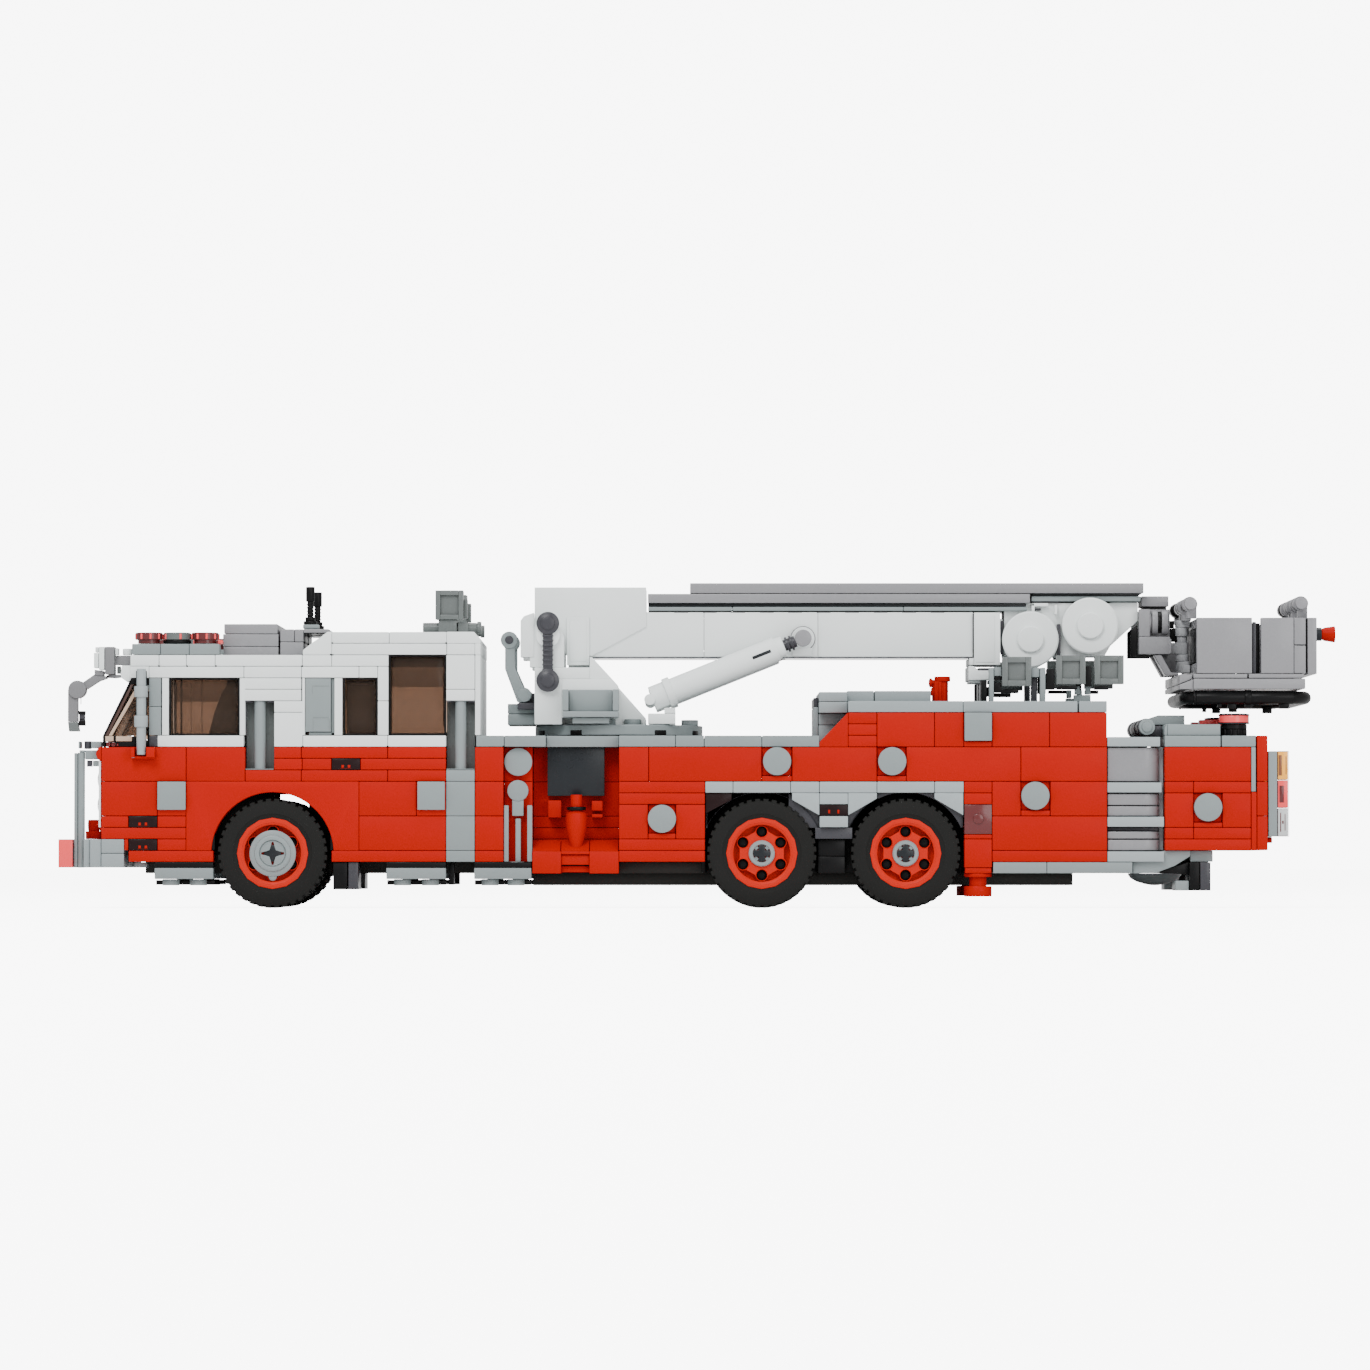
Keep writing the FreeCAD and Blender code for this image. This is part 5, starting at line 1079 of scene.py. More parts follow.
midDeck = {
    "sides": [
        (-7.93, -6.95, 2, 4, 10, 11), (-6.95, -5.5, 2, 4, 10, 11), (-5.5, -2.97, 2, 3.4, 10, 11),
        (-2.97, -1, 2, 4, 10, 11), (-1, 0, 2, 4, 10, 11), (0, 2, 2, 4, 10, 11), (2, 4, 2, 4, 10, 11),
        (-7.93, -6, 0, 2, 10, 11), (-6, -4, 0, 2, 10, 11), (-4, -2, 0, 2, 10, 11), (-2, 0, 0, 2, 10, 11),
        (0, 2, 0, 2, 10, 11), (2, 4, 0, 2, 10, 11),
    ],
}


def bayFittings(work):
    for side in (-1, 1):
        addTurned(work, spot(outriggers["n"], side * outriggers["m"], 0), (0, 0, 1),
                  fromPlates(outriggers["profile"]), 40)
        for n0, n1 in bayFoot["spans"]:
            rim = [spot(n0, side * m, k) for k, m in bayFoot["slope"]]
            addPoints(work, rim, Vector(((n1 - n0) * studPitch - 2 * joint, 0, 0)))


def jackBands(work):
    band = fromPlates(outriggers["band"] + outriggers["band"][:1])
    addTurnedPair(work, outriggers["n"], outriggers["m"], 0, band, 40)


def makeMiddle():
    build("body_red_bricks", "truck", red, "red", ["body_side_walls"], **midRed)
    build("bay_red_bricks", "truck", red, "red", ["outriggers"], extras=[bayFittings], **bayRed)
    build("jack_bands", "truck", black, "black", (), fineEdge, extras=[jackBands])
    build("bay_panel_plates", "truck", slate, "dark_grey", ["bay_panels"], slimEdge, **panels)
    build("side_tiles_and_levers", "truck", lightGrey, "light_grey", ["side_tiles"], fullEdge,
          sides=sideTiles["sides"] + levers["sides"], plates=levers["plates"],
          discs=sideTiles["discs"] + levers["discs"])
    build("deck_tiles", "truck", lightGrey, "light_grey", ["body_deck"], **midDeck)
    print("middle done")


makeMiddle()

# Rear half: chassis, wheel-bay courses and guards, the raised red body and its grey deck.

chassis = {
    "sides": [
        (-19.6, -14, 0, 1.5, -1, 2.6), (-14, -8, 0, 1.5, -1, 2.6), (-8, -2, 0, 1.5, -1, 2.6),
        (-2, 4, 0, 1.5, -1, 2.6), (4, 10, 0, 1.5, -1, 2.6), (10, 17.7, 0, 1.5, -1, 2.6),
        (-6, 12.91, 0, 2, -2.05, -0.9), (-20, -17.2, 0, 3, 0, 1), (-12.8, -6.5, 0, 3, 0, 1),
        (-6.5, -0.2, 0, 2, 0, 1), (9.2, 14, 0, 3, 0, 1), (14, 17.7, 0, 3, 0, 1),
        (-2.97, 0, 1.5, 2.9, -1, 0),
    ],
}
bayCourse = {
    "sides": [(0.03, 1, 3, 4, 6, 7), (1, 3, 3, 4, 6, 7), (3, 4, 3, 4, 6, 7), (4, 6, 3, 4, 6, 7),
              (6, 8, 3, 4, 6, 7), (8, 9.02, 3, 4, 6, 7), (4, 5, 3.2, 4, 5, 6), (4, 5, 3.2, 4.06, 3, 4),
              (0.03, 9, 0, 3, 6.3, 7)],
    "plates": [([(3.05, 5.4), (3.05, 6), (4, 6), (4, 4.05)], 3, 4),
               ([(5, 4.05), (5, 6), (6, 6), (6, 5.5)], 3, 4),
               ([(8, 5.5), (8, 6), (9, 6), (9, 4.05)], 3, 4)],
}
bayGuards = {
    "plates": [(archCourse(0.1, 2.95, 3, 6, 2.0), 2.9, 3.7), (archCourse(3.05, 4.0, 3, 6, 2.0), 2.9, 3.6),
               (archCourse(5.0, 5.98, 3, 6, 7.0), 2.9, 3.6), (archCourse(6.02, 9.0, 3, 6, 7.0), 2.9, 3.7)],
    "sides": [(3.85, 5.15, 3.0, 3.85, 2, 3), (4, 5, 3.0, 3.5, 3, 6)],
}
bayLamps = {
    "sides": [(4, 5, 3.5, 3.95, 4, 5)],
    "plates": [([(0.05, 4.2), (0.95, 5.4), (0.95, 6), (0.05, 6)], 3.1, 3.9)],
}
bayBlack = {"sides": [(3.95, 4.9, 2.0, 3.6, -1, 0.5), (3.95, 4.9, 2.0, 3.6, 0.5, 2)]}
upperRed = {
    "sides": [
        (5, 6, 3, 4, 10, 11), (5, 6, 3, 4, 11, 12), (5, 6, 3, 4, 12, 13), (6, 8, 3, 4, 10, 13),
        (8, 9.02, 3, 4, 10, 13), (9.02, 10, 3, 4, 10, 10.5), (9.02, 10, 3, 3.85, 10.5, 13),
        (10, 12, 3, 4, 10, 13), (12, 14, 3, 4, 10, 13),
    ],
    "plates": [([(4, 10), (4, 10.4), (5, 13), (5, 10)], m0, m1) for m0, m1 in ((3, 4), (2, 3))],
}
upperGrey = {
    "sides": [
        (5, 9, 2, 4, 13, 14), (9, 12.98, 2, 4, 13, 14), (13.02, 14, 2, 4, 13, 14),
        (5, 8, 0, 2, 13, 14), (8, 11, 0, 2, 13, 14), (11, 14, 0, 2, 13, 14),
        (5, 5.95, 0, 2, 14, 15), (5.97, 7.95, 0, 2, 14, 15),
        (4, 5, 0, 2, 10, 12), (4, 5, 0, 2, 12, 13), (4, 5, 0, 3, 13, 14), (4, 5, 0, 1.5, 14, 14.85),
        (4, 5, 1.5, 3, 14, 14.85), (3.83, 4, 0, 2, 11, 13.6),
    ],
}
restWhite = {
    "plates": [([(9.28, 15.95), (9.28, 17.2), (9.46, 17.2), (9.62, 16.8), (10.02, 16.8), (10.02, 16.0)],
                0, 1.6)],
    "sides": [(9.32, 9.95, 0, 1.2, 15.72, 15.98)],
}
# dark grey legs and strips; the posts at n 9.68 and 11.42 stand for light grey posts in shadow, drawn dark as
# painted shade
restDark = {
    "sides": [(9.68, 9.9, 0.4, 1.4, 14, 15.9), (9.62, 10.3, 0, 1.5, 16.82, 17.05),
              (3.83, 4, 0, 2, 13.6, 14.4), (11.42, 11.63, 2.1, 2.9, 14, 16.1)],
}
deckLamps = {
    "heads": [(10.38, 11.4, 2.85, 3.4, 15.32, 17.87), (12.27, 13.29, 2.85, 3.4, 15.48, 18.0),
              (13.6, 14.62, 2.85, 3.4, 15.48, 18.0)],
    "posts": [(9.93, 10.1, 2.5, 3.3, 14, 16.95), (10.1, 10.37, 2.6, 3.2, 16.2, 17.0),
              (11.7, 11.9, 2.5, 3.3, 14, 16.95), (11.4, 11.7, 2.6, 3.2, 16.1, 16.95),
              (12.9, 13.5, 2.4, 2.9, 14, 14.6), (12.93, 13.12, 2.5, 2.9, 14.6, 15.35),
              (13.3, 13.5, 2.5, 2.9, 14.6, 15.35)],
    # black clips; the first block stands for a light grey post in shadow, drawn black as painted shade
    "black": [(9.65, 9.87, 2.5, 3.1, 14, 15.85), (10.1, 10.37, 2.7, 3.2, 14.75, 15.65),
              (10.35, 10.97, 2.7, 3.2, 14.7, 15.1), (11.92, 12.22, 2.8, 3.25, 15.0, 16.85),
              (12.3, 13.0, 2.8, 3.3, 15.02, 15.34), (13.6, 14.1, 2.8, 3.3, 15.0, 15.34),
              (13.26, 13.5, 2.85, 3.3, 15.3, 17.1), (10.12, 10.4, 2.75, 3.15, 15.85, 16.2)],
}
rearJack = {
    "n": 9.52, "y": 28.0,
    "profile": [(-3.0, 0), (-3.0, 3.75), (-2.92, 3.88), (-2.18, 3.88), (-2.1, 3.75), (-2.1, 2.4), (-1.3, 2.4),
                (-1.3, 3.75), (-1.22, 3.88), (-1.05, 3.88), (-1.0, 3.75), (-1.0, 0)],
    "column": [(9.03, 10, 3, 4, 2, 2.4), (9.03, 10, 3, 4, -0.5, 2), (9.05, 9.98, 3, 3.98, -1, -0.5),
               (9.03, 10, 3, 3.6, 2.4, 5)],
}
jackLamp = {"frame": [(9.03, 10, 3.6, 3.98, 2.4, 5)], "stud": [(9.52, 3.75, 1.45, 31.7, 32.2)]}


def rearJacks(work):
    for side in (-1, 1):
        addTurned(work, Vector((across(rearJack["n"]), side * rearJack["y"] * millimetre, up(0))), (0, 0, 1),
                  fromPlates(rearJack["profile"]), 40)


def makeRear():
    build("chassis_bricks", "truck", chassisBrown, "dark_grey", ["chassis_frame"], **chassis)
    build("wheel_bay_course", "truck", paleGrey, "light_grey", ["wheel_guards"], **bayCourse)
    build("wheel_bay_guards", "truck", darkGrey, "dark_grey", (), smallEdge, **bayGuards)
    build("wheel_bay_lamps", "truck", lampBlack, "dark_grey", (), slimEdge, **bayLamps)
    build("wheel_bay_blocks", "truck", black, "black", (), **bayBlack)
    build("upper_red_bricks", "truck", red, "red", ["upper_body"], **upperRed)
    build("upper_deck_tiles", "truck", deckGrey, "light_grey", ["upper_deck"], **upperGrey)
    build("boom_rest_bricks", "truck", white, "white", (), **restWhite)
    build("boom_rest_legs_and_painted_shade", "truck", darkGrey, "dark_grey", (), slimEdge, **restDark)
    build("deck_lamp_heads", "truck", lampGrey, "dark_grey", ["deck_lamps"], slimEdge,
          extras=[lambda work: lampHeads(work, deckLamps["heads"], 0.2)])
    build("deck_lamp_posts", "truck", lightGrey, "light_grey", (), smallEdge, sides=deckLamps["posts"])
    build("deck_lamp_clips_and_painted_shade", "truck", black, "black", (), slimEdge, sides=deckLamps["black"])
    build("rear_jack_bricks", "truck", red, "red", ["rear_jacks"], sides=rearJack["column"],
          extras=[rearJacks])
    build("rear_jack_lamps", "truck", lampMaroon, "clear_red", (), slimEdge, sides=jackLamp["frame"],
          discs=jackLamp["stud"])
    print("rear body done")


makeRear()

# Tail: the ribbed equipment rack, the rear box, lamps, steps, flaps and the dish below.

rack = {
    # dark grey behind the drawers and under a band: painted shade in the lines under the bands
    "back": [(14, 15.8, 3, 3.5, 1, 10), (14.0, 15.8, 3.5, 3.6, 2.7, 3.03)],
    "bulges": [(6.98, 9.96), (4.92, 5.94), (3.98, 4.88), (2.0, 2.68), (0.98, 1.96)],
    "start": 14.02, "bend": 15.33, "end": 15.84, "inner": 3.3, "outer": 3.86,
    "bands": [(14, 15.85, 3, 4, 10.02, 10.88), (14, 15.9, 3, 3.98, 6.02, 6.93), (14, 15.98, 3, 4, 3.04, 3.95),
              (14, 15.98, 3, 4, 0, 0.94), (15.82, 16, 3, 3.3, 1, 10)],
}
rearRed = {
    "sides": [
        (16, 19, 3, 4, 7, 10), (16, 17, 3, 4, 6, 7), (17, 19, 3, 4, 6, 7), (16, 17, 3, 4, 3, 6),
        (18, 19, 3, 4, 3, 6), (17, 18, 3, 4, 3, 3.45), (17, 18, 3, 3.85, 3.45, 6), (16, 17, 3, 4, 2, 3),
        (17, 19, 3, 4, 2, 3), (16, 19, 3, 4, 1, 2), (19.2, 19.58, 2, 4, 1, 4),
        (19.2, 19.58, 2, 4, 4, 7), (19.2, 19.58, 2, 4, 7, 11), (19.2, 19.58, 0, 2, 1, 4),
        (19.2, 19.58, 0, 2, 4, 7), (19.2, 19.58, 0, 2, 7, 11), (19, 19.2, 0, 4, 1, 6.1),
        (16, 19, 0, 3, 1, 4), (16, 19, 0, 3, 4, 7), (16, 19, 0, 3, 7, 10),
    ],
    "bars": [((19.55, 3.4, 1.9), (19.77, 3.4, 1.9), 0.8)],
}
rearGrey = {
    "sides": [
        (19, 19.17, 0, 4, 6.1, 10), (16, 17.95, 2, 4, 10, 11), (17.98, 19.17, 2, 4, 10, 11),
        (16, 17.95, 0, 2, 10, 11), (17.98, 19.17, 0, 2, 10, 11), (16.1, 17.95, 2, 3.9, 11, 12),
        (16.1, 17.95, 0, 2, 11, 12), (19.6, 19.92, 2.95, 3.95, 2.2, 9.65),
    ],
    "plates": [([(16, 11), (16.1, 11), (16.1, 12), (16.06, 11.95), (16, 11.6)], 0, 3.9),
               ([(15.4, 12), (15.4, 12.3), (15.9, 12.85), (16.83, 12.85), (16.83, 12.02)], 0, 2)],
}
clipBar = {
    "bar": [((15.42, 0, 11.76), (15.42, 3.55, 11.76), 1.45)],
    "grey": [(15.42, 11.76, 2.25, y + 0.15, y + 3.7) for y in (9, 12, 24)],
    "black": [(15.42, 11.76, 2.45, y + 0.1, y + 3.8) for y in (0, 4, 17, 20)],
    "arms": [(15.5, 15.98, m, m + 0.4, 10.92, 11.9) for m in (0.5, 1.5, 2.5)],
}
beacon = {
    "n": 18.45, "m": 3.4, "lensFoot": 12.05, "rimFoot": 12.0, "foot": 11, "rimHeights": (0.0, 2.35),
    "lens": [(0, 0), (0, 4.0), (0.2, 4.2), (2.4, 4.2), (2.65, 4.05), (2.75, 3.7), (2.75, 0)],
    "rim": [(0, 3.9), (0, 4.3), (0.25, 4.35), (0.45, 4.25), (0.45, 3.9), (0, 3.9)],
    "base": [(0, 0), (0, 3.2), (1.7, 3.2), (1.9, 3.6), (3.0, 3.6), (3.2, 3.2), (3.2, 0)],
    "ribs": 10, "ribRing": 3.2, "ribLength": 1.75, "ribRadius": 0.45,
    "deckLamp": [(17.33, 17.92, 1.6, 2.4, 12.02, 12.45)],
}
tankDish = {
    "n": 15.9, "k": -1.0,
    "profile": [(0, 0), (0, 7.6), (0.5, 7.5), (1.4, 6.8), (2.3, 5.2), (3.0, 2.9), (3.3, 1.2), (3.35, 0)],
}
tailLamps = {
    "clear": [(19.92, 20.3, 3.0, 3.94, 2.2, 4.67)], "red": [(19.92, 20.3, 3.0, 3.94, 4.7, 7.12)],
    "amber": [(19.92, 20.3, 3.0, 3.94, 7.15, 9.65)], "edge": [(20.3, 20.33, 3.88, 3.945, 2.2, 9.65)],
    "inner": [(19.95, 20.08, 3.9, 3.955, 7.5, 9.3), (20.2, 20.24, 3.9, 3.955, 7.6, 9.2)],
    "marks": [(19.98, 20.15, 3.9, 3.955, 5.15, 6.65), (20.0, 20.05, 3.9, 3.955, 2.6, 4.3),
              (20.16, 20.2, 3.9, 3.955, 2.7, 4.2), (20.07, 20.14, 3.9, 3.955, 3.3, 3.6),
              (19.92, 19.945, 3.9, 3.955, 2.2, 9.65)]
             + [(19.92, 20.32, 3.9, 3.955, k - 0.035, k + 0.035) for k in (4.68, 7.13, 9.62, 2.23)],
}
frontLamps = [(-22.45, -21.95, 3.1, 3.9, -0.5, 2)]
steps = {
    "spans": [(-19.1, -17.05), (-11.05, -8.97), (-8, -6)],
    "grey": [(3.02, 4.0, -1.5, -0.5)], "dark": [(3.05, 3.97, -0.5, 0)], "black": [(3.05, 3.3, -2, -1.55)],
    "studLine": 3.5, "studInset": 0.55,
}
flaps = {
    "black": [(-12.9, -12.4, 1.6, 3.9, -2.4, 0), (16.86, 17.21, 1.6, 3.9, -2.5, 0),
              (-8.9, -8.7, 2.6, 3.4, -2, 0)],
    "grey": [(-12.37, -12.02, 1.6, 3.9, -2.4, 0), (17.23, 17.6, 1.6, 3.9, -2.5, 0)],
}
keel = {
    "grey": [(10.03, 11.9, 2, 4, -1, 0), (11.9, 14.88, 2, 4, -1, 0), (16.9, 17.7, 1.6, 3.6, 0, 1),
             (-7.97, -6.2, 2, 3, -0.5, 0), (16.37, 16.85, 2, 3.8, -2.5, -1.6)],
    "wedge": [([(14.9, -1), (14.9, 0), (16, 1), (16.9, 1), (16.9, 0.5), (16.35, -0.35), (15.7, -0.95)],
               2, 3.75)],
    "black": [([(15.75, -0.9), (16.85, 0), (16.9, -1.1)], 2, 3.6)],
}


def rackBulges(work):
    for k0, k1 in rack["bulges"]:
        arc = [(rack["start"], rack["outer"])]
        for turn in (math.radians(a) for a in range(0, 91, 10)):
            arc.append((rack["bend"] + (rack["end"] - rack["bend"]) * math.sin(turn),
                        rack["inner"] + (rack["outer"] - rack["inner"]) * math.cos(turn)))
        for side in (-1, 1):
            rim = [spot(rack["start"], side * 3, k0 + 0.03)] + [spot(n, side * m, k0 + 0.03) for n, m in arc]
            rim.append(spot(rack["end"], side * 3, k0 + 0.03))
            addPoints(work, rim, Vector((0, 0, (k1 - k0 - 0.06) * plateHeight)))


def beacons(work):
    addTurnedPair(work, beacon["n"], beacon["m"], beacon["lensFoot"], inMetres(beacon["lens"]), 48)


def beaconRims(work):
    for side in (-1, 1):
        for height in beacon["rimHeights"]:
            profile = inMetres([(z + height, r) for z, r in beacon["rim"]])
            addTurned(work, spot(beacon["n"], side * beacon["m"], beacon["rimFoot"]), (0, 0, 1), profile, 48)


def beaconFeet(work):
    rib = rounded(beacon["ribLength"] * millimetre, beacon["ribRadius"] * millimetre)
    ring = beacon["ribRing"]
    for side in (-1, 1):
        foot = spot(beacon["n"], side * beacon["m"], beacon["foot"])
        addTurned(work, foot, (0, 0, 1), inMetres(beacon["base"]), 48)
        for index in range(beacon["ribs"]):
            turn = math.tau * index / beacon["ribs"]
            out = Vector((ring * math.cos(turn), ring * math.sin(turn), 0)) * millimetre
            addTurned(work, foot + out, (0, 0, 1), rib, 12)


def dish(work):
    addTurned(work, spot(tankDish["n"], 0, tankDish["k"]), (0, 0, -1), inMetres(tankDish["profile"]), 56)


def perStep(rows):
    # the same bricks on each running step
    return [(n0, n1) + row for n0, n1 in steps["spans"] for row in rows]


def stepStuds(k):
    return [(n, side * steps["studLine"], k) for n0, n1 in steps["spans"]
            for n in (n0 + steps["studInset"], n1 - steps["studInset"]) for side in (-1, 1)]


def makeTail():
    build("rack_bands", "truck", paleGrey, "light_grey", ["equipment_rack"], sides=rack["bands"])
    build("rack_gaps", "truck", darkGrey, "dark_grey", (), sides=rack["back"])
    build("rack_drawers", "truck", midGrey, "light_grey", (), broadEdge, extras=[rackBulges])
    build("rear_red_bricks", "truck", red, "red", ["rear_box"], **rearRed)
    build("rear_deck_tiles", "truck", lightGrey, "light_grey", ["rear_deck"], **rearGrey)
    build("rear_clip_rings", "truck", lightGrey, "light_grey", (), fineEdge, bars=clipBar["bar"],
          discs=clipBar["grey"])
    build("rear_clip_arms", "truck", darkGrey, "dark_grey", (), smallEdge, sides=clipBar["arms"],
          discs=clipBar["black"])
    build("beacon_feet", "truck", black, "black", (), fineEdge, extras=[beaconFeet])
    build("tail_lamps_amber", "truck", lampAmber, "clear_amber", ["amber_lamps"], fineEdge,
          sides=tailLamps["amber"])
    build("tail_lamps_red", "truck", lampRed, "clear_red", ["red_lamps"], fineEdge,
          sides=tailLamps["red"] + frontLamps + beacon["deckLamp"], extras=[beacons])
    build("tail_lamps_clear", "truck", lampPale, "clear", ["clear_lamps"], fineEdge, sides=tailLamps["clear"])
    build("tail_lamp_inners", "truck", lampBrown, "dark_grey", (), hairEdge, sides=tailLamps["inner"])
    build("tail_lamp_marks", "truck", lampMaroon, "dark_grey", (), hairEdge, sides=tailLamps["marks"])
    build("tail_lamp_edges", "truck", slate, "dark_grey", (), hairEdge, sides=tailLamps["edge"],
          extras=[beaconRims])
    build("step_plates", "truck", lightGrey, "light_grey", ["underbody_fittings"],
          sides=perStep(steps["grey"]) + keel["grey"], plates=keel["wedge"],
          studs=stepStuds(-0.5), hungStuds=stepStuds(-1.5))
    build("step_treads", "truck", black, "dark_grey", (), sides=perStep(steps["dark"]))
    build("step_black_plates", "truck", black, "black", (), plates=keel["black"],
          sides=perStep(steps["black"]))
    build("tank_dish", "truck", lightGrey, "light_grey", (), extras=[dish])
    build("black_flaps", "truck", black, "black", ["mudflaps"], slimEdge, sides=flaps["black"])
    build("grey_flaps", "truck", darkGrey, "dark_grey", (), slimEdge, sides=flaps["grey"])
    print("tail done")


makeTail()

# Turret: turntable, side walls, operator's seats, and the links beside the boom's hinge.

turret = {
    "centre": -3.0, "foot": 11.08,
    "profile": [(0, 0), (0, 23.4), (0.15, 23.6), (2.7, 23.6), (2.92, 23.35), (2.92, 0)],
    "notches": (24, 60, 120, 156, 204, 240, 300, 336), "notchHeight": 11.3,
    "notchOffset": (23.0, 0, 0), "notchSize": (1.5, 3.6, 1.4),
    "studs": [(-3.4, 1.5, 12), (-2.5, 1.5, 12), (-3.4, -1.5, 12), (-2.5, -1.5, 12), (-0.5, 0, 12),
              (-1.5, 0, 12)],
    "lid": [(-0.75, -0.2, 0, 1, 12, 12.35)],
    "white": [
        ([(-5.93, 12.02), (-5.93, 16), (-4.97, 16), (-4.97, 12.02)], 1.55, 2.55),
        ([(-4.97, 12.6), (-4.97, 16), (-3.22, 16), (-3.0, 15.4), (-3.0, 12.6)], 1.55, 2.55),
        ([(-5.93, 16), (-5.93, 17), (-4, 17), (-4, 16)], 1.55, 2.55),
        ([(-4, 16), (-4, 17.9), (-3.92, 17.9), (-3.22, 16)], 1.55, 2.5),
        ([(-4, 12.05), (-4, 17.7), (-3.88, 17.7), (-3, 15.3), (-2.04, 12.6), (-2.04, 12.05)], 0.1, 1.4),
        ([(-6.42, 17.9), (-6.42, 21.1), (-6.3, 21.5), (-5.95, 21.8), (-5.95, 17.9)], 1.6, 2.5),
        ([(-6.1, 17.02), (-6.1, 19.7), (-5.96, 20.5), (-5.66, 21.1), (-5.34, 21.1), (-5.04, 20.5),
          (-4.9, 19.7), (-4.9, 17.02)], 1.6, 2.45),
    ],
    "feet": [(-1.97, -1, 1.6, 2.5, 12.05, 13), (-1.4, -1, 1.7, 2.4, 13, 13.5),
             (-4.97, -4.0, 0.2, 1.5, 12.05, 13)],
    "pins": [(-5.46, 19.8, 3.35, 20.3, 21.2), (-1.9, 14.2, 1.55, 19.7, 20.5)],
}
turretGrey = {
    "sides": [(-6.9, -5.95, 0, 1.5, 12, 13), (-6.9, -5.95, 0, 1.5, 13, 13.9), (-5.95, -5, 0, 1.4, 12, 12.9)],
    "seats": [(-4.95, -2.97, 2.55, 3.45, 12.6, 13.15), (-4.95, -4.72, 2.55, 3.45, 13.15, 15.05),
              (-3.2, -2.97, 2.55, 3.45, 13.15, 15.05), (-4.72, -3.2, 2.55, 2.9, 13.15, 15.05),
              (-4.6, -3.3, 2.6, 3.2, 12.05, 12.6)],
    "arms": [([(-6.55, 14), (-6.25, 14), (-6.25, 14.9), (-6.62, 17), (-6.62, 19.3), (-6.98, 19.3),
               (-6.98, 16.9)],
              1.5, 1.88)],
    "heads": [(-6.83, 19.45, 2.4, 11.6, 15.4), (-6.3, 14.65, 2.0, 11.6, 15.3)],
}
turretDark = {
    "sides": [(-6.45, -5.95, 0.6, 1.2, 13.9, 14.85), (-6.55, -5.95, 1.4, 1.85, 13.35, 13.95),
              (-5.8, -5.27, 1.6, 2.5, 12.0, 12.5)],
    "discs": [(-6.83, 19.45, 1.2, 15.3, 15.46)],
}
links = {
    "discs": [(-5.46, 15.85, 3.2, 20.5, 22.4), (-5.46, 20.85, 3.2, 20.5, 22.4)],
    "bosses": [(-5.46, 15.85, 1.9, 22.4, 22.8), (-5.46, 20.85, 1.9, 22.4, 22.8)],
    "bar": [(-5.64, -5.28, 2.58, 2.76, 16.5, 20.2)],
    "ribs": [(-5.66, -5.26, 2.76, 2.8, 16.7 + 0.42 * i, 16.9 + 0.42 * i) for i in range(8)],
}


def turntable(work):
    addTurned(work, spot(turret["centre"], 0, turret["foot"]), (0, 0, 1), inMetres(turret["profile"]), 96)


def turntableNotches(work):
    middle = spot(turret["centre"], 0, turret["notchHeight"])
    for angle in turret["notches"]:
        addTurnedBlock(work, middle, math.radians(angle), "Z", turret["notchOffset"], turret["notchSize"])


def makeTurret():
    build("turntable_plate", "turret", lightGrey, "light_grey", ["turntable"], sides=turret["lid"],
          studs=turret["studs"], extras=[turntable])
    build("turntable_notches", "turret", black, "black", (), slimEdge, extras=[turntableNotches])
    build("turret_white_bricks", "turret", white, "white", ["turret_sides"], plates=turret["white"],
          sides=turret["feet"], discs=turret["pins"])
    build("turret_grey_bricks", "turret", lightGrey, "light_grey", ["turret_fittings"],
          sides=turretGrey["sides"] + turretGrey["seats"], plates=turretGrey["arms"],
          discs=turretGrey["heads"])
    build("turret_brackets", "turret", darkGrey, "dark_grey", (), smallEdge, **turretDark)
    build("hinge_links", "turret", darkGrey, "dark_grey", ["pivot_links"], smallEdge,
          sides=links["bar"] + links["ribs"],
          discs=links["discs"] + links["bosses"])
    print("turret done")


makeTurret()

# Boom: white head and sleeve, the fixed rail, the inner beam with its reels, and the sliding rail.

boom = {
    "head": [([(-5.95, 21.2), (-5.95, 24.1), (-2.03, 24.1), (-2.03, 20.65), (-3.93, 18.1), (-4.6, 18.05),
               (-5.1, 18.6)], 1.36, 1.5)],
    "headTop": [(-5.95, -4.0, 0, 1.36, 23.1, 24.08), (-4.0, -2.03, 0, 1.36, 23.1, 24.08),
                (-5.95, -5.7, 0, 1.36, 21.4, 23.1), (-2.3, -2.04, 0, 1.36, 22.1, 23.1)],
    "boxes": [(-4.82, -4.02, 1.5, 1.6, 17.25, 21.5), (-4.72, -4.12, 1.6, 1.63, 17.6, 21.2)],
    "walls": [(-4.4, 0, 1.15, 1.42, 18, 21.93), (0, 4, 1.15, 1.42, 18, 21.93),
              (4, 9.45, 1.15, 1.42, 18, 21.93), (-4.4, 1, 0, 1.15, 18, 18.5),
              (1, 9.45, 0, 1.15, 18, 18.5), (-4.4, 1, 0, 1.1, 21.6, 21.98),
              (1, 9.45, 0, 1.1, 21.6, 21.98)],
    "collar": [(9.47, 10.4, 1.18, 1.62, 17.28, 21.9), (9.47, 10.4, 0, 1.18, 17.28, 18.5),
               (9.47, 10.4, 0, 1.18, 21.55, 21.9), (9.52, 10.2, 1.62, 1.65, 17.5, 21.7),
               (9.3, 9.47, 0, 1.62, 17.28, 17.9)],
    "bosses": [(3.47, 19.6, 3.3, 11.2, 12.6)], "bossRims": [(3.47, 19.6, 3.5, 11.2, 12.3)],
    "eyeBrackets": [(3.1, 3.8, 1.42, 1.6, 18.05, 18.8)],
    # dark grey joint lines, and a row of short strips that paint the shadows of the studs under the rail
    # strip
    "lines": [(-3.9, 9.4, 1.2, 1.425, 17.9, 18.0), (9.42, 9.48, 1.2, 1.5, 18.0, 21.8),
              (-1.95, 9.45, 1.2, 1.41, 21.93, 21.99)]
             + [(n - 0.05, n + 0.45, 1.2, 1.425, 21.86, 21.95) for n in range(-1, 9)],
}
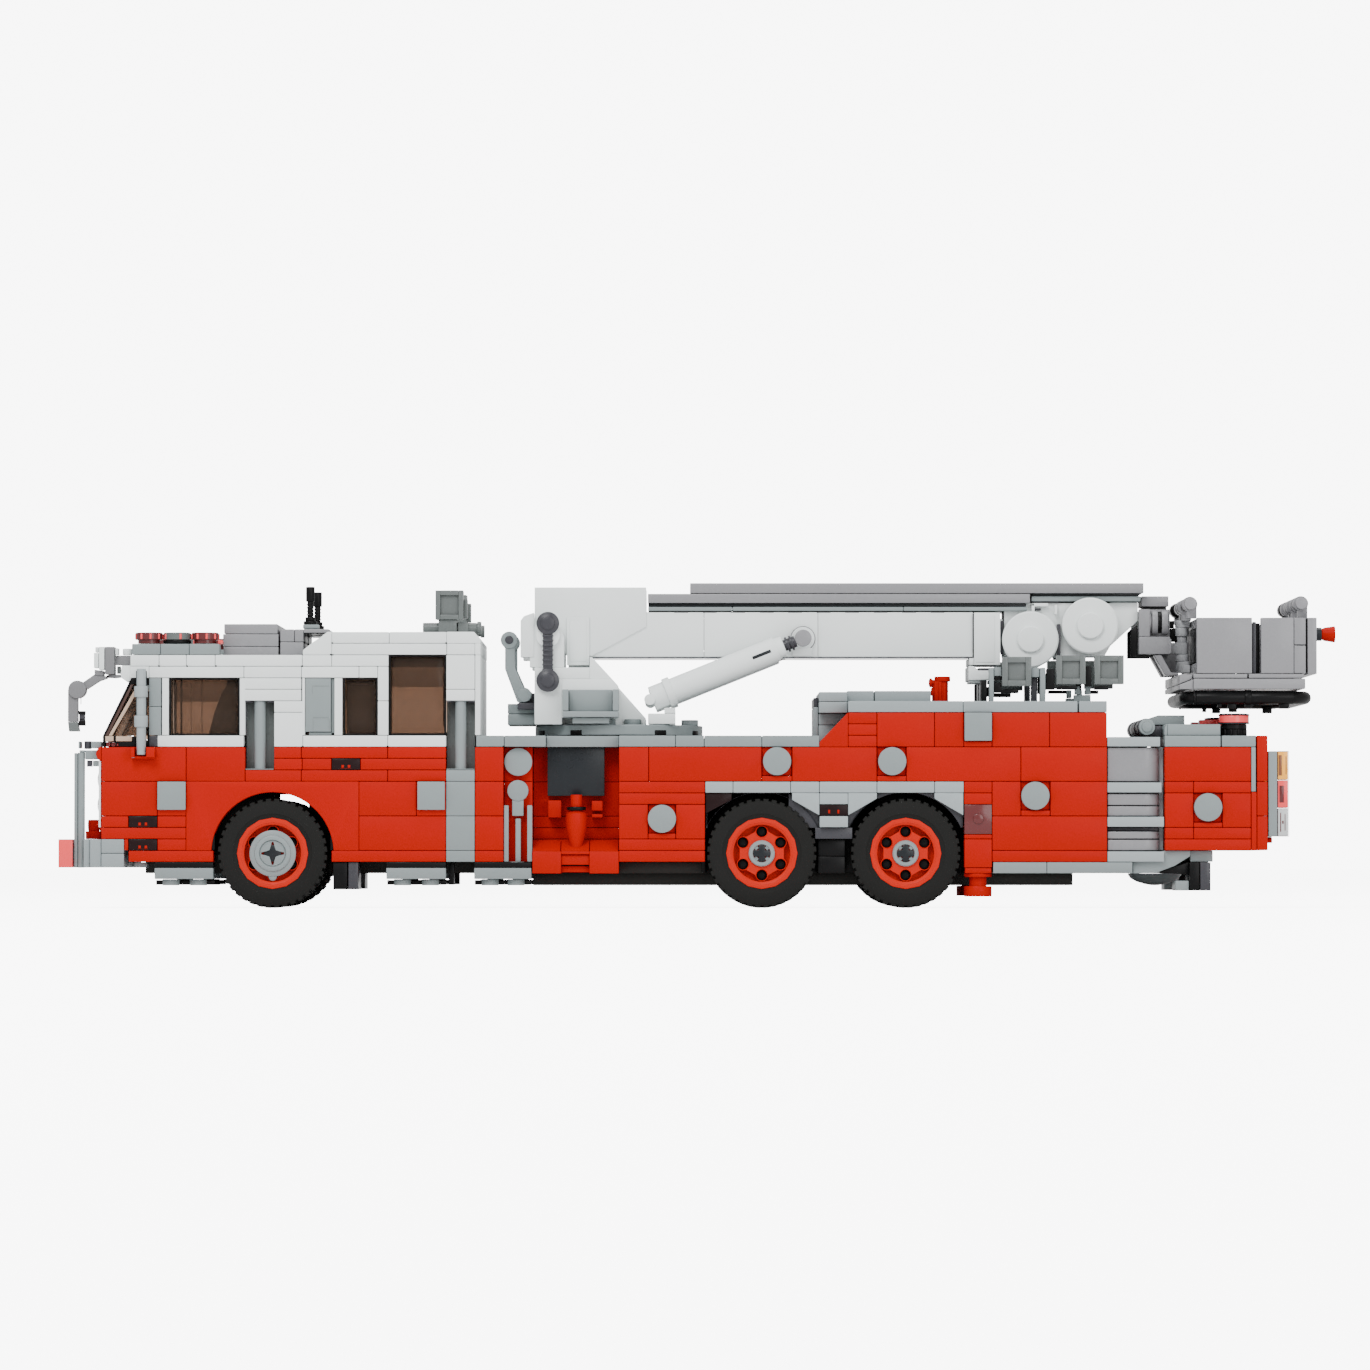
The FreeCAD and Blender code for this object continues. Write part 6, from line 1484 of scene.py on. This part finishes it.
fixedRail = {
    "strip": [(-1.97, 1, 0, 1.42, 22.02, 22.42), (1, 7, 0, 1.42, 22.02, 22.42),
              (7, 11.35, 0, 1.42, 22.02, 22.42)],
    "core": [(-1.97, 11.33, 0, 1.25, 22.42, 22.72)],
    "rail": [(-1.98, 11.45, 0, 1.5, 22.72, 23.56)],
}
beam = {
    "inner": [(-1.4, 10.5, 0, 1.13, 18.76, 21.39)],
    "casing": [([(10.55, 18.1), (10.55, 22.75), (14.28, 22.75), (14.28, 18.95), (14.08, 18.1)], 0, 1.15)],
    "tip": [([(14.28, 18.95), (14.28, 22.82), (15.26, 22.82), (15.26, 21.2), (15.1, 20.85)], 0, 1.0),
            ([(15.1, 20.6), (15.1, 22.0), (15.75, 22.0), (15.95, 21.5), (15.95, 20.6)], 0, 0.5)],
    "bits": [(11.5, 11.62, 1.0, 1.42, 21.95, 22.75), (11.5, 12.1, 1.0, 1.42, 22.42, 22.75),
             (12.3, 12.42, 1.15, 1.4, 21.7, 22.6)],
    # dark grey strips that paint the shade in the inner beam's gaps
    "dark": [(11.6, 11.85, 1.0, 1.3, 22.08, 22.3), (11.55, 12.5, 1.0, 1.3, 22.78, 22.9),
             (12.38, 12.52, 1.15, 1.5, 17.9, 20.9), (10.42, 10.5, 1.1, 1.4, 18.2, 21.2)],
}
reels = {"places": [(11.45, 19.52, 7.9), (13.55, 20.72, 7.9)], "y": 9.05, "drum": 3.8, "cap": 3.75}
topRail = {
    "rail": [(-0.5, 15.44, 0, 1.5, 23.58, 24.5)],
    "strip": [(11.5, 15.35, 0, 1.3, 22.88, 23.36)],
    "core": [(11.5, 15.3, 0, 1.2, 23.36, 23.6)],
}


def reelDiscs(work):
    drum, cap = reels["drum"], reels["cap"]
    for n, k, radius in reels["places"]:
        for side in (-1, 1):
            addTurned(work, Vector((across(n), side * reels["y"] * millimetre, up(k))), (0, side, 0),
                      inMetres([(0, 0), (0, drum), (2.4, drum), (2.5, radius - 0.35), (2.75, radius),
                                (4.1, radius), (4.45, radius - 0.4), (4.45, cap + 0.2), (4.4, cap),
                                (5.3, cap), (5.6, cap - 0.3), (5.6, 0)]), 96)


def makeBoom():
    build("boom_white_bricks", "boom", white, "white", ["lower_boom"], plates=boom["head"],
          sides=boom["headTop"] + boom["boxes"] + boom["walls"] + boom["collar"] + boom["eyeBrackets"],
          discs=boom["bosses"])
    build("boom_joint_lines_and_painted_stud_shadows", "boom", darkGrey, "dark_grey", (), lineEdge, sides=boom["lines"],
          discs=boom["bossRims"])
    build("fixed_rail_strip", "boom", lightGrey, "light_grey", (), sides=fixedRail["strip"])
    build("fixed_rail_core", "boom", slate, "dark_grey", (), slimEdge, sides=fixedRail["core"])
    build("fixed_rail_plates", "boom", midGrey, "light_grey", ["fixed_rail"], sides=fixedRail["rail"])
    build("inner_beam_bricks", "extension", white, "white", ["inner_beam"],
          sides=beam["inner"] + beam["bits"],
          plates=beam["casing"] + beam["tip"])
    build("inner_beam_gaps", "extension", darkGrey, "dark_grey", (), fineEdge, sides=beam["dark"])
    build("reel_discs", "extension", white, "white", ["hose_reels"], extras=[reelDiscs])
    build("sliding_rail_plates", "extension", midGrey, "light_grey", ["top_rail"], sides=topRail["rail"])
    build("sliding_rail_strip", "extension", lightGrey, "light_grey", (), sides=topRail["strip"])
    build("sliding_rail_core", "extension", slate, "dark_grey", (), fineEdge, sides=topRail["core"])
    print("boom done")


makeBoom()

# Lift cylinders, laid from the turret's feet to the eyes on the sleeve.

cylinder = {
    "foot": (-1.9, 14.2), "eye": (3.47, 19.6), "y": 16.4,
    "barrel": [(3.5, 0), (3.5, 2.4), (0.9, 2.4), (0.7, 2.6), (0.7, 3.3), (0.9, 3.45), (4.9, 3.45),
               (5.0, 4.0), (5.1, 4.1), (6.9, 4.1), (7.0, 4.0), (7.1, 3.45), (38.0, 3.45), (38.3, 3.25),
               (38.3, 2.9), (40.3, 2.9), (40.5, 2.7), (40.5, 1.75), (5, 1.75), (5, 0)],
    "rod": [(6, 0), (6, 1.6), (41.2, 1.6), (41.3, 2.2), (41.8, 2.2), (41.9, 1.6), (42.4, 1.6),
            (42.5, 2.2), (43, 2.2), (43.1, 1.6), (44, 1.6), (44, 0)],
    "slot": (31, 36.5), "slotOut": 3.2, "slotSection": (0.7, 0.9),
    "eyeDisc": [(3.47, 19.6, 2.35, 14.9, 17.9)],
}


def cylinderFrame(side):
    foot = Vector((across(cylinder["foot"][0]), side * cylinder["y"] * millimetre, up(cylinder["foot"][1])))
    eye = Vector((across(cylinder["eye"][0]), side * cylinder["y"] * millimetre, up(cylinder["eye"][1])))
    return foot, (eye - foot).normalized()


def alongCylinder(work, profile):
    for side in (-1, 1):
        foot, axis = cylinderFrame(side)
        addTurned(work, foot, axis, inMetres(profile), 48)


def barrelSlots(work):
    start, end = cylinder["slot"]
    for side in (-1, 1):
        foot, axis = cylinderFrame(side)
        out = Vector((0, side * cylinder["slotOut"] * millimetre, 0))
        addTurnedBlock(work, foot + axis * (start + end) / 2 * millimetre + out,
                       math.atan2(-axis.z, axis.x), "Y", (0, 0, 0), (end - start, *cylinder["slotSection"]))


def makeCylinders():
    build("lift_barrel_tubes", "barrels", white, "white", ["lift_barrels"],
          extras=[lambda work: alongCylinder(work, cylinder["barrel"])])
    build("lift_barrel_slots", "barrels", slate, "dark_grey", (), fineEdge, extras=[barrelSlots])
    build("lift_rod_bars", "rods", darkGrey, "dark_grey", ["lift_rods"], fineEdge,
          extras=[lambda work: alongCylinder(work, cylinder["rod"])])
    build("lift_rod_eyes", "rods", midGrey, "light_grey", (), fineEdge, discs=cylinder["eyeDisc"])
    print("cylinders done")


makeCylinders()

# Basket arm, basket and the hose slung below it.

arm = {
    "cheeks": [([(15.27, 19.8), (15.27, 22.2), (15.66, 22.2), (15.66, 19.8)], 1.05, 1.48),
               ([(15.66, 19.8), (15.66, 22.2), (16.38, 22.2), (16.38, 19.8)], 0.55, 1.1),
               ([(15.27, 18.25), (15.27, 19.78), (16.36, 19.78), (16.36, 18.25)], 1.05, 1.48)],
    "cap": [(15.38, 16.35, 0, 1.0, 22.45, 23.4), (16.3, 16.42, 0, 1.48, 18.3, 19.6)],
    "block": [(16.4, 16.84, 0, 0.3, 18.33, 19.36)],
    "bracket": [([(15.8, 18.2), (16.06, 18.2), (16.4, 16.65), (16.66, 16.6), (16.66, 16.38), (16.2, 16.38)],
                 0.5, 1.4),
                ([(15.9, 18.36), (16.62, 18.36), (16.62, 16.6), (16.36, 16.62)], 0.3, 0.5)],
    "stack": [(15.52, 15.72, 2.7), (15.74, 15.94, 3.45), (16.08, 16.3, 3.45)],
    "stackDark": [(15.94, 16.08, 3.0)], "stackLine": (1.12, 21.05),     # m, k of the stacks' middle
    "black": [([(15.0, 18.02), (15.0, 20.3), (15.2, 20.8), (15.24, 20.8), (15.24, 18.24), (15.82, 18.2),
                (15.78, 18.02)],
               1.02, 1.11)],
    "knuckles": [(16.84, 17.7, 18.31, 2.25), (16.84, 18.33, 19.36, 2.15), (16.84, 19.36, 19.9, 1.8),
                 (16.84, 19.9, 20.66, 2.25)],
    # black blocks that paint the shadow beside the hinge column and under the arm's cap
    "shadow": [(16.32, 16.7, 0, 0.2, 19.4, 20.6), (16.32, 16.6, 0, 0.2, 20.6, 21.3),
               (15.45, 16.28, 0, 0.9, 21.9, 22.45)],
}
cage = {
    "sides": [
        (17.12, 19.05, 3.5, 4, 16.38, 21.25), (19.35, 20.5, 3.5, 4, 16.38, 21.25),
        (20.5, 20.92, 3.5, 3.97, 16.38, 18.83), (20.5, 20.92, 3.5, 3.97, 18.87, 21.25),
        (20.97, 21.3, 0, 2, 16.3, 21.25), (20.97, 21.3, 2, 4, 16.3, 21.25),
        (20.6, 20.97, 0, 3.5, 16.35, 21.0), (17.0, 18.88, 3.3, 4, 15.97, 16.36),
        (18.92, 20.86, 3.3, 4, 15.97, 16.36), (17.0, 20.9, 2, 4, 15.02, 15.95),
        (17.0, 20.9, 0, 2, 15.02, 15.95), (17.4, 20.6, 0, 3.3, 15.97, 16.36),
        (17.16, 17.46, 0, 3.4, 16.36, 17.4), (17.16, 17.46, 0, 3.4, 20.4, 21.25),
        (17.3, 17.46, 0, 3.4, 17.4, 20.4),
    ],
    "plates": [([(16.53, 15.02), (16.53, 15.42), (17.0, 15.88), (17.0, 15.02)], 0, 3.9),
               ([(16.53, 15.48), (16.53, 16.32), (16.98, 16.32), (16.98, 15.93)], 0, 3.8)],
    "ears": [(16.9, 17.15, 0, 0.3, 16.67, 17.38), (16.9, 17.15, 0, 0.3, 20.68, 21.25)],
    "knuckles": [(16.9, 20.67, 21.3, 2.2), (16.9, 16.67, 17.69, 2.2)],
}
cageDark = {
    "plates": [([(16.57, 15.2), (16.57, 15.8), (16.95, 16.1), (16.95, 15.6)], 0, 3.7)],
    "sides": [(17.14, 17.3, 0, 3.5, 17.42, 20.38), (19.05, 19.35, 3.3, 3.6, 16.4, 20.8),
              (20.92, 20.97, 0, 3.9, 16.4, 21.2)],
}
cageSlot = {"sides": [(19.07, 19.2, 3.6, 3.8, 16.4, 20.9)]}
rails = {
    "places": [(16.92, 22.45), (20.78, 22.5)], "radius": 1.2, "ring": 2.1, "end": 1.65,
    "lines": [(28, 24)], "dark": [(24, 22.5)], "front": [(6.5, 2.5)], "rear": [(18, 14.5), (5, 1.5)],
    "tips": [(31.2, 28)],
}
nozzle = {"mount": [(21.3, 0), (21.3, 1.5), (21.45, 1.9), (21.8, 1.9), (21.8, 0)],
          "cone": [(21.8, 0), (21.8, 1.5), (21.9, 1.9), (22.15, 2.2), (22.26, 2.3), (22.28, 2.2),
                   (22.28, 1.6), (22.0, 1.2), (22.0, 0)],
          "k": 20.1}
hose = {
    "n0": 16.78, "n1": 20.95, "k": 14.3, "y": 29.9, "bend": 6.0, "radius": 1.8,
    "sleeves": ((17.1, 18.8, 1.92), (19.0, 20.5, 1.92), (18.8, 19.03, 2.12), (17.02, 17.1, 2.05)),
    "clips": [(17.85, 18.0, 3.5, 3.8, 13.4, 14.0), (18.2, 18.5, 3.5, 3.8, 13.3, 13.8),
              (18.8, 19.1, 3.5, 3.8, 13.4, 14), (20.0, 20.35, 3.5, 3.8, 13.3, 13.9)],
}


def stacks(rows):
    return [((n0, *arm["stackLine"]), (n1, *arm["stackLine"]), radius) for n0, n1, radius in rows]


def knuckles(rows):
    return [((n, 0, k0), (n, 0, k1), radius) for n, k0, k1, radius in rows]


def railRings(rows, places, radius=rails["ring"]):
    out = []
    for n, k in places:
        for y0, y1 in rows:
            out.append((n, k, radius, y1, y0))
    return out


def alongRow(work, profile, k):
    addTurned(work, spot(0, 0, k), (1, 0, 0), [(n * studPitch, r * millimetre) for n, r in profile], 40)


def hosePath():
    # The hose's centre line, a rectangle with rounded corners seen from above
    x0, x1 = across(hose["n0"]), across(hose["n1"])
    y, bend, z = hose["y"] * millimetre, hose["bend"] * millimetre, up(hose["k"])
    corners = [(x1 - bend, y - bend, 0), (x0 + bend, y - bend, 90), (x0 + bend, bend - y, 180),
               (x1 - bend, bend - y, 270)]
    points = []
    for cx, cy, start in corners:
        for step in range(9):
            turn = math.radians(start + step * 90 / 8)
            points.append(Vector((cx + bend * math.cos(turn), cy + bend * math.sin(turn), z)))
    return points


def addLoop(work, points, radius, steps=16):
    # A round section carried along a closed level path
    mesh = work["turned"]
    count = len(points)
    rings = []
    for i, point in enumerate(points):
        ahead = (points[(i + 1) % count] - points[i - 1]).normalized()
        out = Vector((ahead.y, -ahead.x, 0))
        rings.append([mesh.verts.new(point + out * radius * math.cos(a)
                                     + Vector((0, 0, radius * math.sin(a))))
                      for a in (math.tau * s / steps for s in range(steps))])
    for i in range(count):
        ring, after = rings[i], rings[(i + 1) % count]
        for s in range(steps):
            mesh.faces.new((ring[s], after[s], after[(s + 1) % steps], ring[(s + 1) % steps]))


def hoseSleeves(work):
    for side in (-1, 1):
        for n0, n1, radius in hose["sleeves"]:
            ends = [Vector((across(n), side * hose["y"] * millimetre, up(hose["k"]))) for n in (n0, n1)]
            addBar(work, *ends, radius * millimetre)


def makeBasket():
    build("arm_grey_bricks", "basket_arm", midGrey, "light_grey", ["basket_bracket"], sides=arm["cap"],
          plates=arm["cheeks"] + arm["bracket"], bars=stacks(arm["stack"]))
    build("arm_hinge_knuckles", "basket_arm", paintedLightHingeGrey, "light_grey", (), slimEdge, sides=arm["block"],
          middleBars=knuckles(arm["knuckles"]))
    build("arm_black_parts_and_painted_shadows", "basket_arm", black, "black", (), fineEdge, plates=arm["black"],
          bars=stacks(arm["stackDark"]),
          sides=arm["shadow"])
    build("basket_panels", "basket", midGrey, "light_grey", ["basket"], sides=cage["sides"],
          plates=cage["plates"])
    build("basket_hinge_ears", "basket", paintedLightHingeGrey, "light_grey", (), slimEdge, sides=cage["ears"],
          middleBars=knuckles(cage["knuckles"]))
    # black gaps, and black rings that paint the shade on the rails' inner clips
    build("basket_gaps_and_painted_shade", "basket", black, "black", (), fineEdge, sides=cageDark["sides"],
          plates=cageDark["plates"],
          discs=railRings(rails["dark"], rails["places"]))
    # the rail bars between the clip rings are grey parts drawn dark grey as painted shade
    build("basket_slot_and_painted_shade_bars", "basket", darkGrey, "dark_grey", (), fineEdge, sides=cageSlot["sides"],
          bars=[((n, 0, k), (n, 3.55, k), rails["radius"]) for n, k in rails["places"]])
    places, lines = rails["places"], rails["lines"]
    build("basket_rails", "basket", midGrey, "light_grey", (), smallEdge,
          discs=railRings(lines, places) + railRings(rails["front"], places[:1])
          + railRings(rails["rear"], places[1:]) + railRings(rails["tips"], places, rails["end"]),
          sides=[(n - 0.1, n + 0.24, y1 / 8, y0 / 8, 21.2, k) for n, k in places
                 for y0, y1 in lines + rails["front"]])
    build("nozzle_mount", "basket", slate, "dark_grey", (), fineEdge,
          extras=[lambda work: alongRow(work, nozzle["mount"], nozzle["k"])])
    build("nozzle_cone", "basket", red, "red", (), fineEdge,
          extras=[lambda work: alongRow(work, nozzle["cone"], nozzle["k"])])
    build("hose_loop", "basket", black, "black", ["basket_hose"], fineEdge,
          extras=[lambda work: addLoop(work, hosePath(), hose["radius"] * millimetre), hoseSleeves],
          sides=hose["clips"])
    print("basket done")


makeBasket()

# Camera, light and floor.

stage = {
    "eye": (-4.67, -2032.0, 11.4), "pitch": 1.449, "lens": 189.1,   # mm, degrees, mm
    "paper": 8.3, "ambient": 0.95, "through": 2.9,   # the paper, its light, and both seen through panes
    # how much dimmer the floor glows, and its half width in m
    "floorLoss": 1.3, "floorReach": 30.0,
    "key": {"place": (-500, -1500, 1300), "size": 900, "power": 25},
    "fill": {"place": (900, -1700, 500), "size": 1100, "power": 11.5},
    "top": {"place": (0, 200, 1500), "size": 1200, "power": 14},
}


def aimed(place, target):
    return (Vector(target) - Vector(place)).to_track_quat("-Z", "Y").to_euler()


def addArea(name, spec):
    light = bpy.data.lights.new(name, "AREA")
    light.shape = "DISK"
    light.size = spec["size"] * millimetre
    light.energy = spec["power"]
    lamp = bpy.data.objects.new(name, light)
    lamp.location = [v * millimetre for v in spec["place"]]
    lamp.rotation_euler = aimed(spec["place"], (0, 0, 40))
    bpy.context.scene.collection.objects.link(lamp)


def paperMaterial():
    # Pale paper that is seen bright and takes a faint shadow
    material, tree, shader = newMaterial("studio paper")
    shader.inputs["Base Color"].default_value = (0.8, 0.8, 0.8, 1.0)
    shader.inputs["Roughness"].default_value = 0.95
    shader.inputs["Specular IOR Level"].default_value = 0.0
    seen = addNode(tree, "ShaderNodeLightPath").outputs["Is Camera Ray"]
    glow = addNode(tree, "ShaderNodeMath", {0: seen}, operation="MULTIPLY")
    glow.inputs[1].default_value = stage["paper"] - stage["floorLoss"]
    shader.inputs["Emission Color"].default_value = (1.0, 1.0, 1.0, 1.0)
    tree.links.new(glow.outputs[0], shader.inputs["Emission Strength"])
    return material


def makeStage():
    camera = bpy.data.cameras.new("camera")
    camera.lens = stage["lens"]
    camera.sensor_width = 36.0
    camera.clip_start, camera.clip_end = 0.1, 100.0
    view = bpy.data.objects.new("camera", camera)
    view.location = [v * millimetre for v in stage["eye"]]
    view.rotation_euler = (math.radians(90 + stage["pitch"]), 0, 0)
    bpy.context.scene.collection.objects.link(view)
    bpy.context.scene.camera = view
    mesh = bpy.data.meshes.new("studio_floor")
    reach = stage["floorReach"]
    corners = [(-reach, -reach, 0), (reach, -reach, 0), (reach, reach, 0), (-reach, reach, 0)]
    mesh.from_pydata(corners, [], [(0, 1, 2, 3)])
    mesh.materials.append(paperMaterial())
    floor = bpy.data.objects.new("studio_floor", mesh)
    bpy.context.scene.collection.objects.link(floor)
    world = bpy.data.worlds.new("studio")
    bpy.context.scene.world = world
    world.use_nodes = True
    tree = world.node_tree
    rays = addNode(tree, "ShaderNodeLightPath").outputs
    unseen = addNode(tree, "ShaderNodeMapRange", {"Value": rays["Is Transmission Ray"]},
                     in_To_Min=stage["ambient"], in_To_Max=stage["through"])
    strength = addNode(tree, "ShaderNodeMapRange",
                       {"Value": rays["Is Camera Ray"], "To Min": unseen.outputs[0]},
                       in_To_Max=stage["paper"])
    back = tree.nodes["Background"]
    back.inputs["Color"].default_value = (1.0, 1.0, 1.0, 1.0)
    tree.links.new(strength.outputs[0], back.inputs["Strength"])
    for name in ("key", "fill", "top"):
        addArea(name + "_light", stage[name])
    print("stage done")


makeStage()
